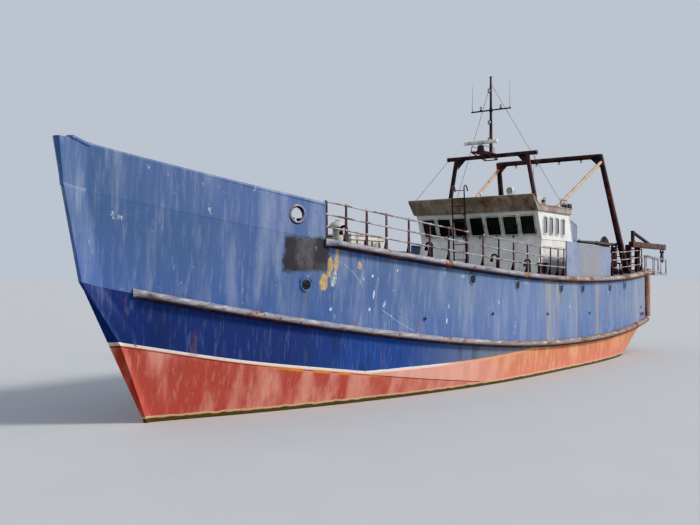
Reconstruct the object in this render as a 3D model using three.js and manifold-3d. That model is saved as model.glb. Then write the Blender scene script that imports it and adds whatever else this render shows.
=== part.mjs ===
// Steel stern trawler with a shelter deck, 31 m long, afloat at her moorings.
// Millimetres, +X to the bow, +Y to port, +Z up, origin on the centreline at midship in the waterline.
// Inside the ship group a run is a distance forward of the transom.

import * as THREE from "three";
import { mergeVertices } from "three/addons/utils/BufferGeometryUtils.js";
import Module from "manifold-3d";

const wasm = await Module();
wasm.setup();

// Driving dimensions of the hull.
const LENGTH = 31000;
const MIDSHIP = LENGTH / 2;
const SEAT = 0.5;
const RUNNING_GAP = 0.9;
const BELT_DEPTH = 190;
const BELT_HEIGHT = 230;
const TRANSOM_RADIUS = 450;
const STEM_HALF = 60;
const DECK_CAMBER = 120;
const KEEL_BOTTOM = -2900;
const KEEL_HALF = 130;

// Plan of each long line of the hull: where it meets the stem, its widest half-breadth, the half-breadth
// at the transom, where it stops widening, where it starts to close, and the power of its curve.
const PLAN = {
  rail: { stem: 31000, half: 3759, aft: 3235, fullFrom: 8000, closeFrom: 16230, power: 1.762 },
  strake: { stem: 30500, half: 3759, aft: 3235, fullFrom: 8000, closeFrom: 15230, power: 1.762 },
  chine: { stem: 29400, half: 3370, aft: 2450, fullFrom: 9000, closeFrom: 13230, power: 2.3 },
  bilge: { stem: 28700, half: 2650, aft: 1500, fullFrom: 9500, closeFrom: 12500, power: 1.9 },
  centre: { stem: 28300, half: 0, aft: 0, fullFrom: 9000, closeFrom: 13000, power: 2 },
};

// Height of each long line over its run, as [run, height] points joined by a smooth curve.
const HEIGHTS = {
  chine: [[0, 880], [3500, 60], [6500, -330], [10000, -440], [13500, -280], [16000, 0],
    [20000, 450], [23500, 900], [26500, 1330], [29400, 1900]],
  bilge: [[0, 760], [3500, -120], [6500, -1000], [9500, -1650], [13000, -1930], [21000, -1850],
    [25000, -1350], [28700, 250]],
  centre: [[0, 700], [3300, -200], [6000, -1250], [8500, -1950], [11000, -2230], [22000, -2280],
    [25500, -1900], [27300, -1250], [28300, -650]],
};

// Rings of the hull loft, as shares of each line's run from the transom to the stem.
const STATIONS = [0, 0.0025, 0.007, 0.0146, 0.05, 0.1, 0.16, 0.22, 0.28, 0.34, 0.4, 0.46, 0.52, 0.58,
  0.64, 0.7, 0.745, 0.787, 0.83, 0.87, 0.905, 0.935, 0.96, 0.982, 1];

// Deck edge of the shelter deck and main deck: a parabola in the run measured from its low point.
const SHEER = {
  rail: { low: 3583, slope: -506, bend: 1705 },
  strake: { low: 1141, slope: -766, bend: 2135 },
};
const SHEER_FROM = 6000;
const SHEER_SPAN = 20000;

// Colours read from the ship: linear steel paint, rust and glass.
const PAINT = {
  topside: paint(0x6d82a8, 0.6),
  belting: paint(0x9598a5, 0.7),
  bottom: paint(0xb5604e, 0.75),
  white: paint(0xe6e4dc, 0.55),
  fascia: paint(0xb3a594, 0.6),
  rust: paint(0x6e4a38, 0.85),
  dark: paint(0x2c2a2b, 0.7),
  tan: paint(0xa08468, 0.7),
  bronze: paint(0x8a6b3c, 0.45),
  glass: paint(0x2a211e, 0.15),
};

function paint(color, roughness) {
  return new THREE.MeshStandardMaterial({ color, roughness, metalness: 0.1 });
}

// A smooth curve through [run, height] points, flat-ended, read at one run.
function heightAt(points, run) {
  let i = 0;
  while (i < points.length - 2 && run > points[i + 1][0]) i += 1;
  const [x0, z0] = points[i];
  const [x1, z1] = points[i + 1];
  const slope = (k) => {
    const a = points[Math.max(k - 1, 0)];
    const b = points[Math.min(k + 1, points.length - 1)];
    return (b[1] - a[1]) / (b[0] - a[0]);
  };
  const t = (run - x0) / (x1 - x0);
  const h = x1 - x0;
  const t2 = t * t;
  const t3 = t2 * t;
  return z0 * (2 * t3 - 3 * t2 + 1) + z1 * (3 * t2 - 2 * t3)
    + slope(i) * h * (t3 - 2 * t2 + t) + slope(i + 1) * h * (t3 - t2);
}

function sheerAt(line, run) {
  const t = (run - SHEER_FROM) / SHEER_SPAN;
  const { low, slope, bend } = SHEER[line];
  return low + slope * t + bend * t * t;
}

// Half-breadth of a long line at a run, with the rounded corner at the transom.
function halfAt(line, run, inset = 0) {
  const p = PLAN[line];
  let y = p.half;
  if (run < p.fullFrom) y -= (p.half - p.aft) * ((p.fullFrom - run) / p.fullFrom) ** 2;
  if (run > p.closeFrom) y *= 1 - ((run - p.closeFrom) / (p.stem - p.closeFrom)) ** p.power;
  if (run < TRANSOM_RADIUS && p.half > 0) {
    y -= TRANSOM_RADIUS - Math.sqrt(TRANSOM_RADIUS ** 2 - (TRANSOM_RADIUS - run) ** 2);
  }
  return Math.max(y - inset, p.half > 0 ? STEM_HALF : 0);
}

// A point of a long line on the port side, at one station.
function linePoint(line, share) {
  const run = PLAN[line].stem * share;
  const decked = line in SHEER;
  const z = decked ? sheerAt(line, run) : heightAt(HEIGHTS[line], run);
  return new THREE.Vector3(run, halfAt(line, run, decked ? BELT_DEPTH : 0), z);
}

const mirrored = (p) => new THREE.Vector3(p.x, -p.y, p.z);

// A closed solid through rings of equal count, capped at both ends. Its faces to starboard are split along
// the other diagonal, so that a hull is its own mirror image.
function loft(rings) {
  const count = rings[0].length;
  const position = [];
  const index = [];
  rings.forEach((ring) => ring.forEach((p) => position.push(p.x, p.y, p.z)));
  for (let r = 0; r < rings.length - 1; r += 1) {
    for (let k = 0; k < count; k += 1) {
      const a = r * count + k;
      const b = r * count + ((k + 1) % count);
      const starboard = rings[r][k].y + rings[r][(k + 1) % count].y < -1e-6;
      if (starboard) index.push(a, b, b + count, a, b + count, a + count);
      else index.push(a, b, a + count, b, b + count, a + count);
    }
  }
  const capped = (ring, start, flip) => {
    const normal = new THREE.Vector3();
    ring.forEach((p, k) => normal.add(p.clone().cross(ring[(k + 1) % count])));
    const size = normal.toArray().map(Math.abs);
    const [u, v] = [["y", "z"], ["z", "x"], ["x", "y"]][size.indexOf(Math.max(...size))];
    const outline = ring.map((p) => new THREE.Vector2(p[u], p[v]));
    const clockwise = THREE.ShapeUtils.area(outline) < 0;
    THREE.ShapeUtils.triangulateShape(outline, []).forEach(([i, j, k]) => {
      const same = clockwise === THREE.ShapeUtils.area([outline[i], outline[j], outline[k]]) < 0;
      const [p, q] = same !== flip ? [j, k] : [k, j];
      index.push(start + i, start + p, start + q);
    });
  };
  capped(rings[0], 0, true);
  capped(rings[rings.length - 1], (rings.length - 1) * count, false);
  const geometry = new THREE.BufferGeometry();
  geometry.setAttribute("position", new THREE.Float32BufferAttribute(position, 3));
  geometry.setIndex(index);
  return geometry;
}

// A geometry as a solid for cutting and joining; one that came out inside out is turned round.
function solid(geometry) {
  const bare = geometry.clone();
  bare.deleteAttribute("normal");
  bare.deleteAttribute("uv");
  const merged = mergeVertices(bare, 1e-3);
  const triangles = new Uint32Array(merged.index.array);
  const build = () => new wasm.Manifold(
    new wasm.Mesh({ numProp: 3, vertProperties: merged.attributes.position.array, triVerts: triangles }),
  );
  const made = build();
  if (made.volume() > 0) return made;
  for (let i = 0; i < triangles.length; i += 3) {
    [triangles[i + 1], triangles[i + 2]] = [triangles[i + 2], triangles[i + 1]];
  }
  return build();
}

function geometryOf(body) {
  const mesh = body.getMesh();
  const geometry = new THREE.BufferGeometry();
  geometry.setAttribute("position", new THREE.BufferAttribute(new Float32Array(mesh.vertProperties), 3));
  geometry.setIndex(new THREE.BufferAttribute(new Uint32Array(mesh.triVerts), 1));
  return geometry.toNonIndexed();
}

const join = (...pieces) => geometryOf(pieces.map(solid).reduce((all, one) => all.add(one)));
const cut = (piece, ...tools) => geometryOf(
  tools.map(solid).reduce((all, one) => all.subtract(one), solid(piece)),
);

// A box between two corners.
function block([x0, y0, z0], [x1, y1, z1]) {
  const geometry = new THREE.BoxGeometry(Math.abs(x1 - x0), Math.abs(y1 - y0), Math.abs(z1 - z0));
  return geometry.translate((x0 + x1) / 2, (y0 + y1) / 2, (z0 + z1) / 2);
}

// A round bar between two points.
function bar(from, to, radius, sides = 8, endRadius = radius) {
  const a = new THREE.Vector3(...from);
  const b = new THREE.Vector3(...to);
  const geometry = new THREE.CylinderGeometry(endRadius, radius, a.distanceTo(b), sides);
  const turn = new THREE.Quaternion().setFromUnitVectors(
    new THREE.Vector3(0, 1, 0),
    b.clone().sub(a).normalize(),
  );
  const middle = a.add(b).multiplyScalar(0.5);
  return geometry.applyQuaternion(turn).translate(middle.x, middle.y, middle.z);
}

// The hole that a round bar of this radius turns in, fine enough for the bar to clear its facets.
const bearing = (from, to, radius) => bar(from, to, radius + RUNNING_GAP, 32);

// A side view in [run, height] points, drawn out across the ship from one half-breadth to another.
function sideProfile(points, fromY, toY) {
  const shape = new THREE.Shape(points.map(([x, z]) => new THREE.Vector2(x, z)));
  const geometry = new THREE.ExtrudeGeometry(shape, { depth: toY - fromY, bevelEnabled: false });
  return geometry.rotateX(Math.PI / 2).translate(0, toY, 0);
}

// A plan view in [run, half-breadth] points, drawn up from one height to another.
function planProfile(points, fromZ, toZ) {
  const shape = new THREE.Shape(points.map(([x, y]) => new THREE.Vector2(x, y)));
  const geometry = new THREE.ExtrudeGeometry(shape, { depth: toZ - fromZ, bevelEnabled: false });
  return geometry.translate(0, 0, fromZ);
}

// A turned piece about its own Z axis, from [radius, height] points.
function turned(points, sides = 16) {
  const profile = points.map(([r, z]) => new THREE.Vector2(r, z));
  return new THREE.LatheGeometry(profile, sides).rotateX(Math.PI / 2);
}

const ship = new THREE.Group();
ship.position.x = -MIDSHIP;

function place(name, geometry, material, at = [0, 0, 0]) {
  const mesh = new THREE.Mesh(geometryOf(solid(geometry)), material);
  mesh.name = name;
  mesh.position.set(...at);
  ship.add(mesh);
  return mesh;
}

// Places a piece on port and its mirror image to starboard.
function placeBothSides(name, geometry, material) {
  place(name + "_port", geometry, material);
  place(name + "_starboard", geometry.clone().scale(1, -1, 1), material);
}

// Hull up to the main deck: centreline, bilge, chine and deck edge, port then starboard.
function bottomRing(share, grow) {
  const edge = linePoint("strake", share);
  const chine = linePoint("chine", share);
  const under = edge.clone().lerp(chine, 0.2);
  const bilge = linePoint("bilge", share);
  const centre = linePoint("centre", share);
  const side = [edge, under, chine, bilge];
  side.forEach((p) => { p.y += grow; });
  edge.z += grow;
  bilge.z -= grow;
  centre.z -= grow;
  return [...side, centre, ...side.map(mirrored).reverse()];
}

// Shelter space between the main deck and the shelter deck, with the deck's camber.
function shelterRing(share, grow) {
  const foot = linePoint("strake", share);
  const edge = linePoint("rail", share);
  const crown = new THREE.Vector3(edge.x, 0, edge.z + DECK_CAMBER);
  foot.z += SEAT - grow;
  [foot, edge].forEach((p) => { p.y += grow; });
  edge.z += grow;
  crown.z += grow;
  return [crown, edge, foot, mirrored(foot), mirrored(edge)];
}

// A hull loft, grown on all sides by a small clearance when it serves to fit a neighbour.
function hullLoft(ringAt, grow = 0) {
  const rings = STATIONS.map((share) => ringAt(share, grow));
  rings[0].forEach((p) => { p.x -= grow; });
  rings[rings.length - 1].forEach((p) => { p.x += grow; });
  return loft(rings);
}

const bottomFit = hullLoft(bottomRing, SEAT);
const shelterFit = hullLoft(shelterRing, SEAT);
const onDeck = (piece) => cut(piece, shelterFit);
const deckEdge = (run) => sheerAt("rail", run);

place("hull_bottom", hullLoft(bottomRing), PAINT.bottom);
place("shelter_deck_hull", hullLoft(shelterRing), PAINT.topside);

// Propeller, rudder and the keel that carries them.
const SHAFT_Z = -1780;
const SHAFT_RADIUS = 90;
const PROPELLER = { run: 4700, radius: 820, blades: 4, hubAft: -330, shaftFore: 1380 };
const RUDDER = { run: 3150, stock: 75, pintle: 55, top: -700, trunkFoot: -560, trunk: 170 };
const SOLE = { aft: 2750, top: -2760 };
const APERTURE_FRONT = 5350;
const STERN_TUBE = { radius: 170, fore: 6300, boreFore: 6200, aft: APERTURE_FRONT - 120 };

const keelBlank = join(
  sideProfile([
    [SOLE.aft, KEEL_BOTTOM], [25600, KEEL_BOTTOM], [27300, -1900], [27700, -1000], [9000, -1500],
    [6200, -700], [5500, -900], [APERTURE_FRONT, -1300], [APERTURE_FRONT, SOLE.top], [SOLE.aft, SOLE.top],
  ], -KEEL_HALF, KEEL_HALF),
  bar([APERTURE_FRONT, 0, SHAFT_Z], [7600, 0, SHAFT_Z], 300, 16, 200),
);
place("keel", cut(
  keelBlank,
  bottomFit,
  bar([APERTURE_FRONT - 10, 0, SHAFT_Z], [STERN_TUBE.fore, 0, SHAFT_Z], STERN_TUBE.radius + SEAT, 16),
  bearing([RUDDER.run, 0, SOLE.top - 90], [RUDDER.run, 0, SOLE.top + 10], RUDDER.pintle),
), PAINT.bottom);
place("stern_tube", cut(
  bar([STERN_TUBE.aft, 0, SHAFT_Z], [STERN_TUBE.fore - 1, 0, SHAFT_Z], STERN_TUBE.radius, 16),
  bearing([STERN_TUBE.aft - 10, 0, SHAFT_Z], [STERN_TUBE.boreFore, 0, SHAFT_Z], SHAFT_RADIUS),
), PAINT.bronze);

// One blade: foil sections at growing radii, each turned further towards the plane of the disc.
function blade(angle) {
  const rings = [0.14, 0.35, 0.6, 0.82, 0.97].map((share) => {
    const radius = PROPELLER.radius * share;
    const pitch = Math.atan(0.24 / share);
    const chord = PROPELLER.radius * 0.62 * Math.sqrt(Math.sin(Math.PI * (0.12 + 0.8 * share)));
    const thick = 62 * (1.08 - share);
    return [0, 1, 2, 3, 4, 5].map((k) => {
      const round = (k / 6) * 2 * Math.PI;
      const along = (Math.cos(round) * chord) / 2;
      const across = Math.sin(round) * thick;
      const tangent = along * Math.cos(pitch) - across * Math.sin(pitch);
      const axial = along * Math.sin(pitch) + across * Math.cos(pitch);
      return new THREE.Vector3(axial, tangent, radius).applyAxisAngle(new THREE.Vector3(1, 0, 0), angle);
    });
  });
  return loft(rings);
}
const hub = turned([
  [0, PROPELLER.hubAft], [60, PROPELLER.hubAft], [150, -160], [175, 60], [165, 300],
  [SHAFT_RADIUS, 340], [SHAFT_RADIUS, PROPELLER.shaftFore], [0, PROPELLER.shaftFore],
]).rotateY(Math.PI / 2);
const blades = Array.from({ length: PROPELLER.blades }, (_, k) => blade(
  (k * 2 * Math.PI) / PROPELLER.blades + 0.5,
));
place("propeller", join(hub, ...blades), PAINT.bronze, [PROPELLER.run, 0, SHAFT_Z]);

const rudderBlade = planProfile([
  [-820, 0], [-500, 42], [150, 88], [420, 62], [500, 0], [420, -62], [150, -88], [-500, -42],
], SOLE.top + 60, RUDDER.top);
place("rudder", join(
  rudderBlade,
  bar([0, 0, SOLE.top - 80], [0, 0, -2300], RUDDER.pintle, 12),
  bar([0, 0, RUDDER.top - 200], [0, 0, RUDDER.trunkFoot + 300], RUDDER.stock, 12),
), PAINT.bottom, [RUDDER.run, 0, 0]);
place("rudder_trunk", cut(
  bar([RUDDER.run, 0, RUDDER.trunkFoot], [RUDDER.run, 0, 500], RUDDER.trunk, 16),
  bottomFit,
  bearing([RUDDER.run, 0, RUDDER.trunkFoot - 10], [RUDDER.run, 0, RUDDER.trunkFoot + 310], RUDDER.stock),
), PAINT.bottom);

// Half-round rubbing strake: a D section carried along a deck edge and round the transom corner. Its
// section is given as [out from the hull, down as a share of its height].
const BELT_SECTION = [[-60, 0.05], [BELT_DEPTH * 0.75, 0.03], [BELT_DEPTH, 0.35], [BELT_DEPTH, 0.65],
  [BELT_DEPTH * 0.75, 0.94], [-60, 1]];
function belting(line, endShare, top) {
  const path = STATIONS.filter((share) => share <= endShare + 1e-6)
    .map((share) => linePoint(line, share));
  const outward = path.map((p, k) => {
    const ahead = path[Math.min(k + 1, path.length - 1)];
    const behind = k > 0 ? path[k - 1] : new THREE.Vector3(0, 0, 0);
    const along = ahead.clone().sub(behind);
    return new THREE.Vector3(-along.y, along.x, 0).normalize();
  });
  path.unshift(new THREE.Vector3(0, SEAT, path[0].z));
  outward.unshift(new THREE.Vector3(-1, 0, 0));
  outward[1].set(-1, 0, 0);
  const rings = path.map((p, k) => BELT_SECTION.map(([out, down]) => {
    const q = p.clone().addScaledVector(outward[k], out);
    q.z = p.z + top - BELT_HEIGHT * down;
    q.y = Math.max(q.y, SEAT);
    return q;
  }));
  return cut(loft(rings), bottomFit, shelterFit);
}
const UPPER_BELT_END = 0.787;
placeBothSides("lower_belting", belting("strake", 0.96, BELT_HEIGHT / 2), PAINT.belting);

// A pipe guards each corner of the transom, let a little into the rounded plating. It stands just clear of
// the lower strake and is welded to the upper one.
const GUARD = { radius: 180, sunk: 22 };
const guardOut = (TRANSOM_RADIUS + GUARD.radius - GUARD.sunk) * Math.SQRT1_2;
const guardAt = [
  TRANSOM_RADIUS - guardOut,
  halfAt("rail", TRANSOM_RADIUS * (1 - Math.SQRT1_2), BELT_DEPTH) - TRANSOM_RADIUS * Math.SQRT1_2 + guardOut,
];
const cornerGuard = cut(
  bar(
    [...guardAt, sheerAt("strake", 0) + BELT_HEIGHT / 2 + 2],
    [...guardAt, deckEdge(0) - BELT_HEIGHT / 2],
    GUARD.radius,
    16,
  ),
  bottomFit,
  shelterFit,
);
placeBothSides(
  "upper_belting",
  join(belting("rail", UPPER_BELT_END, 0), cornerGuard),
  PAINT.belting,
);

// Raised bulwark round the bow, with a round mooring fairlead on each side. Towards the stem it grows
// taller and thicker and flares out.
const BULWARK = { height: 900, wall: 70, sink: 60, rise: 0.12, thicken: 90, flare: 60, tip: 8 };
const STEM_RISE = 1.13;
const FAIRLEAD = { run: 25250, radius: 190, up: 480, reach: 4500 };
const bowShares = STATIONS.filter((share) => share >= UPPER_BELT_END - 1e-6 && share < 1);
const bowRings = bowShares.map((share, k) => {
  const { x, y, z } = linePoint("rail", share);
  const lean = k / (bowShares.length - 1);
  const inner = Math.max(y - BULWARK.wall - BULWARK.thicken * lean, BULWARK.tip);
  const top = z + BULWARK.height * (1 + BULWARK.rise * lean);
  const flare = BULWARK.flare * lean;
  return [[y, z - BULWARK.sink], [y + flare, top], [inner + flare, top], [inner, z - BULWARK.sink]]
    .map(([py, pz]) => new THREE.Vector3(x, py, pz));
});
const stemFoot = deckEdge(LENGTH) - BULWARK.sink;
const stemTop = deckEdge(LENGTH) + BULWARK.height * STEM_RISE;
const stemRing = [[-20, stemFoot], [160, stemTop], [-170, stemTop], [-260, stemFoot]]
  .map(([ahead, z]) => new THREE.Vector3(LENGTH + ahead, 0, z));
const fairleadZ = deckEdge(FAIRLEAD.run) + FAIRLEAD.up;
const fairleadEnd = (side) => [FAIRLEAD.run, side * FAIRLEAD.reach, fairleadZ];
place("bow_bulwark", onDeck(cut(
  loft([...bowRings, stemRing, ...bowRings.map((ring) => ring.map(mirrored)).reverse()]),
  bar(fairleadEnd(-1), fairleadEnd(1), FAIRLEAD.radius, 16),
)), PAINT.topside);

// Guard rails: posts at set runs with three rails, one of them low across the gangway gap.
const RAIL_HEIGHTS = [1010, 670, 335];
const POST_RADIUS = 38;
const RAIL_BAR = 24;
const RAIL_INSET = 130;
const RAIL_BAYS = [
  { posts: [24250, 23600, 22880, 22150, 21260, 20350, 19460, 18500], rails: RAIL_HEIGHTS },
  { posts: [18500, 17600], rails: [335] },
  { posts: [17600, 16600, 15500, 14400, 13300, 12400, 11700, 11150], rails: RAIL_HEIGHTS },
];
const railFoot = (run, sink = 0) => [run, halfAt("rail", run, BELT_DEPTH) - RAIL_INSET, deckEdge(run) - sink];
const lifted = ([x, y, z], up) => [x, y, z + up];

// A square rail set on its edge, carried through a list of points.
function railBar(points) {
  return loft(points.map(([x, y, z], k) => {
    const [ax, ay] = points[Math.max(k - 1, 0)];
    const [bx, by] = points[Math.min(k + 1, points.length - 1)];
    const across = new THREE.Vector3(ay - by, bx - ax, 0).normalize().multiplyScalar(RAIL_BAR);
    const at = new THREE.Vector3(x, y, z);
    const up = new THREE.Vector3(0, 0, RAIL_BAR);
    return [at.clone().add(across), at.clone().add(up), at.clone().sub(across), at.clone().sub(up)];
  }));
}

// A guard-rail post, sunk into the deck that later trims it.
const POST_SINK = 60;
const railPost = (foot, top = RAIL_HEIGHTS[0] + RAIL_BAR) => bar(
  lifted(foot, -POST_SINK),
  lifted(foot, top),
  POST_RADIUS,
  4,
);

function railing(bays, footAt) {
  const pieces = [];
  bays.forEach(({ posts, rails }, bay) => {
    posts.slice(bay > 0 ? 1 : 0).forEach((post) => pieces.push(railPost(footAt(post))));
    rails.forEach((up) => pieces.push(railBar(posts.map((post) => lifted(footAt(post), up)))));
  });
  return onDeck(join(...pieces));
}
placeBothSides("side_railing", railing(RAIL_BAYS, railFoot), PAINT.white);

// Stern rail: forward of the transom corner along each side, then straight across the stern.
const STERN_RAIL = {
  posts: [5700, 4300, 1500, 500], cornerRun: 160, cornerIn: 330, across: [-1300, 0, 1300],
};
const sternSide = STERN_RAIL.posts.map((run) => railFoot(run));
const lastFoot = sternSide[sternSide.length - 1];
const sternCorner = [
  STERN_RAIL.cornerRun,
  lastFoot[1] - STERN_RAIL.cornerIn,
  deckEdge(STERN_RAIL.cornerRun),
];
const sternRoute = [...sternSide, sternCorner];
const sternLoop = [...sternRoute, ...sternRoute.map(([x, y, z]) => [x, -y, z]).reverse()];
const sternPosts = [
  ...sternLoop.map((foot) => railPost(foot)),
  ...STERN_RAIL.across.map((y) => railPost([sternCorner[0], y, sternCorner[2]], RAIL_HEIGHTS[0])),
];
const sternRails = RAIL_HEIGHTS.map((up) => railBar(sternLoop.map((foot) => lifted(foot, up))));
place("stern_railing", onDeck(join(...sternPosts, ...sternRails)), PAINT.white);

// Tall plate bulwark on each quarter, with stays behind it.
const QUARTER = {
  runs: [6200, 7700, 9400, 11000], wall: 60, inset: 60, sink: 60, aftTop: 4750, foreTop: 4870,
  stayRuns: [7100, 8600, 10100], stayHeight: 900, stayReach: 420, stayHalf: 15,
};
const quarterPlate = () => {
  const rings = QUARTER.runs.map((run, k) => {
    const y = halfAt("rail", run, BELT_DEPTH) - QUARTER.inset;
    const top = QUARTER.aftTop + ((QUARTER.foreTop - QUARTER.aftTop) * k) / (QUARTER.runs.length - 1);
    const foot = deckEdge(run) - QUARTER.sink;
    return [[y, foot], [y, top], [y - QUARTER.wall, top], [y - QUARTER.wall, foot]]
      .map(([py, pz]) => new THREE.Vector3(run, py, pz));
  });
  const stays = QUARTER.stayRuns.map((run) => {
    const y = halfAt("rail", run, BELT_DEPTH) - QUARTER.inset - QUARTER.wall / 2;
    const foot = deckEdge(run) - QUARTER.sink;
    const shape = [[y, foot], [y, foot + QUARTER.stayHeight], [y - QUARTER.stayReach, foot]];
    const ring = (x) => shape.map(([py, pz]) => new THREE.Vector3(x, py, pz));
    return loft([ring(run - QUARTER.stayHalf), ring(run + QUARTER.stayHalf)]);
  });
  return onDeck(join(loft(rings), ...stays));
};
placeBothSides("quarter_bulwark", quarterPlate(), PAINT.topside);

// Wheelhouse: walls that knuckle at the sill, raked forward above it.
const HOUSE = {
  half: 2670, wall: 80, foot: 3400, sill: 5000, top: 6070,
  foreFoot: 11980, foreSill: 11430, foreTop: 11830,
  aftFoot: 8800, aftSill: 8430, aftTop: 8760,
};
const FORE_WINDOWS = { count: 7, pitch: 730, width: 600, low: 5180, high: 5900 };
const SIDE_WINDOWS = { runs: [9400, 9980, 10560, 11120], width: 370, low: 5200, high: 5860 };
const DOOR = { aft: 9000, fore: 9720, low: 3830, high: 5780, thick: 60, gap: 6 };

// Run of the inside or outside of the fore or aft wall at a height.
function wallRun(end, z, inward = 0) {
  const [foot, sill, top] = end === "fore"
    ? [HOUSE.foreFoot, HOUSE.foreSill, HOUSE.foreTop]
    : [HOUSE.aftFoot, HOUSE.aftSill, HOUSE.aftTop];
  const run = z < HOUSE.sill
    ? foot + ((sill - foot) * (z - HOUSE.foot)) / (HOUSE.sill - HOUSE.foot)
    : sill + ((top - sill) * (z - HOUSE.sill)) / (HOUSE.top - HOUSE.sill);
  return run + (end === "fore" ? -inward : inward);
}
const LEVELS = [HOUSE.foot, HOUSE.sill, HOUSE.top];
function endWall(end) {
  const outer = LEVELS.map((z) => [wallRun(end, z), z]);
  const inner = LEVELS.map((z) => [wallRun(end, z, HOUSE.wall), z]).reverse();
  return sideProfile([...outer, ...inner], -HOUSE.half, HOUSE.half);
}
const foreWindowY = (k) => (k - (FORE_WINDOWS.count - 1) / 2) * FORE_WINDOWS.pitch;
const THROUGH = 300;
const foreHoles = Array.from({ length: FORE_WINDOWS.count }, (_, k) => block(
  [HOUSE.foreSill - THROUGH, foreWindowY(k) - FORE_WINDOWS.width / 2, FORE_WINDOWS.low],
  [HOUSE.foreTop + THROUGH, foreWindowY(k) + FORE_WINDOWS.width / 2, FORE_WINDOWS.high],
));
place("wheelhouse_front", onDeck(cut(endWall("fore"), ...foreHoles)), PAINT.white);
const AFT_WINDOWS = { y: [-1400, 1400], half: 350, low: 5250, high: 5800 };
const aftHoles = AFT_WINDOWS.y.map((y) => block(
  [HOUSE.aftSill - THROUGH, y - AFT_WINDOWS.half, AFT_WINDOWS.low],
  [HOUSE.aftTop + THROUGH, y + AFT_WINDOWS.half, AFT_WINDOWS.high],
));
place("wheelhouse_back", onDeck(cut(endWall("aft"), ...aftHoles)), PAINT.white);

// Door hinges: the wall carries a pin between two ears, and the door's barrel turns on it.
const HINGE = { levels: [4100, 5500], barrel: 60, ear: 30, pin: 10, wall: 22, out: 26, leaf: 8, arm: 90 };
const EAR = { aft: -10, fore: 24, half: 16, rootAft: 4, into: 20, gap: 0.8 };
const hingeY = -HOUSE.half - 2 - HINGE.out;
const hingePin = (z) => bar(
  [DOOR.fore, hingeY, z - HINGE.barrel - HINGE.ear],
  [DOOR.fore, hingeY, z + HINGE.barrel + HINGE.ear],
  HINGE.pin,
  12,
);
const hingeEar = (z, side, from, reach) => block(
  [DOOR.fore + from, hingeY - EAR.half, z + side * (HINGE.barrel + EAR.gap)],
  [DOOR.fore + EAR.fore, hingeY + reach, z + side * (HINGE.barrel + HINGE.ear)],
);
const wallHinges = HINGE.levels.flatMap((z) => [
  hingePin(z),
  ...[-1, 1].flatMap((side) => [
    hingeEar(z, side, EAR.aft, EAR.half),
    hingeEar(z, side, EAR.rootAft, EAR.into - HOUSE.half - hingeY),
  ]),
]);

// A side wall between the end walls; the starboard one has a doorway in place of its aft windows.
function sideWall(port) {
  const fit = HOUSE.wall + SEAT;
  const outline = [
    ...LEVELS.map((z) => [wallRun("fore", z, fit), z]),
    ...LEVELS.map((z) => [wallRun("aft", z, fit), z]).reverse(),
  ];
  const [low, high] = port ? [HOUSE.half - HOUSE.wall, HOUSE.half] : [-HOUSE.half, HOUSE.wall - HOUSE.half];
  const holes = SIDE_WINDOWS.runs.slice(port ? 0 : 2).map((run) => block(
    [run - SIDE_WINDOWS.width / 2, low - 50, SIDE_WINDOWS.low],
    [run + SIDE_WINDOWS.width / 2, high + 50, SIDE_WINDOWS.high],
  ));
  if (!port) holes.push(block([DOOR.aft, low - 50, DOOR.low], [DOOR.fore, high + 50, DOOR.high]));
  const wall = cut(sideProfile(outline, low, high), ...holes);
  return onDeck(port ? wall : join(wall, ...wallHinges));
}
place("wheelhouse_port_side", sideWall(true), PAINT.white);
place("wheelhouse_starboard_side", sideWall(false), PAINT.white);

// Glass: one pane strip inside each wall, behind its windows.
const PANE = { thick: 12, half: 2560, low: 5130, high: 5950, sideLow: 5150, sideHigh: 5900 };
const endGlass = (end) => {
  const front = HOUSE.wall + SEAT;
  const levels = [PANE.low, PANE.high];
  const outer = levels.map((z) => [wallRun(end, z, front), z]);
  const inner = levels.map((z) => [wallRun(end, z, front + PANE.thick), z]).reverse();
  return sideProfile([...outer, ...inner], -PANE.half, PANE.half);
};
place("windscreen", endGlass("fore"), PAINT.glass);
place("back_glass", endGlass("aft"), PAINT.glass);
const paneY = HOUSE.half - HOUSE.wall - SEAT;
const SIDE_PANE = { portAft: 9150, starboardAft: 10330, fore: 11330 };
place("port_glass", block(
  [SIDE_PANE.portAft, paneY - PANE.thick, PANE.sideLow],
  [SIDE_PANE.fore, paneY, PANE.sideHigh],
), PAINT.glass);
place("starboard_glass", block(
  [SIDE_PANE.starboardAft, -paneY, PANE.sideLow],
  [SIDE_PANE.fore, PANE.thick - paneY, PANE.sideHigh],
), PAINT.glass);

// Roof with a fascia and a tall brow raked forward over the windscreen.
const ROOF = {
  foot: HOUSE.top + SEAT, top: 6310, aft: 8640, fore: 11960, half: 2740,
  browTop: 6650, browRun: 12400, browEdge: 30, browLip: 50, browBack: 160,
};
place("wheelhouse_roof", sideProfile([
  [ROOF.aft, ROOF.foot], [ROOF.fore, ROOF.foot], [ROOF.browRun, ROOF.browTop - ROOF.browEdge],
  [ROOF.browRun - ROOF.browLip, ROOF.browTop], [ROOF.fore - ROOF.browBack, ROOF.top], [ROOF.aft, ROOF.top],
], -ROOF.half, ROOF.half), PAINT.fascia);

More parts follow.
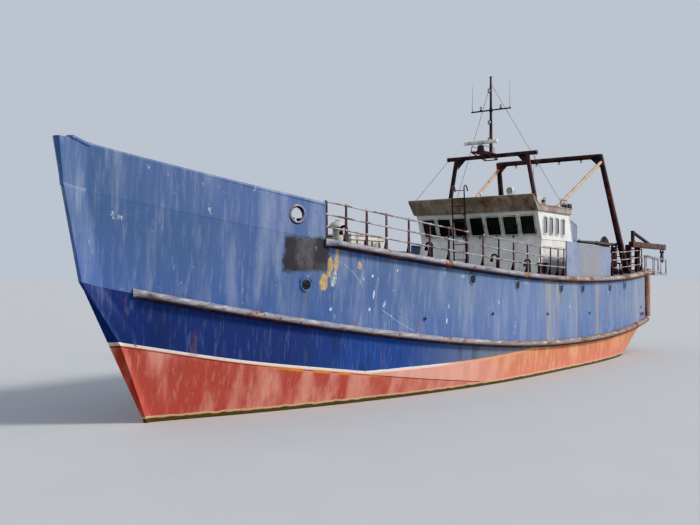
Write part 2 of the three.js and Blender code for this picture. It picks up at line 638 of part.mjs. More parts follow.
// Wheelhouse door, hung on its fore edge on the starboard side.
const doorFace = -HOUSE.half - 2;
const door = block(
  [DOOR.aft + DOOR.gap, doorFace, DOOR.low + DOOR.gap],
  [DOOR.fore - DOOR.gap, doorFace + DOOR.thick, DOOR.high - DOOR.gap],
);
const doorBarrels = HINGE.levels.map((z) => cut(
  join(
    bar([DOOR.fore, hingeY, z - HINGE.barrel], [DOOR.fore, hingeY, z + HINGE.barrel], HINGE.wall, 12),
    block(
      [DOOR.fore - HINGE.arm, hingeY - HINGE.leaf, z - 45],
      [DOOR.fore - HINGE.leaf, hingeY + HINGE.leaf, z + 45],
    ),
    block([DOOR.fore - HINGE.arm, hingeY - HINGE.leaf, z - 45], [DOOR.fore - 40, doorFace + 1, z + 45]),
  ),
  bearing([DOOR.fore, hingeY, z - 200], [DOOR.fore, hingeY, z + 200], HINGE.pin),
));
place("wheelhouse_door", join(door, ...doorBarrels), PAINT.white);

// Ladder up the wheelhouse front, clear of the brow.
const LADDER = {
  sides: [-650, -100], footRun: 12300, topRun: 12520, top: 7150, stile: 26, rung: 16, rungs: 9,
};
const ladderFoot = deckEdge(LADDER.footRun) + 40;
const ladderPoint = (y, share) => [
  LADDER.footRun + (LADDER.topRun - LADDER.footRun) * share,
  y,
  ladderFoot + (LADDER.top - ladderFoot) * share,
];
const stiles = LADDER.sides.map((y) => bar(
  [LADDER.footRun, y, ladderFoot - POST_SINK],
  ladderPoint(y, 1),
  LADDER.stile,
  6,
));
const rungs = Array.from({ length: LADDER.rungs }, (_, k) => {
  const share = (k + 1) / (LADDER.rungs + 1);
  return bar(...LADDER.sides.map((y) => ladderPoint(y, share)), LADDER.rung, 5);
});
place("wheelhouse_ladder", onDeck(join(...stiles, ...rungs)), PAINT.rust);

// Portal mast on the wheelhouse roof, with a radar platform and a topmast.
const MAST = {
  run: 10400, half: 2000, lean: 0.8, beam: 8500, leg: 90, base: 190, plate: 30, top: 11800,
  yard: 900, yardZ: 10400,
};
const RADAR = { run: 11300, pedestal: 330, half: 300, scanner: 750, thick: 80, height: 190 };
const roofTop = ROOF.top + SEAT;
const mastPieces = [-1, 1].flatMap((side) => {
  const y = side * MAST.half;
  return [
    bar([MAST.run, y, roofTop + 20], [MAST.run, y * MAST.lean, MAST.beam], MAST.leg, 8),
    block(
      [MAST.run - MAST.base, y - MAST.base, roofTop],
      [MAST.run + MAST.base, y + MAST.base, roofTop + MAST.plate],
    ),
  ];
});
mastPieces.push(
  bar([MAST.run, -MAST.half, MAST.beam], [MAST.run, MAST.half, MAST.beam], 85, 8),
  bar([MAST.run, 0, MAST.beam - 40], [MAST.run, 0, MAST.top], 75, 8, 40),
  bar([MAST.run, -MAST.yard, MAST.yardZ], [MAST.run, MAST.yard, MAST.yardZ], 30, 6),
  block(
    [MAST.run - 60, -RADAR.half, MAST.beam + 30],
    [RADAR.run + RADAR.half, RADAR.half, MAST.beam + 80],
  ),
  bar([RADAR.run, 0, MAST.beam + 60], [RADAR.run, 0, MAST.beam + RADAR.pedestal], 150, 12, 120),
);
place("roof_mast", join(...mastPieces), PAINT.rust);
place("radar_scanner", join(
  bar([0, 0, 0], [0, 0, 80], 60, 12),
  block([-RADAR.thick, -RADAR.scanner, 60], [RADAR.thick, RADAR.scanner, RADAR.height]),
), PAINT.white, [RADAR.run, 0, MAST.beam + RADAR.pedestal + RUNNING_GAP / 2]);

// Exhaust casing behind each corner of the wheelhouse, with its pipe.
const FUNNEL = { aft: 7250, fore: 8150, inner: 1600, outer: 2450, foot: 3400, top: 5950, fall: 220 };
const PIPE = { foot: [7650, 2025, FUNNEL.top - 250], head: [7560, 2025, 6500], radius: 120 };
placeBothSides("funnel", onDeck(join(
  sideProfile([
    [FUNNEL.aft, FUNNEL.foot], [FUNNEL.fore, FUNNEL.foot],
    [FUNNEL.fore, FUNNEL.top], [FUNNEL.aft, FUNNEL.top - FUNNEL.fall],
  ], FUNNEL.inner, FUNNEL.outer),
  bar(PIPE.foot, PIPE.head, PIPE.radius, 10),
)), PAINT.topside);

// Floodlight on a bracket at each aft corner of the roof: arm, foot plate, stem and lamp case.
const LAMP = {
  run: 8300, y: 2390, half: 60, arm: 60, plate: 110, case: 170, stem: 30, stemFrom: 90,
  caseFrom: 210, caseTo: 440,
};
const lampEdge = ROOF.aft - SEAT;
placeBothSides("floodlight", join(
  block(
    [LAMP.run - 50, LAMP.y - LAMP.half, ROOF.foot + 60],
    [lampEdge, LAMP.y + LAMP.half, ROOF.foot + 120],
  ),
  block(
    [lampEdge - LAMP.arm, LAMP.y - LAMP.plate, ROOF.foot + 20],
    [lampEdge, LAMP.y + LAMP.plate, ROOF.foot + 180],
  ),
  bar(
    [LAMP.run, LAMP.y, ROOF.foot + LAMP.stemFrom],
    [LAMP.run, LAMP.y, ROOF.foot + LAMP.caseFrom + 10],
    LAMP.stem,
    8,
  ),
  block(
    [LAMP.run - LAMP.case - 40, LAMP.y - LAMP.case + 10, ROOF.foot + LAMP.caseFrom],
    [LAMP.run + LAMP.case - 40, LAMP.y + LAMP.case - 10, ROOF.foot + LAMP.caseTo],
  ),
), PAINT.dark);

// Stern gantry: a raked leg each side, joined at the top by a crosshead.
const GANTRY = {
  footRun: 2760, topRun: 4700, footHalf: 3000, topHalf: 2500, footZ: 3800, top: 9000, sunk: 3450,
  leg: 150, legTop: 115, crosshead: 110, padHalf: 260, strutZ: 8720,
};
const gantryPoint = (side, z) => {
  const share = (z - GANTRY.footZ) / (GANTRY.top - GANTRY.footZ);
  return [
    GANTRY.footRun + (GANTRY.topRun - GANTRY.footRun) * share,
    side * (GANTRY.footHalf + (GANTRY.topHalf - GANTRY.footHalf) * share),
    z,
  ];
};
const mirrorImage = (geometry) => geometry.clone().scale(1, -1, 1);
const legShape = (grow, above = 0) => bar(
  gantryPoint(1, GANTRY.sunk),
  gantryPoint(1, GANTRY.top + above),
  GANTRY.leg + grow,
  10,
  GANTRY.legTop + grow,
);
const gantryLeg = join(
  legShape(0),
  block(
    [GANTRY.footRun - 330, GANTRY.footHalf - GANTRY.padHalf, 3500],
    [GANTRY.footRun + 180, GANTRY.footHalf + GANTRY.padHalf, deckEdge(GANTRY.footRun) + 90],
  ),
);
const headZ = GANTRY.top - 60;
place("stern_gantry", onDeck(join(
  gantryLeg,
  mirrorImage(gantryLeg),
  bar(gantryPoint(-1, headZ), gantryPoint(1, headZ), GANTRY.crosshead, 10),
)), PAINT.rust);

// Strut from each aft corner of the roof up to the head of the gantry.
const STRUT = { foot: [8820, 2150, ROOF.top + 75], radius: 70, pad: 140, padTop: 90 };
const [strutRun, strutY] = STRUT.foot;
placeBothSides("gantry_strut", cut(
  join(
    bar(STRUT.foot, gantryPoint(1, GANTRY.strutZ), STRUT.radius, 8),
    block(
      [strutRun - STRUT.pad + 10, strutY - STRUT.pad, ROOF.top + SEAT],
      [strutRun + STRUT.pad, strutY + STRUT.pad, ROOF.top + STRUT.padTop],
    ),
  ),
  legShape(3, 10),
), PAINT.tan);

// Gallows on each quarter: an arm out over the stern, a post, a stay and a hanger for the block.
const GALLOWS = {
  y: 3150, half: 110, arm: 5050, armHalf: 130, end: -2450, fore: 2560, foot: 3600,
  postRun: 700, postIn: 420, stayRun: 2300, stayZ: 5620, stayAft: -300, legHalf: 100,
};
const HANGER = { run: -2150, half: 60, inner: 45, outer: 75, pinZ: GALLOWS.arm - 250, pin: 22 };
const postSide = [GALLOWS.y - GALLOWS.postIn, GALLOWS.y - GALLOWS.postIn / 2];
const hangerCheek = (from, to) => block(
  [HANGER.run - HANGER.half, GALLOWS.y + from, HANGER.pinZ - 70],
  [HANGER.run + HANGER.half, GALLOWS.y + to, GALLOWS.arm - 100],
);
const gallows = join(
  block(
    [GALLOWS.end, GALLOWS.y - GALLOWS.half, GALLOWS.arm - GALLOWS.armHalf],
    [GALLOWS.fore, GALLOWS.y + GALLOWS.half, GALLOWS.arm + GALLOWS.armHalf],
  ),
  block(
    [GALLOWS.postRun - GALLOWS.half, postSide[0], GALLOWS.foot],
    [GALLOWS.postRun + GALLOWS.half, postSide[1], GALLOWS.arm - 60],
  ),
  block(
    [GALLOWS.postRun - GALLOWS.half, postSide[0], GALLOWS.arm - GALLOWS.armHalf],
    [GALLOWS.postRun + GALLOWS.half, GALLOWS.y, GALLOWS.arm],
  ),
  bar(
    [GALLOWS.stayRun, GALLOWS.y, GALLOWS.stayZ],
    [GALLOWS.stayAft, GALLOWS.y, GALLOWS.arm + 60],
    75,
    8,
  ),
  bar(
    [GALLOWS.stayRun, GALLOWS.y, GALLOWS.arm - 50],
    [GALLOWS.stayRun, GALLOWS.y, GALLOWS.stayZ + 50],
    85,
    8,
  ),
  block(
    [GALLOWS.stayRun - GALLOWS.legHalf, GALLOWS.y - 330, GALLOWS.foot],
    [GALLOWS.stayRun + GALLOWS.legHalf, GALLOWS.y - 90, GALLOWS.arm],
  ),
  hangerCheek(-HANGER.outer, -HANGER.inner),
  hangerCheek(HANGER.inner, HANGER.outer),
  bar(
    [HANGER.run, GALLOWS.y - HANGER.half, HANGER.pinZ],
    [HANGER.run, GALLOWS.y + HANGER.half, HANGER.pinZ],
    HANGER.pin,
    12,
  ),
);
placeBothSides("gallows", cut(onDeck(gallows), legShape(5)), PAINT.rust);

// Towing block hung on the gallows pin: a shell of two cheeks with its sheave inside.
const TOWING_BLOCK = { half: 38, drop: 330, radius: 210, shank: 60, shankLow: -200, shankTop: 50 };
const towingBlock = () => cut(
  join(
    bar(
      [0, -TOWING_BLOCK.half, -TOWING_BLOCK.drop],
      [0, TOWING_BLOCK.half, -TOWING_BLOCK.drop],
      TOWING_BLOCK.radius,
      16,
    ),
    block(
      [-TOWING_BLOCK.shank, -TOWING_BLOCK.half, TOWING_BLOCK.shankLow],
      [TOWING_BLOCK.shank, TOWING_BLOCK.half, TOWING_BLOCK.shankTop],
    ),
  ),
  bearing([0, -60, 0], [0, 60, 0], HANGER.pin),
);
[["towing_block_port", 1], ["towing_block_starboard", -1]].forEach(([name, side]) => place(
  name,
  towingBlock(),
  PAINT.dark,
  [HANGER.run, side * GALLOWS.y, HANGER.pinZ],
));

// Derrick boom, stowed level along the deck and hinged at a gooseneck by the port gantry leg.
const BOOM = { run: 3950, y: 2850, z: 5000, length: 4300, radius: 80, end: 60, tip: 50, pin: 30 };
const GOOSENECK = { post: 130, table: 160, cheekIn: 70, cheekOut: 110, low: 130, high: 80 };
const cheek = (side) => block(
  [BOOM.run - 90, BOOM.y + side * GOOSENECK.cheekIn, BOOM.z - GOOSENECK.low],
  [BOOM.run + 70, BOOM.y + side * GOOSENECK.cheekOut, BOOM.z + GOOSENECK.high],
);
place("derrick_post", onDeck(join(
  bar([BOOM.run, BOOM.y, 3500], [BOOM.run, BOOM.y, BOOM.z - GOOSENECK.low], GOOSENECK.post, 10),
  block(
    [BOOM.run - GOOSENECK.post, BOOM.y - GOOSENECK.post, BOOM.z - GOOSENECK.table],
    [BOOM.run + 90, BOOM.y + GOOSENECK.post, BOOM.z - 110],
  ),
  cheek(-1),
  cheek(1),
  bar([BOOM.run, BOOM.y - 80, BOOM.z], [BOOM.run, BOOM.y + 80, BOOM.z], BOOM.pin, 12),
)), PAINT.rust);
const boomMiddle = BOOM.length / 2;
place("derrick_boom", cut(
  join(
    block([-BOOM.end, -BOOM.end, -BOOM.end], [260, BOOM.end, BOOM.end]),
    bar([200, 0, 0], [boomMiddle, 0, 0], BOOM.end, 10, BOOM.radius),
    bar([boomMiddle - 1, 0, 0], [BOOM.length, 0, 0], BOOM.radius, 10, BOOM.tip),
  ),
  bearing([0, -100, 0], [0, 100, 0], BOOM.pin),
), PAINT.dark, [BOOM.run, BOOM.y, BOOM.z]);

// A drum between two stands, turning on its shaft. Stands are plates with a sloping front and back.
const DRUM = { shaft: 60, journal: 100, plateHalf: 35, flange: 25, headHalf: 140, head: 130, foot: 3500 };
const SKID = { width: 160, rise: 210 };

function drumSet(name, { run, z, half, core, flange, flangeAt, spread }) {
  const stand = (y) => cut(
    sideProfile([
      [run - spread, DRUM.foot], [run + spread, DRUM.foot],
      [run + DRUM.headHalf, z + DRUM.head], [run - DRUM.headHalf, z + DRUM.head],
    ], y - DRUM.plateHalf, y + DRUM.plateHalf),
    bearing([run, y - DRUM.plateHalf - 15, z], [run, y + DRUM.plateHalf + 15, z], DRUM.shaft),
  );
  place(name + "_stands", onDeck(join(
    stand(-half),
    stand(half),
    block(
      [run - spread, -half - DRUM.plateHalf, DRUM.foot],
      [run - spread + SKID.width, half + DRUM.plateHalf, deckEdge(run) + SKID.rise],
    ),
  )), PAINT.dark);
  const end = half + DRUM.journal;
  const outer = flangeAt + DRUM.flange;
  const profile = [
    [0, -end], [DRUM.shaft, -end], [DRUM.shaft, -outer], [flange, -outer], [flange, -flangeAt],
    [core, -flangeAt], [core, flangeAt], [flange, flangeAt], [flange, outer], [DRUM.shaft, outer],
    [DRUM.shaft, end], [0, end],
  ];
  place(name, turned(profile, 14).rotateX(-Math.PI / 2), PAINT.rust, [run, 0, z]);
}
drumSet("net_drum", {
  run: 1750, z: 4780, half: 1750, core: 260, flange: 720, flangeAt: 1600, spread: 560,
});
drumSet("trawl_winch_drum", {
  run: 5900, z: 4420, half: 1150, core: 210, flange: 480, flangeAt: 1020, spread: 480,
});

// Windlass on the foredeck.
drumSet("windlass_drum", {
  run: 26600, z: 5560, half: 620, core: 150, flange: 290, flangeAt: 500, spread: 300,
});

// Hatch on the foredeck: coaming with a lid hinged on its aft edge. Each lid hinge turns between two ears.
const HATCH = { run: 20500, half: 900, length: 1800, wall: 40, foot: 3900, top: 4780, lid: 60, over: 20 };
const LUG = { y: [-600, 600], half: 25, pin: 16, pinHalf: 32, earFrom: 32.6, earTo: 57, above: 25, aft: 50 };
const hatchAft = HATCH.run - HATCH.length / 2;
const hatchFore = HATCH.run + HATCH.length / 2;
const hatchEars = LUG.y.flatMap((y) => [-1, 1].map((side) => block(
  [hatchAft - 80, y + side * LUG.earFrom, HATCH.top - 120],
  [hatchAft + 10, y + side * LUG.earTo, HATCH.top + 45],
)));
place("hatch_coaming", onDeck(join(
  cut(
    block([hatchAft, -HATCH.half, HATCH.foot], [hatchFore, HATCH.half, HATCH.top]),
    block(
      [hatchAft + HATCH.wall, -HATCH.half + HATCH.wall, HATCH.foot - 100],
      [hatchFore - HATCH.wall, HATCH.half - HATCH.wall, HATCH.top + 10],
    ),
  ),
  ...hatchEars,
)), PAINT.white);
place("hatch_lid", join(
  block(
    [LUG.aft + 22, -HATCH.half - HATCH.over, -HATCH.over],
    [LUG.aft + HATCH.over + HATCH.length, HATCH.half + HATCH.over, HATCH.lid - HATCH.over],
  ),
  ...LUG.y.flatMap((y) => [
    block([-18, y - LUG.half, -18], [LUG.aft + 30, y + LUG.half, 18]),
    bar([0, y - LUG.pinHalf, 0], [0, y + LUG.pinHalf, 0], LUG.pin, 8),
  ]),
), PAINT.white, [hatchAft - LUG.aft, 0, HATCH.top + LUG.above]);

// Mushroom ventilators on the foredeck.
const VENT = { run: 22600, y: 1300, foot: 3900, pipe: 150, cap: 260, capTop: 240, capLow: 620, capHigh: 800 };
placeBothSides("ventilator", onDeck(join(
  bar(
    [VENT.run, VENT.y, VENT.foot],
    [VENT.run, VENT.y, deckEdge(VENT.run) + VENT.capHigh - 20],
    VENT.pipe,
    12,
  ),
  bar(
    [VENT.run, VENT.y, deckEdge(VENT.run) + VENT.capLow],
    [VENT.run, VENT.y, deckEdge(VENT.run) + VENT.capHigh],
    VENT.cap,
    12,
    VENT.capTop,
  ),
)), PAINT.white);

// Mooring bitts: two posts with caps on a base plate.
const BITT = { inboard: 480, half: 400, plateHalf: 140, apart: 230, post: 95, cap: 125, height: 450 };
const bitts = (run) => {
  const y = halfAt("rail", run, BELT_DEPTH) - BITT.inboard;
  const z = deckEdge(run) + 20;
  return onDeck(join(
    block([run - BITT.half, y - BITT.plateHalf, z - 120], [run + BITT.half, y + BITT.plateHalf, z + 60]),
    ...[-BITT.apart, BITT.apart].flatMap((dx) => [
      bar([run + dx, y, z], [run + dx, y, z + BITT.height - 30], BITT.post, 10),
      bar([run + dx, y, z + BITT.height - 50], [run + dx, y, z + BITT.height], BITT.cap, 10),
    ]),
  ));
};
placeBothSides("bow_bitts", bitts(24900), PAINT.dark);
placeBothSides("midship_bitts", bitts(12300), PAINT.dark);

// Boarding frame carried aft from the port quarter, under the gallows: two sides of bent tube with a
// long tread between them. The inner side stands on the deck edge and the outer one on the strake.
const FRAME = {
  legs: [{ root: 200, y: 2900 }, { root: 1000, y: 3290 }],
  aft: -2350, low: 3640, top: 4600, drop: 190, tube: 30, post: 34, tread: 90, rootUp: 80,
  hangers: [-450, -1500], fore: -400,
};
const frameTopAt = (root, run) => FRAME.top - 30 - (FRAME.drop - 30) * ((root - run) / (root - FRAME.aft));
const frameSide = ({ root, y }) => [
  bar([root, y, deckEdge(root) - 60], [root, y, FRAME.top], FRAME.post, 6),
  bar([root, y, FRAME.top - 30], [FRAME.aft, y, FRAME.top - FRAME.drop], FRAME.tube, 6),
  bar([FRAME.aft, y, FRAME.top - FRAME.drop + 30], [FRAME.aft, y, FRAME.low], FRAME.tube, 6),
  bar([FRAME.aft, y, FRAME.low + 50], [root, y, deckEdge(0) + FRAME.rootUp], FRAME.tube, 6),
  ...FRAME.hangers.map((run) => bar([run, y, FRAME.low + 40], [run, y, frameTopAt(root, run)], 22, 6)),
];
place("stern_frame", cut(
  onDeck(join(
    ...FRAME.legs.flatMap(frameSide),
    block(
      [FRAME.aft - 60, FRAME.legs[0].y - 50, FRAME.low],
      [FRAME.fore, FRAME.legs[1].y + 30, FRAME.low + FRAME.tread],
    ),
  )),
  belting("rail", UPPER_BELT_END, SEAT),
), PAINT.white);

export default ship;
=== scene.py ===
import bmesh
import bpy
import numpy as np
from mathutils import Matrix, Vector


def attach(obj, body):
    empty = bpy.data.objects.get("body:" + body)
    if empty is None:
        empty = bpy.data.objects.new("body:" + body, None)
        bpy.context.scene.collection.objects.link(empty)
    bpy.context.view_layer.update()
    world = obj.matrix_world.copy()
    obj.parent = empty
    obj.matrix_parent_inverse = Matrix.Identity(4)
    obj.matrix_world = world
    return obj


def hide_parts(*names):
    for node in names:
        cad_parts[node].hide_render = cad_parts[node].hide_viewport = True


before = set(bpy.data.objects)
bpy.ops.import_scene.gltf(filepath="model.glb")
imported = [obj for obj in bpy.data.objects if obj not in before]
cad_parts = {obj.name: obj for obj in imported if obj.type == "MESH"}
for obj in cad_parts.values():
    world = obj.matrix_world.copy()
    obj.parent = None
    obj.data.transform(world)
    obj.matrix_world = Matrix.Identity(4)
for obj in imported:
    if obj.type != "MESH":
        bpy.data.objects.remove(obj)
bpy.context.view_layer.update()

# Bare ground for the ship to float on: a pale studio floor at the waterline, a soft sun from the port
# quarter, so that her port side is bright and the wheelhouse front in shade, and a pale sky all round.
# The camera stands off the port bow and a little above the water, as in the photograph.
CAMERA_PLACE = (27.3, 16.5, 3.5)
CAMERA_AIM = (-0.2, -3.6, 4.1)
CAMERA_LENS = 45.0
scene = bpy.context.scene
scene.view_settings.view_transform = "Khronos PBR Neutral"
eye = bpy.data.objects.new("eye", bpy.data.cameras.new("eye"))
scene.collection.objects.link(eye)
eye.location = CAMERA_PLACE
eye.rotation_euler = (Vector(CAMERA_AIM) - Vector(CAMERA_PLACE)).to_track_quat("-Z", "Y").to_euler()
eye.data.lens = CAMERA_LENS
eye.data.clip_end = 2000.0
scene.camera = eye

sun = bpy.data.objects.new("sun", bpy.data.lights.new("sun", "SUN"))
scene.collection.objects.link(sun)
sun.rotation_euler = (Vector((0, 0, 0)) - Vector((-0.5, 1.0, 0.74))).to_track_quat("-Z", "Y").to_euler()
sun.data.energy = 3.0
sun.data.angle = 0.22
sun.data.color = (1.0, 0.965, 0.91)
sky = bpy.data.worlds.new("sky")
scene.world = sky
sky.use_nodes = True
sky.node_tree.nodes["Background"].inputs["Color"].default_value = (0.82, 0.89, 1.0, 1)
sky.node_tree.nodes["Background"].inputs["Strength"].default_value = 0.66


def put(tree, kind, sockets=(), **settings):
    """Adds a shader node with its own settings, then links a socket or sets a value on each of its inputs."""
    made = tree.nodes.new("ShaderNode" + kind)
    for name, value in settings.items():
        setattr(made, name, value)
    for name, value in dict(sockets).items():
        if isinstance(value, bpy.types.NodeSocket):
            tree.links.new(value, made.inputs[name])
        else:
            made.inputs[name].default_value = value
    return made


def paint_rgb(red, green, blue):
    """A colour read on a 0 to 255 scale, as linear light: each share to the power 2.2, with alpha 1."""
    return (*[(value / 255) ** 2.2 for value in (red, green, blue)], 1.0)


def position(tree):
    """Place on the ship in metres, as it is at rest."""
    return put(tree, "TexCoord").outputs["Object"]


def noise(tree, where, scale, stretch=(1, 1, 1), detail=4.0, rough=0.55):
    """Cloudy noise from 0 to 1, drawn out along an axis where its stretch is small."""
    spread = put(tree, "Mapping", {"Vector": where, "Scale": stretch}).outputs["Vector"]
    return put(tree, "TexNoise", {"Vector": spread, "Scale": scale, "Detail": detail,
                                  "Roughness": rough}).outputs["Fac"]


def ramp(tree, value, low, high, to=(0.0, 1.0)):
    """Rises smoothly from one limit to the other while the value goes from low to high."""
    return put(tree, "MapRange", {"Value": value, "From Min": low, "From Max": high, "To Min": to[0],
                                  "To Max": to[1]}, interpolation_type="SMOOTHSTEP").outputs["Result"]


def sums(tree, operation, a, b=0.5, c=0.5):
    """One arithmetic step between values."""
    return put(tree, "Math", {0: a, 1: b, 2: c}, operation=operation).outputs["Value"]


def over(tree, mask, under, top):
    """The top colour laid over the one under it, as far as the mask covers."""
    return put(tree, "Mix", {"Factor": mask, "A": under, "B": top}, data_type="RGBA").outputs["Result"]


def axes(tree, where):
    """Run, side and height of a place, as three values."""
    return [put(tree, "SeparateXYZ", {"Vector": where}).outputs[name] for name in "XYZ"]


def new_group(name, given, made):
    """A shader node group with named inputs and outputs. Gives the group, its tree and its input node."""
    tree = bpy.data.node_groups.new(name, "ShaderNodeTree")
    for label, kind, value in given:
        socket = tree.interface.new_socket(label, in_out="INPUT", socket_type="NodeSocket" + kind)
        if value is not None:
            socket.default_value = value
    for label, kind in made:
        tree.interface.new_socket(label, in_out="OUTPUT", socket_type="NodeSocket" + kind)
    source = tree.nodes.new("NodeGroupInput")
    return tree, source.outputs, tree.nodes.new("NodeGroupOutput")


def use(tree, group, **sockets):
    """Places a node group in a material, its inputs named with underscores for spaces."""
    node = put(tree, "Group", node_tree=group)
    for name, value in sockets.items():
        socket = node.inputs[name.replace("_", " ")]
        if isinstance(value, bpy.types.NodeSocket):
            tree.links.new(value, socket)
        else:
            socket.default_value = value
    return node.outputs


def material(name, metallic=0.0, coat=0.0, **fixed):
    """An empty finish: its tree, the shader and a function that joins the sockets the finish works out."""
    made = bpy.data.materials.new(name)
    made.use_nodes = True
    tree = made.node_tree
    shader = tree.nodes["Principled BSDF"]
    shader.inputs["Metallic"].default_value = metallic
    shader.inputs["Coat Weight"].default_value = coat
    for label, value in fixed.items():
        shader.inputs[label.replace("_", " ")].default_value = value

    def finish(color, roughness=None, height=None, strength=0.4, distance=0.01, metal=None):
        tree.links.new(color, shader.inputs["Base Color"])
        if roughness is not None:
            tree.links.new(roughness, shader.inputs["Roughness"])
        if metal is not None:
            tree.links.new(metal, shader.inputs["Metallic"])
        if height is not None:
            bump = put(tree, "Bump", {"Height": height, "Strength": strength, "Distance": distance})
            tree.links.new(bump.outputs["Normal"], shader.inputs["Normal"])
    return made, tree, finish


FLOOR_REACH = 900.0
floor_paper, tree, finish = material("floor_paper")
grain = noise(tree, position(tree), 0.6, detail=3.0)
finish(over(tree, grain, paint_rgb(186, 188, 190), paint_rgb(192, 193, 194)),
       ramp(tree, grain, 0.0, 1.0, (0.75, 0.85)))
floor_mesh = bpy.data.meshes.new("floor")
floor_mesh.from_pydata([(x * FLOOR_REACH, y * FLOOR_REACH, 0.0) for x, y in
                        ((-1, -1), (1, -1), (1, 1), (-1, 1))], [], [(0, 1, 2, 3)])
floor_mesh.materials.append(floor_paper)
floor = bpy.data.objects.new("floor", floor_mesh)
scene.collection.objects.link(floor)


# Hull below the main deck. Steel plates welded over frames, with one hard chine from the transom to the
# stem; blue down to a white boot line, red under it, and red right up to the strake over the stern.
MIDSHIP = 15.5
BELT_DEPTH = 0.19
TRANSOM_CORNER = 0.45
STEM_HALF = 0.06
# stem run, widest half-breadth, half-breadth at the transom, run where it is full, run where it closes, power
PLAN = {
    "rail": (31.0, 3.759, 3.235, 8.0, 16.23, 1.762),
    "strake": (30.5, 3.759, 3.235, 8.0, 15.23, 1.762),
    "chine": (29.4, 3.37, 2.45, 9.0, 13.23, 2.3),
    "bilge": (28.7, 2.65, 1.5, 9.5, 12.5, 1.9),
    "centre": (28.3, 0.0, 0.0, 9.0, 13.0, 2.0),
}
# run and height of points on each underwater line, joined by a smooth curve
HEIGHTS = {
    "chine": ((0, 0.88), (3.5, 0.06), (6.5, -0.33), (10, -0.44), (13.5, -0.28), (16, 0), (20, 0.45),
              (23.5, 0.9), (26.5, 1.33), (29.4, 1.9)),
    "bilge": ((0, 0.76), (3.5, -0.12), (6.5, -1.0), (9.5, -1.65), (13, -1.93), (21, -1.85), (25, -1.35),
              (28.7, 0.25)),
    "centre": ((0, 0.7), (3.3, -0.2), (6, -1.25), (8.5, -1.95), (11, -2.23), (22, -2.28), (25.5, -1.9),
               (27.3, -1.25), (28.3, -0.65)),
}
# deck edges: low height, slope and bend of a parabola whose run is counted from its low point
SHEER = {"rail": (3.583, -0.506, 1.705), "strake": (1.141, -0.766, 2.135)}
SHEER_FROM = 6.0
SHEER_SPAN = 20.0


def sheer(line, run):
    """Height of a deck edge: low + slope t + bend t squared, with t the run from the low point."""
    low, slope, bend = SHEER[line]
    t = (run - SHEER_FROM) / SHEER_SPAN
    return low + slope * t + bend * t * t


def smooth_height(line, run):
    """Height of an underwater line: a cubic between two of its points, sloped as their neighbours say."""
    points = np.array(HEIGHTS[line], float)
    x, z = points.T
    slope = np.gradient(z, x)
    slope[1:-1] = (z[2:] - z[:-2]) / (x[2:] - x[:-2])
    i = np.clip(np.searchsorted(x, run) - 1, 0, len(x) - 2)
    step = x[i + 1] - x[i]
    t = (run - x[i]) / step
    return (z[i] * (2 * t**3 - 3 * t**2 + 1) + z[i + 1] * (3 * t**2 - 2 * t**3)
            + slope[i] * step * (t**3 - 2 * t**2 + t) + slope[i + 1] * step * (t**3 - t**2))


def half_breadth(line, run, inset=0.0):
    """Half the width: full amidships, less by a square towards the transom and by a power towards the stem,
    and rounded off by a quarter circle at the transom's corner."""
    stem, half, aft, full, close, power = PLAN[line]
    y = half - (half - aft) * (np.clip(full - run, 0, None) / full) ** 2
    y = y * (1 - (np.clip(run - close, 0, None) / (stem - close)) ** power)
    corner = np.clip(TRANSOM_CORNER - run, 0, None)
    if half > 0:
        y = y - TRANSOM_CORNER + np.sqrt(TRANSOM_CORNER**2 - corner**2)
    return np.maximum(y - inset, STEM_HALF if half > 0 else 0.0)


def long_line(line, share):
    """Points of a long line of the port side, at shares of its run from the transom to the stem."""
    run = PLAN[line][0] * share
    decked = line in SHEER
    z = sheer(line, run) if decked else smooth_height(line, run)
    return np.stack([run - MIDSHIP, half_breadth(line, run, BELT_DEPTH if decked else 0.0), z], -1)


def between(a, b, steps):
    """Rows of points from line a to line b, in equal steps: a + (b - a) t."""
    t = np.linspace(0, 1, steps)[None, :, None]
    return a[:, None] + (b - a)[:, None] * t


def ring_faces(rings, columns, closed=True):
    """Quads between neighbouring rings, and one flat face over the first and the last ring."""
    r, c = np.meshgrid(np.arange(rings - 1), np.arange(columns), indexing="ij")
    a, b = r * columns + c, r * columns + (c + 1) % columns
    quads = np.stack([a, b, b + columns, a + columns], -1).reshape(-1, 4).tolist()
    if closed:
        quads += [list(range(columns)), list(range((rings - 1) * columns, rings * columns))]
    return quads


def loft(rings):
    """A closed skin through rings of points, an array of ring by point by axis."""
    return rings.reshape(-1, 3), ring_faces(*rings.shape[:2])


def mirrored(part):
    """The same part on the other side of the centreline."""
    points, faces = part
    return points * (1, -1, 1), faces


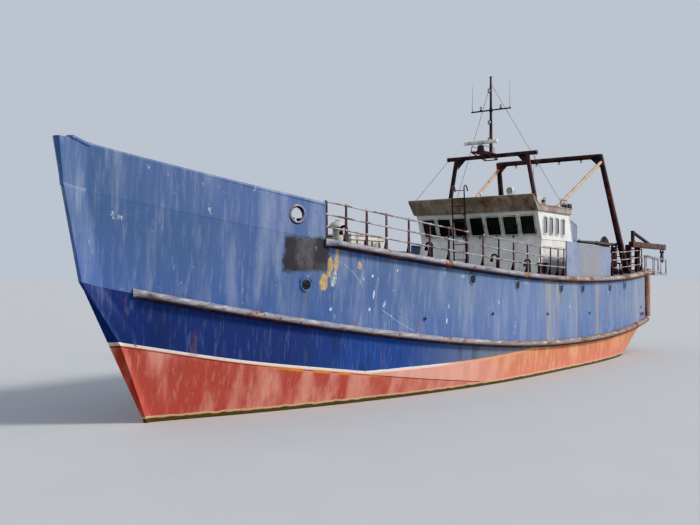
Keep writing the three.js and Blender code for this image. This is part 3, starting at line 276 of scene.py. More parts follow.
def piece(name, parts, finishes, body="ship", slot=None, stands_for=(), crease=35.0, marks=()):
    """Joins (points, faces) parts into one named piece: doubles merged, faces turned outwards, smooth but for
    edges sharper than the crease angle. finishes is one finish, or one for each part. marks are named values
    for each point. The piece rides on its body and stands for CAD nodes."""
    several = finishes if isinstance(finishes, (list, tuple)) else [finishes]
    starts = np.cumsum([0] + [len(points) for points, _ in parts])
    points = np.concatenate([points for points, _ in parts])
    faces = [[i + start for i in face] for (_, group), start in zip(parts, starts) for face in group]
    mesh = bpy.data.meshes.new(name)
    mesh.from_pydata(points.tolist(), [], faces)
    for label, values in dict(marks).items():
        mesh.attributes.new(label, "FLOAT", "POINT").data.foreach_set("value", np.ravel(values))
    used = list(dict.fromkeys(several))
    for one in used:
        mesh.materials.append(one)
    if len(several) > 1:
        index = np.repeat([used.index(one) for one in several], [len(group) for _, group in parts])
        mesh.polygons.foreach_set("material_index", index)
    work = bmesh.new()
    work.from_mesh(mesh)
    bmesh.ops.remove_doubles(work, verts=work.verts, dist=1e-5)
    bmesh.ops.dissolve_degenerate(work, edges=work.edges, dist=1e-6)
    bmesh.ops.recalc_face_normals(work, faces=work.faces)
    work.to_mesh(mesh)
    work.free()
    mesh.shade_smooth()
    mesh.set_sharp_from_angle(angle=np.radians(crease))
    made = bpy.data.objects.new(name, mesh)
    scene.collection.objects.link(made)
    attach(made, body)
    if stands_for:
        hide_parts(*stands_for)
    return made


def pair_of_pieces(name, parts, finishes, stands_for=None, **settings):
    """Makes a port piece and its mirror image to starboard, each in place of its own side's CAD node."""
    for side, own in (("port", parts), ("starboard", [mirrored(part) for part in parts])):
        nodes = [stands_for + "_" + side] if stands_for else ()
        piece(name + "_" + side, own, finishes, stands_for=nodes, **settings)


# Rust, streaks, chalk and scratches, as the sea leaves them on painted steel. They are masks that every
# painted finish on board mixes in its own share.
weather, source, result = new_group(
    "weather",
    [("Rust", "Float", 0.5), ("Streaks", "Float", 0.5), ("Scale", "Float", 1.0)],
    [("Rust", "Float"), ("Run", "Float"), ("Chalk", "Float"), ("Chips", "Float"), ("Height", "Float")],
)
where = position(weather)
spread = put(weather, "VectorMath", {0: where, "Scale": source["Scale"]}, operation="SCALE").outputs["Vector"]
clouds = noise(weather, spread, 0.9, detail=6.0, rough=0.62)
pits = noise(weather, spread, 9.0, detail=5.0, rough=0.7)
blotch = sums(weather, "MULTIPLY_ADD", clouds, 0.62, sums(weather, "MULTIPLY", pits, 0.38))
edge = sums(weather, "MULTIPLY_ADD", source["Rust"], -0.3, 0.74)
rust_mask = ramp(weather, sums(weather, "SUBTRACT", blotch, edge), -0.02, 0.05)
runs = noise(weather, spread, 2.6, stretch=(1, 1, 0.07), detail=5.0, rough=0.7)
runs_edge = sums(weather, "MULTIPLY_ADD", source["Streaks"], -0.28, 0.74)
run_mask = ramp(weather, sums(weather, "SUBTRACT", runs, runs_edge), 0.0, 0.14)
fine = noise(weather, spread, 42.0, detail=3.0, rough=0.7)
chips = ramp(weather, sums(weather, "MULTIPLY_ADD", fine, 0.55, sums(weather, "MULTIPLY", clouds, 0.45)),
             0.585, 0.61)
for label, value in (("Rust", rust_mask), ("Run", run_mask), ("Chalk", clouds), ("Chips", chips),
                     ("Height", sums(weather, "MULTIPLY_ADD", rust_mask, 0.5, pits))):
    weather.links.new(value, result.inputs[label])

# Rust itself runs from dark scale to orange powder.
rust_tone, source, result = new_group("rust_tone", [("Scale", "Float", 1.0)],
                                      [("Color", "Color"), ("Roughness", "Float")])
spread = put(rust_tone, "VectorMath", {0: position(rust_tone), "Scale": source["Scale"]},
             operation="SCALE").outputs["Vector"]
powder = noise(rust_tone, spread, 3.5, detail=7.0, rough=0.68)
dark_to_red = over(rust_tone, ramp(rust_tone, powder, 0.34, 0.52), paint_rgb(58, 38, 32),
                   paint_rgb(104, 62, 44))
rust_tone.links.new(over(rust_tone, ramp(rust_tone, powder, 0.5, 0.68), dark_to_red, paint_rgb(164, 98, 56)),
                    result.inputs["Color"])
rust_tone.links.new(ramp(rust_tone, powder, 0.3, 0.7, (0.72, 0.95)), result.inputs["Roughness"])

# Welded plates: a shallow ridge along each butt and seam, and the plate drawn in between its frames.
plating, source, result = new_group("plating", [("Butts", "Float", 6.0), ("Frames", "Float", 0.6)],
                                    [("Height", "Float"), ("Seam", "Float")])
run, side, height = axes(plating, position(plating))
butt = sums(plating, "PINGPONG", sums(plating, "ADD", run, 40.0), source["Butts"])
frames = sums(plating, "PINGPONG", sums(plating, "ADD", run, 40.0), source["Frames"])
wander = noise(plating, position(plating), 1.3, detail=2.0)
seam = ramp(plating, sums(plating, "MULTIPLY_ADD", wander, 0.01, butt), 0.006, 0.03, (1.0, 0.0))
ribs = ramp(plating, frames, 0.0, 0.22, (1.0, 0.0))
plating.links.new(seam, result.inputs["Seam"])
plating.links.new(sums(plating, "MULTIPLY_ADD", ribs, 0.35, sums(plating, "MULTIPLY_ADD", wander, 0.3, seam)),
                  result.inputs["Height"])


def tinted(tree, base, shade, chalk):
    """Old paint: its colour drifts to a paler and a darker shade with the chalk on it."""
    pale = over(tree, ramp(tree, chalk, 0.35, 0.62), base, shade)
    drift = noise(tree, position(tree), 0.35, detail=3.0)
    return over(tree, ramp(tree, drift, 0.4, 0.7, (0.0, 0.4)), pale, base)


def rusted(tree, color, masks, share=1.0, runs=0.7, scale=1.0):
    """Paint with rust bled down it in streaks, then broken through in blotches: its colour and rust mask."""
    rust = use(tree, rust_tone, Scale=scale)
    stained = over(tree, sums(tree, "MULTIPLY", masks["Run"], runs), color, paint_rgb(140, 104, 78))
    mask = sums(tree, "MULTIPLY", masks["Rust"], share)
    return over(tree, mask, stained, rust["Color"]), mask


# Topside paint of the shelter side: light blue, deep towards the bow and paler and greyer towards the stern,
# where the paler tone is a painted sheen, washed down in pale upright streaks, with a painted-out dark panel
# near the bow, ochre filler daubed beside it, white chips, tan scum where scuppers run, and brown runs from
# every rail post.
topside, tree, finish = material("topside_paint")
where = position(tree)
run, side, height = axes(tree, where)
masks = use(tree, weather, Rust=0.28, Streaks=0.3, Scale=1.0)
plates = use(tree, plating, Butts=3.1, Frames=0.3)
deep = over(tree, ramp(tree, run, -1.0, 9.5), paint_rgb(109, 129, 162), paint_rgb(78, 101, 142))
# Paler grey-blue over the after half: a painted sheen on the side.
blue = over(tree, ramp(tree, run, -13.0, -2.0), paint_rgb(115, 132, 159), deep)
cloudy = noise(tree, where, 0.45, stretch=(1, 1, 0.7), detail=4.0)
blue = over(tree, ramp(tree, cloudy, 0.42, 0.66, (0.0, 0.45)), blue, paint_rgb(84, 104, 156))
ahead = sums(tree, "MAXIMUM", sums(tree, "ADD", run, 8.0), 0.0)
strake_height = sums(tree, "MULTIPLY_ADD", sums(tree, "MULTIPLY", ahead, ahead), 0.0041, 1.08)
low_side = sums(tree, "SUBTRACT", height, strake_height)
blue = over(tree, ramp(tree, low_side, 1.5, 0.1, (0.0, 0.5)), blue, paint_rgb(76, 102, 160))
broad = noise(tree, where, 1.9, stretch=(1, 1, 0.14), detail=5.0, rough=0.6)
blue = over(tree, ramp(tree, broad, 0.45, 0.72, (0.0, 0.5)), blue, paint_rgb(146, 158, 182))
thin = noise(tree, where, 9.0, stretch=(1, 1, 0.08), detail=5.0, rough=0.65)
blue = over(tree, ramp(tree, thin, 0.5, 0.74, (0.0, 0.32)), blue, paint_rgb(166, 172, 186))
mottled = noise(tree, where, 7.0, stretch=(1, 1, 0.7), detail=5.0, rough=0.7)
blue = over(tree, ramp(tree, mottled, 0.53, 0.7, (0.0, 0.3)), blue, paint_rgb(70, 88, 134))


def inside(tree, value, low, high, soft):
    """1 between two limits and 0 outside them, with edges as soft as given."""
    rise = ramp(tree, value, low - soft, low + soft)
    return sums(tree, "MULTIPLY", rise, ramp(tree, value, high - soft, high + soft, (1.0, 0.0)))


PANEL_RUN = (8.94, 10.3)
PANEL_HEIGHT = (3.82, 4.72)
ragged = sums(tree, "MULTIPLY_ADD", noise(tree, where, 4.0, detail=6.0, rough=0.7), 0.4, run)
uneven = sums(tree, "MULTIPLY_ADD", noise(tree, where, 5.0, detail=6.0, rough=0.7), 0.3, height)
panel = sums(tree, "MULTIPLY", inside(tree, ragged, PANEL_RUN[0], PANEL_RUN[1], 0.05),
             inside(tree, uneven, PANEL_HEIGHT[0], PANEL_HEIGHT[1], 0.06))
faded = noise(tree, where, 2.0, stretch=(1, 1, 0.4), detail=5.0)
panel_tone = over(tree, ramp(tree, faded, 0.4, 0.62), paint_rgb(58, 53, 50), paint_rgb(96, 91, 88))
panel_tone = over(tree, ramp(tree, mottled, 0.52, 0.62, (0.0, 0.4)), panel_tone, paint_rgb(46, 44, 40))
blue = over(tree, sums(tree, "MULTIPLY", panel, 0.93), blue, panel_tone)


def daub(tree, where, place, size, wobble):
    """1 inside a ragged upright oval round a place on the side, 0 outside it."""
    x, _, z = axes(tree, where)
    away = [sums(tree, "MULTIPLY", sums(tree, "SUBTRACT", value, middle), 1 / reach)
            for value, middle, reach in ((x, place[0], size[0]), (z, place[1], size[1]))]
    square = sums(tree, "MULTIPLY_ADD", away[0], away[0], sums(tree, "MULTIPLY", away[1], away[1]))
    return ramp(tree, sums(tree, "MULTIPLY_ADD", wobble, 4.2, square), 2.95, 3.1, (1.0, 0.0))


wobble = noise(tree, where, 6.5, stretch=(1, 1, 0.5), detail=6.0, rough=0.75)
scuffs = noise(tree, where, 5.5, stretch=(1, 1, 0.5), detail=6.0, rough=0.72)
broken = ramp(tree, noise(tree, where, 15.0, stretch=(1, 1, 0.5), detail=5.0, rough=0.75), 0.42, 0.56)
filler = over(tree, broken, paint_rgb(214, 170, 88), paint_rgb(176, 158, 116))
pale_filler = over(tree, broken, paint_rgb(190, 196, 196), paint_rgb(128, 150, 152))
for place, size, shade in (((8.69, 3.78), (0.09, 0.3), filler), ((8.5, 3.96), (0.07, 0.33), filler),
                           ((8.85, 3.38), (0.13, 0.25), filler), ((8.56, 3.5), (0.1, 0.22), pale_filler),
                           ((7.72, 3.84), (0.08, 0.1), filler), ((7.56, 3.46), (0.05, 0.06), pale_filler)):
    patch = sums(tree, "MULTIPLY", daub(tree, where, place, size, wobble),
                 ramp(tree, broken, 0, 1, (1.0, 0.7)))
    blue = over(tree, patch, blue, shade)
chip_white = paint_rgb(196, 201, 212)
for place, size in (((7.15, 3.04), (0.035, 0.14)), ((7.27, 2.62), (0.04, 0.05)),
                    ((8.58, 2.66), (0.035, 0.05)), ((7.24, 3.55), (0.04, 0.05)),
                    ((6.32, 3.71), (0.03, 0.05)), ((4.1, 2.2), (0.03, 0.08)), ((1.3, 2.7), (0.03, 0.06)),
                    ((-4.6, 2.4), (0.03, 0.06)), ((-8.8, 2.9), (0.025, 0.05))):
    blue = over(tree, daub(tree, where, place, size, wobble), blue, chip_white)


def scraped(tree, where, start, end, bow, width):
    """1 on a scrape from one place on the side to another: off = distance to their line + bow u (1 - u)."""
    x, _, z = axes(tree, where)
    long, rise = end[0] - start[0], end[1] - start[1]
    far = (long * long + rise * rise) ** 0.5
    dx, dz = sums(tree, "SUBTRACT", x, start[0]), sums(tree, "SUBTRACT", z, start[1])
    share = sums(tree, "MULTIPLY_ADD", dx, long / far ** 2, sums(tree, "MULTIPLY", dz, rise / far ** 2))
    off = sums(tree, "MULTIPLY_ADD", dx, -rise / far, sums(tree, "MULTIPLY", dz, long / far))
    bent = sums(tree, "MULTIPLY", sums(tree, "MULTIPLY", share, sums(tree, "SUBTRACT", 1.0, share)), bow)
    near = ramp(tree, sums(tree, "ABSOLUTE", sums(tree, "ADD", off, bent)), 0.0, width, (1.0, 0.0))
    return sums(tree, "MULTIPLY", near, inside(tree, share, 0.0, 1.0, 0.04))


for start, end, bow in (((8.4, 3.95), (7.5, 3.2), 0.3), ((6.8, 2.6), (5.3, 1.88), -0.2)):
    scrape = sums(tree, "MULTIPLY", scraped(tree, where, start, end, bow, 0.018), ramp(tree, thin, 0.4, 0.5))
    blue = over(tree, sums(tree, "MULTIPLY", scrape, 0.5), blue, chip_white)
clusters = noise(tree, where, 0.8, detail=3.0)
chipped = ramp(tree, sums(tree, "MULTIPLY_ADD", clusters, 0.35, scuffs), 0.835, 0.855)
blue = over(tree, sums(tree, "MULTIPLY", chipped, 0.7), blue, chip_white)
scum = put(tree, "Attribute", attribute_name="scum").outputs["Fac"]
grit = noise(tree, where, 5.0, stretch=(1, 1, 0.1), detail=6.0, rough=0.7)
trickles = ramp(tree, noise(tree, where, 13.0, stretch=(1, 1, 0.025), detail=4.0, rough=0.6), 0.4, 0.58)
trickles = sums(tree, "MULTIPLY_ADD", trickles, 0.7, 0.3)
washed = sums(tree, "MULTIPLY", sums(tree, "MULTIPLY", scum, trickles),
              sums(tree, "MULTIPLY_ADD", grit, 1.6, 0.1))
blue = over(tree, ramp(tree, washed, 0.1, 0.8, (0.0, 0.8)), blue, paint_rgb(156, 150, 140))
stain = put(tree, "Attribute", attribute_name="stain").outputs["Fac"]
bled = ramp(tree, sums(tree, "MULTIPLY", stain, sums(tree, "MULTIPLY_ADD", grit, 1.6, -0.1)), 0.12, 0.8)
blue = over(tree, sums(tree, "MULTIPLY", bled, 0.6), blue, paint_rgb(116, 102, 90))
corner = sums(tree, "MULTIPLY", ramp(tree, run, -15.0, -15.25),
              ramp(tree, sums(tree, "ABSOLUTE", side), 2.4, 2.9))
corner = sums(tree, "MULTIPLY", corner, ramp(tree, grit, 0.3, 0.5))
blue = over(tree, sums(tree, "MULTIPLY", corner, 0.85), blue, paint_rgb(128, 88, 70))
shown, mask = rusted(tree, blue, masks, share=0.85, runs=0.35)
finish(shown, ramp(tree, mask, 0.0, 1.0, (0.5, 0.85)),
       sums(tree, "MULTIPLY_ADD", plates["Height"], 0.6, sums(tree, "MULTIPLY", masks["Height"], 0.25)),
       strength=0.5, distance=0.012)

# Bottom paint: blue over a boot line over red lead, orange and streaked aft and pinker low down, with rust in
# the chine, a dark painted shadow line just under the chine, and a pale scum line over green weed at the
# water.
# The boot line is white and lies just over the chine forward, and turns to rust amidships as it bends up to
# meet the strake aft.
BOOT_LINE = 0.89
bottom, tree, finish = material("bottom_paint")
where = position(tree)
run, side, height = axes(tree, where)
masks = use(tree, weather, Rust=0.3, Streaks=0.5, Scale=1.1)
plates = use(tree, plating, Butts=3.1, Frames=0.3)
aft = ramp(tree, run, 5.0, -2.5)
broad = noise(tree, where, 1.6, stretch=(1, 1, 0.22), detail=5.0)
thin = noise(tree, where, 10.0, stretch=(1, 1, 0.08), detail=6.0, rough=0.7)
lead = over(tree, ramp(tree, run, 8.0, 3.5), paint_rgb(178, 82, 72), paint_rgb(198, 112, 98))
red = over(tree, ramp(tree, broad, 0.4, 0.64), lead, paint_rgb(212, 140, 124))
orange = over(tree, ramp(tree, broad, 0.42, 0.62), paint_rgb(204, 122, 90), paint_rgb(220, 156, 114))
orange = over(tree, ramp(tree, height, 0.65, 0.25, (0.0, 0.6)), orange, paint_rgb(214, 120, 108))
red = over(tree, aft, red, orange)
pale = sums(tree, "MULTIPLY", ramp(tree, thin, 0.53, 0.68), sums(tree, "MULTIPLY_ADD", aft, 0.55, 0.22))
red = over(tree, pale, red, paint_rgb(226, 194, 152))
blue = over(tree, ramp(tree, run, 7.0, 10.0), paint_rgb(42, 70, 136), paint_rgb(40, 54, 106))
blue = over(tree, ramp(tree, run, 1.5, 6.5), paint_rgb(106, 120, 142), blue)
blue = over(tree, ramp(tree, thin, 0.5, 0.68, (0.0, 0.4)), blue, paint_rgb(100, 118, 152))
blue = over(tree, ramp(tree, broad, 0.52, 0.64, (0.0, 0.5)), blue, paint_rgb(40, 50, 84))
olive = ramp(tree, broad, 0.42, 0.56, (0.0, 0.7))
blue = over(tree, sums(tree, "MULTIPLY", olive, ramp(tree, run, 3.5, 0.0)), blue, paint_rgb(138, 134, 122))
bent = sums(tree, "SUBTRACT", 5.0, run)
sag = sums(tree, "MULTIPLY", sums(tree, "MULTIPLY", bent, bent), sums(tree, "MULTIPLY",
                                                                     ramp(tree, bent, -0.1, 0.1), 0.004))
line_height = sums(tree, "SUBTRACT", sums(tree, "MULTIPLY_ADD", noise(tree, where, 3.0), 0.03, height), sag)
from_chine = put(tree, "Attribute", attribute_name="over_chine").outputs["Fac"]
over_line = sums(tree, "MINIMUM", sums(tree, "SUBTRACT", line_height, BOOT_LINE),
                 sums(tree, "SUBTRACT", from_chine, 0.08))
painted = over(tree, ramp(tree, over_line, 0.0, 0.012), red, blue)
white = inside(tree, over_line, -0.06, 0.02, 0.008)
worn_white = sums(tree, "MULTIPLY", white, ramp(tree, thin, 0.68, 0.56))
painted = over(tree, sums(tree, "MULTIPLY", worn_white, 0.95), painted,
               over(tree, ramp(tree, run, 4.6, 3.0), paint_rgb(232, 232, 230), paint_rgb(222, 156, 106)))
ragged = sums(tree, "MULTIPLY_ADD", noise(tree, where, 5.0, detail=5.0), 0.05, from_chine)
# A thin dark band just under the chine's knuckle: painted shadow.
chine_painted_shadow = inside(tree, from_chine, -0.022, 0.006, 0.006)
seam_pale = inside(tree, from_chine, 0.01, 0.035, 0.008)
washed = sums(tree, "MULTIPLY", ramp(tree, from_chine, 0.0, 0.05), ramp(tree, run, -1.0, 4.0, (0.0, 0.5)))
painted = over(tree, sums(tree, "MULTIPLY", washed, ramp(tree, over_line, 0.01, -0.02)), painted,
               paint_rgb(232, 184, 166))
painted = over(tree, sums(tree, "MULTIPLY", seam_pale, 0.6), painted, paint_rgb(220, 178, 150))
painted = over(tree, sums(tree, "MULTIPLY", chine_painted_shadow, 0.75), painted, paint_rgb(74, 42, 38))
ochre = sums(tree, "MULTIPLY", inside(tree, ragged, -0.03, 0.045, 0.012),
             sums(tree, "MULTIPLY", inside(tree, run, 6.9, 10.3, 0.8), ramp(tree, broad, 0.62, 0.46)))
painted = over(tree, sums(tree, "MULTIPLY", ochre, 0.9), painted, paint_rgb(206, 142, 62))
weed_edge = sums(tree, "MULTIPLY_ADD", noise(tree, where, 3.4, stretch=(1, 1, 0.5), detail=5.0), 0.1, height)
scum = inside(tree, weed_edge, 0.15, 0.2, 0.012)
painted = over(tree, sums(tree, "MULTIPLY", scum, 0.75), painted, paint_rgb(206, 184, 140))
painted = over(tree, ramp(tree, weed_edge, 0.13, 0.16, (0.95, 0.0)), painted, paint_rgb(66, 68, 38))
shown, mask = rusted(tree, painted, masks, share=0.75, runs=0.45)
finish(shown, ramp(tree, mask, 0.0, 1.0, (0.55, 0.9)),
       sums(tree, "MULTIPLY_ADD", plates["Height"], 0.5, sums(tree, "MULTIPLY", masks["Height"], 0.35)),
       strength=0.6, distance=0.012)

# Deck paint: dull green-grey non-slip paint brushed over the plates, trodden pale along the middle, with
# rust at the edges and round the fittings.
deck_paint, tree, finish = material("deck_paint")
masks = use(tree, weather, Rust=0.55, Streaks=0.2, Scale=1.3)
worn = tinted(tree, paint_rgb(88, 98, 92), paint_rgb(124, 128, 118), masks["Chalk"])
shown, mask = rusted(tree, worn, masks, share=0.8, runs=0.2)
scuff = over(tree, sums(tree, "MULTIPLY", masks["Chips"], 0.5), shown, paint_rgb(150, 146, 134))
plates = use(tree, plating, Butts=2.4, Frames=0.6)
scuff = over(tree, sums(tree, "MULTIPLY", plates["Seam"], 0.5), scuff, paint_rgb(104, 86, 70))
finish(scuff, ramp(tree, mask, 0.0, 1.0, (0.7, 0.92)),
       sums(tree, "MULTIPLY_ADD", plates["Height"], 0.6, sums(tree, "MULTIPLY", masks["Height"], 0.4)),
       strength=0.5, distance=0.008)

# Loft rows: close together round the transom's corner, then even to the stem.
CORNER_ROWS = 26
LONG_ROWS = 460
CORNER_SHARE = 0.018
shares = np.concatenate([CORNER_SHARE * np.linspace(0, 1, CORNER_ROWS, endpoint=False) ** 2,
                         np.linspace(CORNER_SHARE, 1, LONG_ROWS)])


def round_bilge(chine, bilge, centre, steps):
    """The section from chine to keel: flat plates that meet in a rolled bilge, a parabola that starts a fifth
    of the way up from the bilge and ends a fifth of the way in from it."""
    t = np.linspace(0, 1, steps)[None, :, None]
    a, b, c = (line[:, None] for line in (chine, bilge, centre))
    start, end = b + (a - b) * 0.2, b + (c - b) * 0.2
    rolled = start * (1 - t) ** 2 + 2 * b * t * (1 - t) + end * t**2
    return np.concatenate([between(chine, start[:, 0], 6)[:, :-1], rolled,
                           between(end[:, 0], centre, 6)[:, 1:]], 1)


def both_sides(port):
    """A ring of the whole hull from its port half, whose last point is on the centreline."""
    return np.concatenate([port, (port * (1, -1, 1))[:, -2::-1]], 1)


lines = {name: long_line(name, shares) for name in PLAN}
upper = between(lines["strake"], lines["chine"], 16)
lower = round_bilge(lines["chine"], lines["bilge"], lines["centre"], 8)
rings = both_sides(np.concatenate([upper, lower[:, 1:]], 1))
over_chine = rings[..., 2] - lines["chine"][:, None, 2]
piece("hull_bottom_plating", [loft(rings)], bottom, slot="bottom_paint", stands_for=["hull_bottom"],
      crease=28, marks={"over_chine": over_chine})


# Shelter side and deck. Plates between the main deck and the shelter deck, drawn in a little between their
# frames, with brown runs under each rail post and scupper; the deck over them has a slight camber.
DECK_CAMBER = 0.12
RAIL_POSTS = (24.25, 23.6, 22.88, 22.15, 21.26, 20.35, 19.46, 18.5, 17.6, 16.6, 15.5, 14.4, 13.3, 12.4,
              11.7, 11.15, 10.1, 8.6, 7.1, 5.7, 4.3, 1.5, 0.5)
SCUPPERS = (3.2, 6.9, 12.2, 17.5, 20.9, 23.3)
PORTHOLES = ((24.9, 3.32), (18.4, 3.46), (15.5, 3.26), (11.75, 3.1), (9.6, 3.07), (6.5, 3.07), (4.4, 3.14))
SCUM_RUNS = ((12.85, 0.3), (12.05, 0.26), (8.05, 0.3), (10.3, 0.2), (2.3, 0.25), (0.8, 0.3))
PLATE_DENT = 0.006
FRAME_SPACING = 0.6


def run_marks(runs, heights, sources):
    """Rust runs: under each source a band that narrows and fades as it goes down."""
    marks = np.zeros(runs.shape)
    for run, top, width, fall in sources:
        below = np.clip((top - heights) / fall, 0, 1)
        across = np.exp(-((runs - run) / (width * (1.15 - 0.5 * below))) ** 2)
        marks = np.maximum(marks, across * (1 - below) ** 0.6 * (heights < top + 0.02))
    return marks


sides = between(lines["strake"], lines["rail"], 22)
runs = sides[..., 0] + MIDSHIP
share_up = np.linspace(0, 1, 22)[None]
dent = PLATE_DENT * np.sin(np.pi * runs / FRAME_SPACING) ** 2 * np.sin(np.pi * share_up * 3) ** 2
sides[..., 1] -= dent * np.clip(sides[..., 1], 0, 1)
sources = [(run, float(sheer("rail", run)) - 0.2, 0.05 + 0.05 * np.sin(run * 7) ** 2,
            0.7 + 0.9 * np.sin(run * 3.7) ** 2) for run in RAIL_POSTS]
sources += [(run, z - 0.12, 0.08, 1.1) for run, z in PORTHOLES]
sources += [(run, 2.3, 0.1, 1.2) for run in SCUPPERS]
stains = run_marks(runs, sides[..., 2], sources)
scum = run_marks(runs, sides[..., 2], [(run, 3.6, width, 9.0) for run, width in SCUM_RUNS])
crown = lines["rail"] * (1, 0, 1) + (0, 0, DECK_CAMBER)
deck = between(lines["rail"], crown, 8)
deck[:, -1, 2] -= 0.006
rings = both_sides(np.concatenate([sides, deck[:, 1:]], 1))
marks = {}
for label, values in (("stain", stains), ("scum", scum)):
    port = np.concatenate([values, np.zeros((len(shares), 7))], 1)
    marks[label] = np.concatenate([port, port[:, -2::-1]], 1)
points, faces = loft(rings)
shell = piece("shelter_side_and_deck", [(points, faces)], topside, slot="topside_paint",
              stands_for=["shelter_deck_hull"], crease=40, marks=marks)
shell.data.materials.append(deck_paint)
normals = np.zeros(len(shell.data.polygons) * 3)
shell.data.polygons.foreach_get("normal", normals)
shell.data.polygons.foreach_set("material_index", (normals[2::3] > 0.7).astype(int))


# Rubbing strakes. Half-round steel bars welded along the main-deck edge and the shelter-deck edge, carried
# round the transom; rubbed bare by quays on the bulge, pale worn patches on top brightened as a painted
# highlight, painted shade underneath, and rust. An upright pipe guards each corner of the transom between
# them.
BELT_HEIGHT = 0.23
BELT_ROOT = 0.05
UPPER_BELT_END = 0.787
LOWER_BELT_END = 0.96
BELT_TAPER = 0.012

belting_paint, tree, finish = material("belting_paint")
where = position(tree)
aft = ramp(tree, axes(tree, where)[0], 1.0, -6.0)
masks = use(tree, weather, Rust=sums(tree, "MULTIPLY_ADD", aft, 0.16, 0.62), Streaks=0.5, Scale=1.7)
facing = axes(tree, put(tree, "NewGeometry").outputs["Normal"])[2]
grey = tinted(tree, paint_rgb(120, 124, 142), paint_rgb(158, 154, 158), masks["Chalk"])
grey = over(tree, sums(tree, "MULTIPLY", aft, 0.65), grey, paint_rgb(168, 146, 134))
along, _, height = axes(tree, where)
grey = over(tree, sums(tree, "MULTIPLY", ramp(tree, height, 2.6, 2.2, (0.0, 0.6)),
                       ramp(tree, along, 5.0, 1.0)), grey, paint_rgb(132, 108, 98))
# Faces turned down go near black: painted shade under the bar.
under = over(tree, ramp(tree, facing, -0.55, 0.15), paint_rgb(58, 50, 52), grey)
worn = noise(tree, where, 5.0, stretch=(0.35, 1, 2.2), detail=6.0, rough=0.75)
# Pale worn patches only on faces turned up: wear brightened into a painted highlight on top.
under = over(tree, sums(tree, "MULTIPLY", ramp(tree, worn, 0.5, 0.62), ramp(tree, facing, -0.2, 0.3)), under,
             paint_rgb(188, 178, 174))
under = over(tree, ramp(tree, worn, 0.46, 0.36, (0.0, 0.55)), under, paint_rgb(104, 86, 84))
rubs = noise(tree, where, 2.2, stretch=(0.25, 1, 3.0), detail=6.0, rough=0.7)
bare = sums(tree, "MULTIPLY", ramp(tree, rubs, 0.54, 0.62), ramp(tree, facing, 0.75, 0.3))
under = over(tree, sums(tree, "MULTIPLY", bare, 0.8), under, paint_rgb(96, 84, 80))
shown, mask = rusted(tree, under, masks, share=0.9, runs=0.3)
finish(shown, ramp(tree, bare, 0.0, 1.0, (0.72, 0.45)), masks["Height"], strength=0.5, distance=0.01,
       metal=sums(tree, "MULTIPLY", bare, 0.5))

guard_paint, tree, finish = material("corner_guard_paint")
where = position(tree)
masks = use(tree, weather, Rust=0.8, Streaks=0.8, Scale=1.5)
tan = tinted(tree, paint_rgb(146, 120, 110), paint_rgb(180, 152, 136), masks["Chalk"])
trickled = noise(tree, where, 9.0, stretch=(1, 1, 0.12), detail=5.0, rough=0.7)
tan = over(tree, ramp(tree, trickled, 0.48, 0.62, (0.0, 0.7)), tan, paint_rgb(104, 78, 72))
shown, mask = rusted(tree, tan, masks, share=0.45, runs=0.6)
finish(shown, ramp(tree, mask, 0.0, 1.0, (0.6, 0.9)), masks["Height"], strength=0.5, distance=0.008)


def outward(path):
    """Level direction square to a path that runs forward on the port side: (-dy, dx) of its direction."""
    along = np.gradient(path, axis=0)
    across = np.stack([-along[:, 1], along[:, 0], np.zeros(len(path))], -1)
    return across / np.linalg.norm(across, axis=1)[:, None]


def carried(section, path, out, up=(0, 0, 1.0), size=1.0):
    """A section carried along a path: each point is path + x out + y up, x and y taken from the section."""
    section = np.asarray(section, float)
    out = np.broadcast_to(out, path.shape)
    up = np.broadcast_to(up, path.shape)
    size = np.broadcast_to(size, len(path))[:, None, None]
    return loft(path[:, None] + section[None, :, :1] * size * out[:, None] + section[None, :, 1:]
                * up[:, None])


bulge = np.radians(np.linspace(-90, 90, 15))
belt_section = np.stack([BELT_DEPTH * np.cos(bulge) ** 0.6,
                         BELT_HEIGHT / 2 * np.sign(bulge) * np.abs(np.sin(bulge)) ** 0.85], -1)
belt_section = np.concatenate([[(-BELT_ROOT, -BELT_HEIGHT / 2)], belt_section,
                               [(-BELT_ROOT, BELT_HEIGHT / 2)]])


def belting(line, last, middle):
    """The strake's D section carried from the middle of the transom round its corner and forward."""
    some = np.append(shares[shares < last], last)
    path = long_line(line, some)
    across = np.linspace(0, 1, 12, endpoint=False)[:, None] * (path[0] * (0, 1, 0))
    path = np.concatenate([path[0] * (1, 0, 1) + across, path]) + (0, 0, middle)
    thin = np.clip((last - np.concatenate([np.zeros(12), some])) / BELT_TAPER, 0.25, 1)
    return carried(belt_section, path, outward(path), size=thin)


for name, line, last, middle in (("lower_belting", "strake", LOWER_BELT_END, 0.0),
                                 ("upper_belting", "rail", UPPER_BELT_END, -BELT_HEIGHT / 2)):
    port = belting(line, last, middle)
    for side, part in (("port", port), ("starboard", mirrored(port))):
        piece(name + "_bar_" + side, [part], belting_paint, slot="belting_paint",
              stands_for=[name + "_" + side], crease=50)

CORNER_GUARD_RADIUS = 0.18
CORNER_GUARD_SUNK = 0.022
guard_out = (TRANSOM_CORNER + CORNER_GUARD_RADIUS - CORNER_GUARD_SUNK) * np.sqrt(0.5)
corner_run = TRANSOM_CORNER * (1 - np.sqrt(0.5))
guard_y = (float(half_breadth("rail", np.array(corner_run), BELT_DEPTH)) - TRANSOM_CORNER * np.sqrt(0.5)
           + guard_out)
guard_ends = [np.array([TRANSOM_CORNER - guard_out - MIDSHIP, guard_y,
                        float(sheer(line, np.array(0.0))) + rise]) for line,
              rise in (("strake", 0.09), ("rail", -0.14))]
turns = np.radians(np.linspace(0, 360, 24, endpoint=False))
round_bar = CORNER_GUARD_RADIUS * np.stack([np.cos(turns), np.sin(turns)], -1)
guard_path = guard_ends[0] + (guard_ends[1] - guard_ends[0]) * np.linspace(0, 1, 12)[:, None]
guard = carried(round_bar, guard_path, (0, 1.0, 0), (-1.0, 0, 0))
piece("transom_corner_guards", [guard, mirrored(guard)], guard_paint, slot="belting_paint", crease=50)


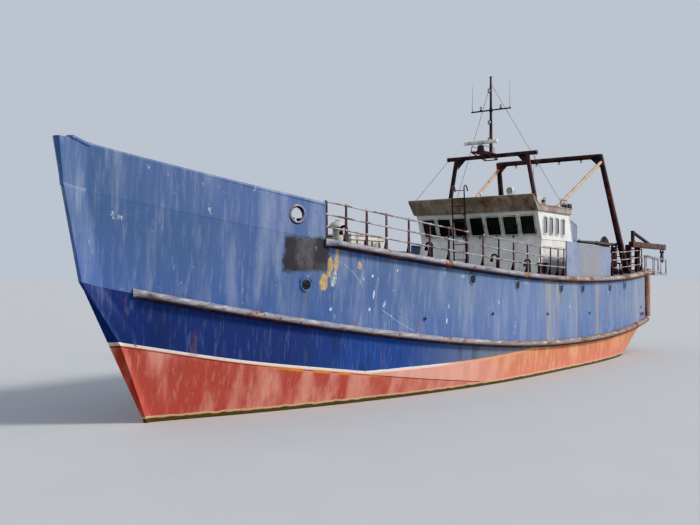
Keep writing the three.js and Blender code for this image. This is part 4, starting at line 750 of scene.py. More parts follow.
# Bow bulwark. Plate raised above the deck edge round the bow, growing taller and flaring out to the stem,
# with a pipe along its head, triangular stays behind it and a cast ring round each mooring hole.
BOW_FROM = 0.787
BOW_STATIONS = (0.787, 0.83, 0.87, 0.905, 0.935, 0.96, 0.982)
BOW_HEIGHT = 0.9
BOW_WALL = 0.07
BOW_SINK = 0.06
FAIRLEAD_RUN = 25.25
FAIRLEAD_UP = 0.48
FAIRLEAD_RADIUS = 0.19
PATCH_HALF = 0.36


def bow_plate(run, up, face):
    """A point of the bow plate at a run and a height above the deck edge. face 0 is outside and 1 inside;
    the plate leans out and thickens in step with the lean, which grows from 0 aft to 1 at the stem."""
    lean = np.interp(run / 31.0, BOW_STATIONS, np.linspace(0, 1, 7))
    y = half_breadth("rail", run, BELT_DEPTH)
    thick = np.minimum(BOW_WALL + 0.09 * lean, y - 0.008)
    share = np.clip(up / (BOW_HEIGHT * (1 + 0.12 * lean)), -0.07, 1)
    forward = np.clip((run - 30.44) / 0.56, 0, 1) * np.where(face > 0, -0.22, 0.16 * np.clip(share, 0, 1))
    return np.stack(np.broadcast_arrays(run - MIDSHIP + forward, y + 0.06 * lean * share - thick * face,
                                        sheer("rail", run) + up), -1)


def bow_top(run):
    """Height of the head of the bow plate above the deck edge."""
    return BOW_HEIGHT * (1 + 0.12 * np.interp(run / 31.0, BOW_STATIONS, np.linspace(0, 1, 7)))


def bow_band(runs):
    """Rings of the plate's section at each run: up the outside and down the inside."""
    rise = np.linspace(0, 1, 6)[None]
    top = bow_top(runs)[:, None]
    heights = -BOW_SINK + (top + BOW_SINK) * rise
    runs = np.repeat(runs[:, None], 6, 1)
    outer = bow_plate(runs, heights, 0.0)
    inner = bow_plate(runs, heights, 1.0)
    return np.concatenate([outer, inner[:, ::-1]], 1)


def hoop(rings):
    """A closed skin through rings that come back to the first one, as round a hole."""
    rows, columns = rings.shape[:2]
    r, c = np.meshgrid(np.arange(rows), np.arange(columns), indexing="ij")
    a, b = r * columns + c, r * columns + (c + 1) % columns
    e, f = (r + 1) % rows * columns + c, (r + 1) % rows * columns + (c + 1) % columns
    return rings.reshape(-1, 3), np.stack([a, b, f, e], -1).reshape(-1, 4).tolist()


def holed_patch():
    """The stretch of plate with the mooring hole: rays from the hole's circle out to the patch's edges."""
    low, high = -BOW_SINK, float(bow_top(FAIRLEAD_RUN))
    corners = [np.arctan2(z - FAIRLEAD_UP, x) for x in (-PATCH_HALF, PATCH_HALF) for z in (low, high)]
    angle = np.unique(np.concatenate([np.linspace(-np.pi, np.pi, 48, endpoint=False), corners]))
    x, z = np.cos(angle), np.sin(angle)
    reach = np.minimum(PATCH_HALF / np.maximum(np.abs(x), 1e-9),
                       np.where(z > 0, high - FAIRLEAD_UP, FAIRLEAD_UP - low) / np.maximum(np.abs(z), 1e-9))
    radius = FAIRLEAD_RADIUS + (reach - FAIRLEAD_RADIUS) * np.linspace(0, 1, 5)[:, None]
    run, up = FAIRLEAD_RUN + radius * x, FAIRLEAD_UP + radius * z
    return hoop(np.concatenate([bow_plate(run, up, 0.0)[::-1], bow_plate(run, up, 1.0)]))


def tube(path, radius, sides=16):
    """A round bar along a path: circles of the radius, square to the path."""
    path = np.asarray(path, float)
    along = np.gradient(path, axis=0)
    along /= np.linalg.norm(along, axis=1)[:, None]
    level = np.cross(along, np.eye(3)[np.argmin(np.abs(along).max(0))])
    level /= np.linalg.norm(level, axis=1)[:, None]
    up = np.cross(level, along)
    a = np.linspace(0, 2 * np.pi, sides, endpoint=False)[None, :, None]
    size = np.broadcast_to(radius, len(path))[:, None, None]
    return loft(path[:, None] + size * (np.cos(a) * level[:, None] + np.sin(a) * up[:, None]))


def lathe(profile, foot, axis=(0, 0, 1.0), sides=32):
    """A turned shape: each (radius, height) of the profile swept round the axis that starts at the foot."""
    axis = np.asarray(axis, float) / np.linalg.norm(axis)
    u = np.cross(axis, np.eye(3)[np.argmin(np.abs(axis))])
    u /= np.linalg.norm(u)
    v = np.cross(axis, u)
    a = np.linspace(0, 2 * np.pi, sides, endpoint=False)[None, :, None]
    radius, height = np.asarray(profile, float).T[:, :, None, None]
    return loft(np.asarray(foot, float) + radius * (np.cos(a) * u + np.sin(a) * v) + height * axis)


def turned_ring(profile, foot, axis=(0, 0, 1.0), sides=32):
    """A turned shape with an open middle: a closed profile of (radius, height) swept round the axis."""
    points, _ = lathe(profile, foot, axis, sides)
    return hoop(points.reshape(len(profile), sides, 3))


def slab(outline, thick, origin, across, up, bevel=0.004):
    """A plate cut to an outline of (across, up) points, centred on the plane through the origin; its edges
    are chamfered by drawing the outline in towards its own middle at both faces."""
    outline = np.asarray(outline, float)
    across, up = np.asarray(across, float), np.asarray(up, float)
    middle = outline.mean(0)
    drawn = outline + (middle - outline) / np.linalg.norm(middle - outline, axis=1)[:, None] * bevel
    normal = np.cross(across, up)
    depths = (-thick / 2, bevel - thick / 2, thick / 2 - bevel, thick / 2)
    rings = [edge[:, :1] * across + edge[:, 1:] * up + normal * depth
             for edge, depth in zip((drawn, outline, outline, drawn), depths)]
    return loft(np.asarray(origin, float) + np.array(rings))


aft_runs = np.linspace(BOW_FROM * 31, FAIRLEAD_RUN - PATCH_HALF, 6)
fore_runs = np.concatenate([np.linspace(FAIRLEAD_RUN + PATCH_HALF, 30.4, 60), np.linspace(30.44, 31.0, 12)])
fore = bow_band(fore_runs)
nose = (fore[-1] * (1, 0, 1) + (0.05, 0, 0))[None]
plates = [loft(bow_band(aft_runs)), holed_patch()]
parts = plates + [mirrored(part) for part in plates]
parts.append(loft(np.concatenate([fore, nose, (fore * (1, -1, 1))[::-1]])))
head = bow_plate(np.concatenate([np.linspace(BOW_FROM * 31, 30.44, 60), np.linspace(30.46, 31.0, 10)]), 0.0,
                 0.5)
head_runs = head[:, 0] + MIDSHIP
head[:, 2] += bow_top(head_runs)
head[:, 1] += 0.06 * np.interp(head_runs / 31, BOW_STATIONS, np.linspace(0, 1, 7))
head = np.concatenate([head, [head[-1] * (1, 0, 1) + (0.07, 0, 0)], (head * (1, -1, 1))[::-1]])
parts.append(tube(head, 0.055, 14))
for run in np.arange(24.75, 30.4, 0.85):
    if abs(run - FAIRLEAD_RUN) < 0.3:
        continue
    foot = bow_plate(np.array(run), np.array(0.0), np.array(1.0))
    height = float(bow_top(run)) * 0.85
    stay = slab([(-0.02, -0.03), (-0.02, height), (-0.06, height), (-0.34, 0.04), (-0.34, -0.03)], 0.012,
                foot, (0, 1, 0), (0, 0, 1))
    parts += [stay, mirrored(stay)]
rim = [(FAIRLEAD_RADIUS + 0.045 * (1 + np.cos(a)) - 0.012, 0.06 * np.sin(a))
       for a in np.linspace(np.pi, -np.pi, 13)]
centre = bow_plate(np.array(FAIRLEAD_RUN), np.array(FAIRLEAD_UP), np.array(0.4))
ring_out = outward(bow_plate(np.array([25.0, 25.5]), np.array([0.5, 0.5]), np.array([0.0, 0.0])))[0]
ring = turned_ring(rim[:-1], centre, ring_out, 40)
piece("bow_bulwark_plate", parts + [ring, mirrored(ring)], [topside] * len(parts) + [belting_paint] * 2,
      slot="topside_paint", stands_for=["bow_bulwark"], crease=40)


# Guard rails. Three pipes, once white, run through flat-bar posts that taper up from a foot plate and an
# inboard gusset; one low pipe crosses the gangway gap. The posts have rusted almost black.
RAIL_HEIGHTS = (1.01, 0.67, 0.335)
RAIL_RADIUS = 0.024
RAIL_INSET = 0.13
POST_FOOT = 0.1
POST_HEAD = 0.056
POST_THICK = 0.026
GAP_POSTS = (18.5, 17.6)
FORWARD_POSTS = (24.25, 23.6, 22.88, 22.15, 21.26, 20.35, 19.46, 18.5)
AFTER_POSTS = (17.6, 16.6, 15.5, 14.4, 13.3, 12.4, 11.7, 11.15)
STERN_POSTS = (5.7, 4.3, 1.5, 0.5)
STERN_RUN = 0.16
STERN_CORNER_IN = 0.33
STERN_ACROSS = (-1.3, 0.0, 1.3)

post_iron, tree, finish = material("post_iron")
where = position(tree)
masks = use(tree, weather, Rust=0.9, Streaks=0.6, Scale=2.4)
rust = use(tree, rust_tone, Scale=2.0)
old = over(tree, ramp(tree, masks["Chalk"], 0.4, 0.6), paint_rgb(44, 38, 46), paint_rgb(78, 68, 76))
shown = over(tree, sums(tree, "MULTIPLY", masks["Rust"], 0.25), old, rust["Color"])
finish(over(tree, sums(tree, "MULTIPLY", masks["Chips"], 0.5), shown, paint_rgb(168, 160, 160)),
       ramp(tree, masks["Rust"], 0.0, 1.0, (0.55, 0.9)), masks["Height"], strength=0.6, distance=0.004)

rail_white, tree, finish = material("rail_white")
masks = use(tree, weather, Rust=0.75, Streaks=0.4, Scale=3.0)
white = tinted(tree, paint_rgb(178, 172, 176), paint_rgb(130, 122, 128), masks["Chalk"])
shown, mask = rusted(tree, white, masks, share=0.75, runs=0.5, scale=3.0)
finish(over(tree, sums(tree, "MULTIPLY", masks["Chips"], 0.8), shown, paint_rgb(92, 66, 54)),
       ramp(tree, mask, 0.0, 1.0, (0.45, 0.9)), masks["Height"], strength=0.5, distance=0.003)


def rail_foot(runs, y_in=RAIL_INSET):
    """Where the guard rail stands on the deck edge, port side."""
    runs = np.asarray(runs, float)
    return np.stack([runs - MIDSHIP, half_breadth("rail", runs, BELT_DEPTH) - y_in, sheer("rail", runs)], -1)


def rail_post(foot, along=(1.0, 0, 0), height=RAIL_HEIGHTS[0] + 0.03):
    """A tapering flat bar on a foot plate, with a gusset inboard of it."""
    inboard = np.cross((0, 0, 1.0), along) * (-1 if foot[1] > 0 else 1)
    wide, slim = POST_FOOT / 2, POST_HEAD / 2
    bar = slab([(-wide, -0.05), (wide, -0.05), (slim, height), (slim - 0.014, height + 0.012),
                (0.014 - slim, height + 0.012), (-slim, height)], POST_THICK, foot, along, (0, 0, 1.0), 0.005)
    gusset = slab([(0, -0.05), (0.0, 0.3), (0.03, 0.3), (0.11, 0.03), (0.11, -0.05)], 0.012, foot, inboard,
                  (0, 0, 1.0), 0.003)
    plate = slab([(-0.09, -0.06), (0.09, -0.06), (0.09, 0.06), (-0.09, 0.06)], 0.03,
                 foot + (0, 0, 0.012), along, np.cross((0, 0, 1.0), along), 0.004)
    return [bar, gusset, plate]


def collars(foot, along, heights):
    """Short thick rings welded where each pipe goes through a post."""
    return [tube([foot + np.multiply(along, -0.035) + (0, 0, up),
                  foot + np.multiply(along, 0.035) + (0, 0, up)], RAIL_RADIUS + 0.012, 12)
            for up in heights]


posts, pipes = [], []
for runs, heights in ((FORWARD_POSTS, RAIL_HEIGHTS), (GAP_POSTS, RAIL_HEIGHTS[2:]),
                      (AFTER_POSTS, RAIL_HEIGHTS)):
    smooth = np.linspace(runs[0] + 0.03, runs[-1] - 0.03, max(2, int(abs(runs[0] - runs[-1]) / 0.25)))
    for up in heights:
        pipes.append(tube(rail_foot(smooth) + (0, 0, up), RAIL_RADIUS, 12))
for run in FORWARD_POSTS + AFTER_POSTS:
    foot = rail_foot(run)
    along = rail_foot(run + 0.1) - foot
    along = along * (1, 1, 0) / np.linalg.norm(along[:2])
    posts += rail_post(foot, along)
    pipes += collars(foot, along, RAIL_HEIGHTS)
pair_of_pieces("side_railing_bars", posts + pipes, [post_iron] * len(posts) + [rail_white] * len(pipes),
               slot="white_paint", stands_for="side_railing", crease=40)

along_side = rail_foot(np.linspace(5.73, 0.5, 22))
corner = rail_foot(STERN_RUN)
corner[1] = along_side[-1, 1] - STERN_CORNER_IN
turn = np.linspace(0, 1, 9)[1:, None]
knee = np.array([corner[0], along_side[-1, 1], corner[2]])
bend = along_side[-1] * (1 - turn) ** 2 + 2 * knee * turn * (1 - turn) + corner * turn**2
half_loop = np.concatenate([along_side, bend])
stern_loop = np.concatenate([half_loop, np.linspace(corner, corner * (1, -1, 1), 12)[1:-1],
                             (half_loop * (1, -1, 1))[::-1]])
posts = []
pipes = [tube(stern_loop + (0, 0, up), RAIL_RADIUS, 12) for up in RAIL_HEIGHTS]
for run in STERN_POSTS:
    foot = rail_foot(run)
    for made, kind in ((rail_post(foot), posts), (collars(foot, (1.0, 0, 0), RAIL_HEIGHTS), pipes)):
        kind.extend(made + [mirrored(part) for part in made])
for y in (-corner[1], *STERN_ACROSS, corner[1]):
    foot = np.array([corner[0], y, corner[2]])
    posts += rail_post(foot + (0, 1e-4, 0), (0, 1.0, 0))
    pipes += collars(foot, (0, 1.0, 0), RAIL_HEIGHTS)
piece("stern_railing_bars", posts + pipes, [post_iron] * len(posts) + [rail_white] * len(pipes),
      slot="white_paint", stands_for=["stern_railing"], crease=40)


# Quarter bulwarks. Tall plates that shelter the working deck beside the wheelhouse, with a rolled head and
# three stays behind; light blue, with broad tan runs where water has come down them.
QUARTER_RUNS = (6.2, 11.0)
QUARTER_TOPS = (4.75, 4.87)
QUARTER_WALL = 0.06
QUARTER_INSET = 0.06
QUARTER_STAYS = (7.1, 8.6, 10.1)
quarter_paint, tree, finish = material("quarter_paint")
where = position(tree)
masks = use(tree, weather, Rust=0.34, Streaks=0.5, Scale=1.4)
blue = tinted(tree, paint_rgb(122, 135, 164), paint_rgb(140, 150, 174), masks["Chalk"])
tan_runs = noise(tree, where, 4.0, stretch=(1, 1, 0.03), detail=4.0)
washed = inside(tree, axes(tree, where)[0], 7.6 - MIDSHIP, 9.6 - MIDSHIP, 0.3)
washed = sums(tree, "MULTIPLY", washed, ramp(tree, tan_runs, 0.34, 0.56))
blue = over(tree, sums(tree, "MULTIPLY", washed, 0.8), blue, paint_rgb(148, 142, 134))
blue = over(tree, ramp(tree, tan_runs, 0.56, 0.68, (0.0, 0.4)), blue, paint_rgb(150, 140, 130))
shown, mask = rusted(tree, blue, masks, share=0.9, runs=0.6)
finish(shown, ramp(tree, mask, 0.0, 1.0, (0.5, 0.85)), masks["Height"], strength=0.5, distance=0.008)

runs = np.linspace(*QUARTER_RUNS, 40)
outer = np.stack([runs - MIDSHIP, half_breadth("rail", runs, BELT_DEPTH) - QUARTER_INSET,
                  sheer("rail", runs)], -1)
tops = np.interp(runs, QUARTER_RUNS, QUARTER_TOPS)
rows = np.linspace(0, 1, 8)
outside = outer[:, None] + (0, 0, 1) * ((tops - outer[:, 2])[:, None] * rows - 0.05 * (1 - rows))[..., None]
dent = 0.012 * np.sin(np.pi * (runs - 6.2) / 1.5)[:, None] ** 2 * np.sin(np.pi * rows)[None] ** 2
outside[..., 1] -= dent
inside_face = outside - (0, QUARTER_WALL * 0.5, 0)
parts = [loft(np.concatenate([outside, inside_face[:, ::-1]], 1))]
head = np.stack([runs - MIDSHIP, outer[:, 1] - QUARTER_WALL / 2, tops], -1)
parts.append(tube(head, 0.038, 12))
parts.append(tube([head[0], head[0] * (1, 1, 0) + (0, 0, outer[0, 2] - 0.05)], 0.032, 12))
parts.append(tube([head[-1], head[-1] * (1, 1, 0) + (0, 0, outer[-1, 2] - 0.05)], 0.032, 12))
for run in QUARTER_STAYS:
    foot = rail_foot(run, QUARTER_INSET + QUARTER_WALL / 2)
    parts.append(slab([(0, -0.05), (0, 0.9), (-0.05, 0.9), (-0.42, 0.06), (-0.42, -0.05)], 0.014, foot,
                      (0, 1, 0), (0, 0, 1)))
pair_of_pieces("quarter_bulwark_plate", parts, quarter_paint, slot="topside_paint",
               stands_for="quarter_bulwark", crease=40)


# Wheelhouse. Four welded steel walls that knuckle at the sill and rake forward over it, painted white and
# weeping rust from every frame and seam. The walls are the ship's own plates, finished anew.
HOUSE_HALF = 2.67
HOUSE_LEVELS = (3.4, 5.0, 6.07)
HOUSE_RUNS = {"fore": (11.98, 11.43, 11.83), "aft": (8.8, 8.43, 8.76)}
white_steel, tree, finish = material("white_steel")
where = position(tree)
height = axes(tree, where)[2]
masks = use(tree, weather, Rust=0.42, Streaks=0.4, Scale=1.7)
plates = use(tree, plating, Butts=1.35, Frames=0.45)
white = tinted(tree, paint_rgb(240, 239, 235), paint_rgb(220, 218, 213), masks["Chalk"])
facing = [sums(tree, "ABSOLUTE", value) for value in axes(tree, put(tree, "NewGeometry").outputs["Normal"])]
spots = axes(tree, where)
along = sums(tree, "MULTIPLY_ADD", spots[0], facing[1], sums(tree, "MULTIPLY", spots[1], facing[0]))
on_wall = put(tree, "CombineXYZ", {"X": along, "Z": height}).outputs["Vector"]
drips = noise(tree, on_wall, 9.0, stretch=(1, 1, 0.06), detail=4.0)
low_wall = ramp(tree, height, 5.1, 3.5)
damp = sums(tree, "MULTIPLY", ramp(tree, drips, 0.5, 0.7), sums(tree, "MULTIPLY_ADD", low_wall, 0.5, 0.12))
white = over(tree, damp, white, paint_rgb(168, 140, 112))
shown, mask = rusted(tree, white, masks, share=0.8, runs=0.0, scale=1.6)
finish(shown, ramp(tree, mask, 0.0, 1.0, (0.42, 0.85)),
       sums(tree, "MULTIPLY_ADD", plates["Height"], 0.4, sums(tree, "MULTIPLY", masks["Height"], 0.2)),
       strength=0.45, distance=0.008)


def refinish(finish, *names):
    """Gives plates and bars that keep the shape they came with a finish of their own."""
    for name in names:
        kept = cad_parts[name]
        if not kept.material_slots:
            kept.data.materials.append(finish)
        for slot in kept.material_slots:
            slot.material = finish


refinish(white_steel, "wheelhouse_front", "wheelhouse_back", "wheelhouse_port_side",
         "wheelhouse_starboard_side", "wheelhouse_door")


def wall_run(end, z):
    """Run of the outer face of the fore or aft wall at a height."""
    return float(np.interp(z, HOUSE_LEVELS, HOUSE_RUNS[end]))


# Window frames. Aluminium rings with rounded corners screwed over each opening, and in each a pane of glass
# in a black rubber strip, streaked with dried salt: dark tinted in the front and aft walls, and pale grey at
# the sides, where the grey is painted sky light. The long strips of glass behind them are the inner glazing.
FORE_PITCH = 0.73
FORE_SIZE = (0.6, 5.18, 5.9)
SIDE_RUNS = (9.4, 9.98, 10.56, 11.12)
SIDE_SIZE = (0.37, 5.2, 5.86)
AFT_SIDES = (-1.4, 1.4)
AFT_SIZE = (0.7, 5.25, 5.8)
FRAME_SECTION = np.array([(-0.03, -0.07), (-0.03, 0.012), (-0.022, 0.02), (0.038, 0.02), (0.048, 0.01),
                          (0.048, -0.003), (0.0, -0.003)])
RUBBER_SECTION = np.array([(-0.048, -0.022), (-0.048, -0.002), (-0.042, 0.004), (-0.028, 0.006),
                           (-0.028, -0.022)])
PANE_BACK = 0.012

frame_metal, tree, finish = material("window_frame_metal", metallic=0.35)
masks = use(tree, weather, Rust=0.5, Streaks=0.4, Scale=3.0)
grey = tinted(tree, paint_rgb(216, 215, 210), paint_rgb(178, 176, 170), masks["Chalk"])
shown, mask = rusted(tree, grey, masks, share=0.6, runs=0.4, scale=3.0)
finish(shown, ramp(tree, masks["Chalk"], 0.3, 0.7, (0.35, 0.6)), masks["Height"], strength=0.2,
       distance=0.002)

rubber, tree, finish = material("black_rubber")
cloud = noise(tree, position(tree), 8.0)
finish(over(tree, cloud, paint_rgb(24, 24, 25), paint_rgb(46, 45, 44)), ramp(tree, cloud, 0, 1, (0.6, 0.85)))

panes = {}
# The side panes are pale grey: painted sky light on the glass, under the same salt streaks as the dark panes.
for label, clear, haze, spread in (("window_glass", (50, 46, 45), (92, 86, 82), 0.15),
                                   ("salted_window_glass", (116, 120, 124), (160, 162, 164), 0.55)):
    panes[label], tree, finish = material(label, coat=0.6, Coat_Roughness=0.03, Transmission_Weight=0.25,
                                          IOR=1.5)
    where = position(tree)
    dust = noise(tree, where, 3.0, detail=6.0, rough=0.7)
    salt = noise(tree, where, 14.0, stretch=(1, 1, 0.25), detail=5.0, rough=0.75)
    tinted_glass = over(tree, ramp(tree, dust, 0.45, 0.75, (spread, 0.5 + spread * 0.5)), paint_rgb(*clear),
                        paint_rgb(*haze))
    finish(over(tree, ramp(tree, salt, 0.6, 0.72, (0.0, 0.35)), tinted_glass, paint_rgb(168, 168, 164)),
           ramp(tree, dust, 0.3, 0.8, (0.05, 0.28)))
glass = panes["window_glass"]
refinish(glass, "windscreen", "back_glass")
refinish(panes["salted_window_glass"], "port_glass", "starboard_glass")


def rounded_loop(half_width, half_height, corner, steps=6):
    """A rounded rectangle: four quarter circles as (across, up) points, and the way out at each point."""
    a = np.radians(np.concatenate([np.linspace(start, start + 90, steps) for start in (0, 90, 180, 270)]))
    way = np.stack([np.cos(a), np.sin(a)], -1)
    signs = np.repeat([(1, 1), (-1, 1), (-1, -1), (1, -1)], steps, 0)
    return signs * (half_width - corner, half_height - corner) + corner * way, way


def framed(loop, section, centre, across, up):
    """A section of (outwards, proud) points carried round a loop drawn on a wall, as a frame round a hole."""
    points, way = loop
    section = np.asarray(section, float)
    across, up = np.asarray(across, float), np.asarray(up, float)
    middle = np.asarray(centre, float) + points[:, :1] * across + points[:, 1:] * up
    spread = way[:, :1] * across + way[:, 1:] * up
    return hoop(middle[:, None] + section[None, :, :1] * spread[:, None]
                + section[None, :, 1:] * np.cross(across, up))


def end_plane(end, low, high):
    """Centre, way across and way up of a window in the fore or aft wall, seen from outside."""
    middle = (low + high) / 2
    foot, head = (np.array([wall_run(end, z) - MIDSHIP, 0, z]) for z in HOUSE_LEVELS[1:])
    up = (head - foot) / np.linalg.norm(head - foot)
    across = np.array([0, 1.0, 0]) if end == "fore" else np.array([0, -1.0, 0])
    return np.array([wall_run(end, middle) - MIDSHIP, 0, middle]), across, up


windows = []
centre, across, up = end_plane("fore", *FORE_SIZE[1:])
for k in range(7):
    windows.append((centre + (0, (k - 3) * FORE_PITCH, 0), across, up, FORE_SIZE))
centre, across, up = end_plane("aft", *AFT_SIZE[1:])
for y in AFT_SIDES:
    windows.append((centre + (0, y, 0), across, up, AFT_SIZE))
for side, runs in ((1, SIDE_RUNS), (-1, SIDE_RUNS[2:])):
    for run in runs:
        windows.append((np.array([run - MIDSHIP, side * HOUSE_HALF, sum(SIDE_SIZE[1:]) / 2]),
                        np.array([-side * 1.0, 0, 0]), np.array([0, 0, 1.0]), SIDE_SIZE))
rings, seals, bolts, outer_panes, pane_finish = [], [], [], [], []
for centre, across, up, (width, low, high) in windows:
    loop = rounded_loop(width / 2, (high - low) / 2 / up[2], 0.08)
    seen = rounded_loop(width / 2 - 0.036, (high - low) / 2 / up[2] - 0.036, 0.05)[0]
    outer_panes.append(slab(seen, 0.008, centre - np.cross(across, up) * PANE_BACK, across, up, 0.001))
    pane_finish.append(panes["salted_window_glass" if width == SIDE_SIZE[0] else "window_glass"])
    rings.append(framed(loop, FRAME_SECTION, centre, across, up))
    seals.append(framed(loop, RUBBER_SECTION, centre, across, up))
    for point, way in zip(*[group[::3] for group in loop]):
        seat = centre + (point[0] + way[0] * 0.02) * across + (point[1] + way[1] * 0.02) * up
        bolts.append(lathe([(0, 0.016), (0.008, 0.016), (0.009, 0.022), (0.006, 0.026), (0, 0.027)], seat,
                           np.cross(across, up), 6))
piece("window_frames", rings + seals + bolts,
      [frame_metal] * len(rings) + [rubber] * len(seals) + [frame_metal] * len(bolts), slot="white_paint")
piece("window_panes", outer_panes, pane_finish, slot="window_glass")


# Wheelhouse trim: a flat bar along the knuckle, a rounding bar down each corner, a grab rail under the side
# windows and four short studs on the front, all welded on and painted with the walls.
KNUCKLE = HOUSE_LEVELS[1]


def ball_box(low, high, radius=0.01, steps=2):
    """A box with rounded edges: a small ball cut in eight, each eighth moved out to its own corner."""
    low, high = np.minimum(low, high), np.maximum(low, high)
    quarter = np.linspace(0, 90, steps + 1)
    azimuth = np.radians(np.concatenate([quarter + 90 * q for q in range(4)]))
    corner = np.repeat([(1, 1), (-1, 1), (-1, -1), (1, -1)], steps + 1, 0)
    height = np.radians(np.concatenate([quarter - 90, quarter]))[:, None]
    rise = np.repeat([-1, 1], steps + 1)[:, None]
    normal = np.stack(np.broadcast_arrays(np.cos(height) * np.cos(azimuth), np.cos(height) * np.sin(azimuth),
                                          np.sin(height)), -1)
    sign = np.stack(np.broadcast_arrays(corner[:, 0][None], corner[:, 1][None], rise), -1)
    half = (high - low) / 2 - radius
    return loft((low + high) / 2 + sign * half + radius * normal)


def on_ship(run, y, z):
    """A place on board, from its run forward of the transom."""
    return np.array([run - MIDSHIP, y, z], float)


def bent_bar(corners, radius, sides=12, bend=0.08):
    """A pipe through corner points, each corner a parabola that starts and ends one bend away from it."""
    corners = [np.asarray(point, float) for point in corners]
    path = [corners[0]]
    for before, corner, after in zip(corners, corners[1:], corners[2:]):
        start = corner + (before - corner) / np.linalg.norm(before - corner) * bend
        end = corner + (after - corner) / np.linalg.norm(after - corner) * bend
        t = np.linspace(0, 1, 6)[:, None]
        path.extend(start * (1 - t) ** 2 + 2 * corner * t * (1 - t) + end * t**2)
    path.append(corners[-1])
    return tube(path, radius, sides)


trim = []
for side in (-1, 1):
    y = side * HOUSE_HALF
    for end in ("fore", "aft"):
        out = 0.006 if end == "fore" else -0.006
        trim.append(tube([on_ship(wall_run(end, z) + out, y, z)
                          for z in (sheer("rail", wall_run(end, 3.6)) + 0.1, KNUCKLE,
                                    HOUSE_LEVELS[2] - 0.01)], 0.028, 12))
    runs = [wall_run("aft", KNUCKLE), wall_run("fore", KNUCKLE)]
    if side > 0:
        trim.append(ball_box(on_ship(runs[0], y - 0.005, KNUCKLE - 0.02),
                             on_ship(runs[1], y + 0.022, KNUCKLE + 0.02), 0.006))
        trim.append(bent_bar([on_ship(9.0, y, 4.72), on_ship(9.0, y + 0.09, 4.72),
                              on_ship(11.3, y + 0.09, 4.72), on_ship(11.3, y, 4.72)], 0.017, 10, 0.05))
    else:
        trim.append(ball_box(on_ship(9.86, y + 0.005, KNUCKLE - 0.02),
                             on_ship(runs[1], y - 0.022, KNUCKLE + 0.02), 0.006))
        trim.append(bent_bar([on_ship(10.0, y, 4.72), on_ship(10.0, y - 0.09, 4.72),
                              on_ship(11.3, y - 0.09, 4.72), on_ship(11.3, y, 4.72)], 0.017, 10, 0.05))
for end, out in (("fore", 1), ("aft", -1)):
    run = wall_run(end, KNUCKLE)
    trim.append(ball_box(on_ship(run - out * 0.005, -HOUSE_HALF, KNUCKLE - 0.02),
                         on_ship(run + out * 0.022, HOUSE_HALF, KNUCKLE + 0.02), 0.006))
for y in (-0.4, 1.35):
    for z in (4.0, 4.6):
        run = wall_run("fore", z)
        trim.append(tube([on_ship(run - 0.01, y - 0.3, z), on_ship(run + 0.05, y - 0.3, z)], 0.012, 8))
piece("wheelhouse_trim", trim, white_steel, slot="white_paint", crease=40)

# Wheelhouse door fittings: a raised frame round the doorway, and on the door itself a round deadlight, a
# lever handle and stiffening bars.
DOOR_RUNS = (9.0, 9.72)
DOOR_HEIGHTS = (3.83, 5.78)
DOOR_OUT = -2.672
middle = on_ship(sum(DOOR_RUNS) / 2, -HOUSE_HALF, sum(DOOR_HEIGHTS) / 2)
loop = rounded_loop((DOOR_RUNS[1] - DOOR_RUNS[0]) / 2 + 0.012,
                    (DOOR_HEIGHTS[1] - DOOR_HEIGHTS[0]) / 2 + 0.012, 0.03)
coaming = np.array([(0.0, -0.004), (0.0, 0.012), (0.006, 0.018), (0.03, 0.018), (0.036, 0.012),
                    (0.036, -0.004)])
surround = framed(loop, coaming, middle, (1, 0, 0), (0, 0, 1))
piece("doorway_frame", [surround], white_steel, slot="white_paint")
face = middle * (1, 0, 1) + (0, DOOR_OUT - 0.002, 0)
deadlight = turned_ring([(0.165, 0.0), (0.165, 0.018), (0.155, 0.026), (0.125, 0.026), (0.115, 0.016),
                         (0.115, 0.0)], face + (0, 0, 0.42), (0, -1, 0), 36)
pane = lathe([(0, -0.004), (0.118, -0.004), (0.118, 0.008), (0, 0.01)], face + (0, 0, 0.42), (0, -1, 0), 36)
lever = bent_bar([face + (-0.27, 0.004, -0.1), face + (-0.27, -0.035, -0.1), face + (-0.14, -0.035, -0.1)],
                 0.011, 10, 0.015)
rose = lathe([(0, 0), (0.03, 0), (0.03, 0.006), (0.024, 0.01), (0, 0.01)], face + (-0.27, 0, -0.1),
             (0, -1, 0), 20)
bars = [ball_box(face + (-0.24, 0.004, z - 0.02), face + (0.24, -0.012, z + 0.02), 0.005)
        for z in (-0.75, -0.4)]
piece("wheelhouse_door_fittings", [deadlight, pane, lever, rose] + bars,
      [frame_metal, glass, frame_metal, frame_metal, white_steel, white_steel], body="wheelhouse_door",
      slot="white_paint")


# Wheelhouse roof. A boxed plate deck with a tall brow raked forward to shade the windscreen, a round bar
# let into its edges and flat stiffeners down the brow; tan paint gone chalky, rusting from the edge.
ROOF_RUNS = (8.64, 11.96)
ROOF_HALF = 2.74
ROOF_FOOT = 6.0705
ROOF_TOP = 6.31
BROW_RUN = 12.4
BROW_TOP = 6.65
fascia_paint, tree, finish = material("fascia_paint")
where = position(tree)
masks = use(tree, weather, Rust=0.5, Streaks=0.8, Scale=1.5)
facing = axes(tree, put(tree, "NewGeometry").outputs["Normal"])[2]
tan = tinted(tree, paint_rgb(172, 160, 148), paint_rgb(140, 128, 118), masks["Chalk"])
tan = over(tree, ramp(tree, facing, 0.5, 0.95), tan, paint_rgb(176, 176, 172))
brown_runs = noise(tree, where, 4.0, stretch=(1, 1, 0.05), detail=4.0)
tan = over(tree, ramp(tree, brown_runs, 0.5, 0.7, (0.0, 0.7)), tan, paint_rgb(124, 96, 78))
shown, mask = rusted(tree, tan, masks, share=0.9, runs=0.6)
finish(shown, ramp(tree, mask, 0.0, 1.0, (0.5, 0.85)), masks["Height"], strength=0.45, distance=0.006)

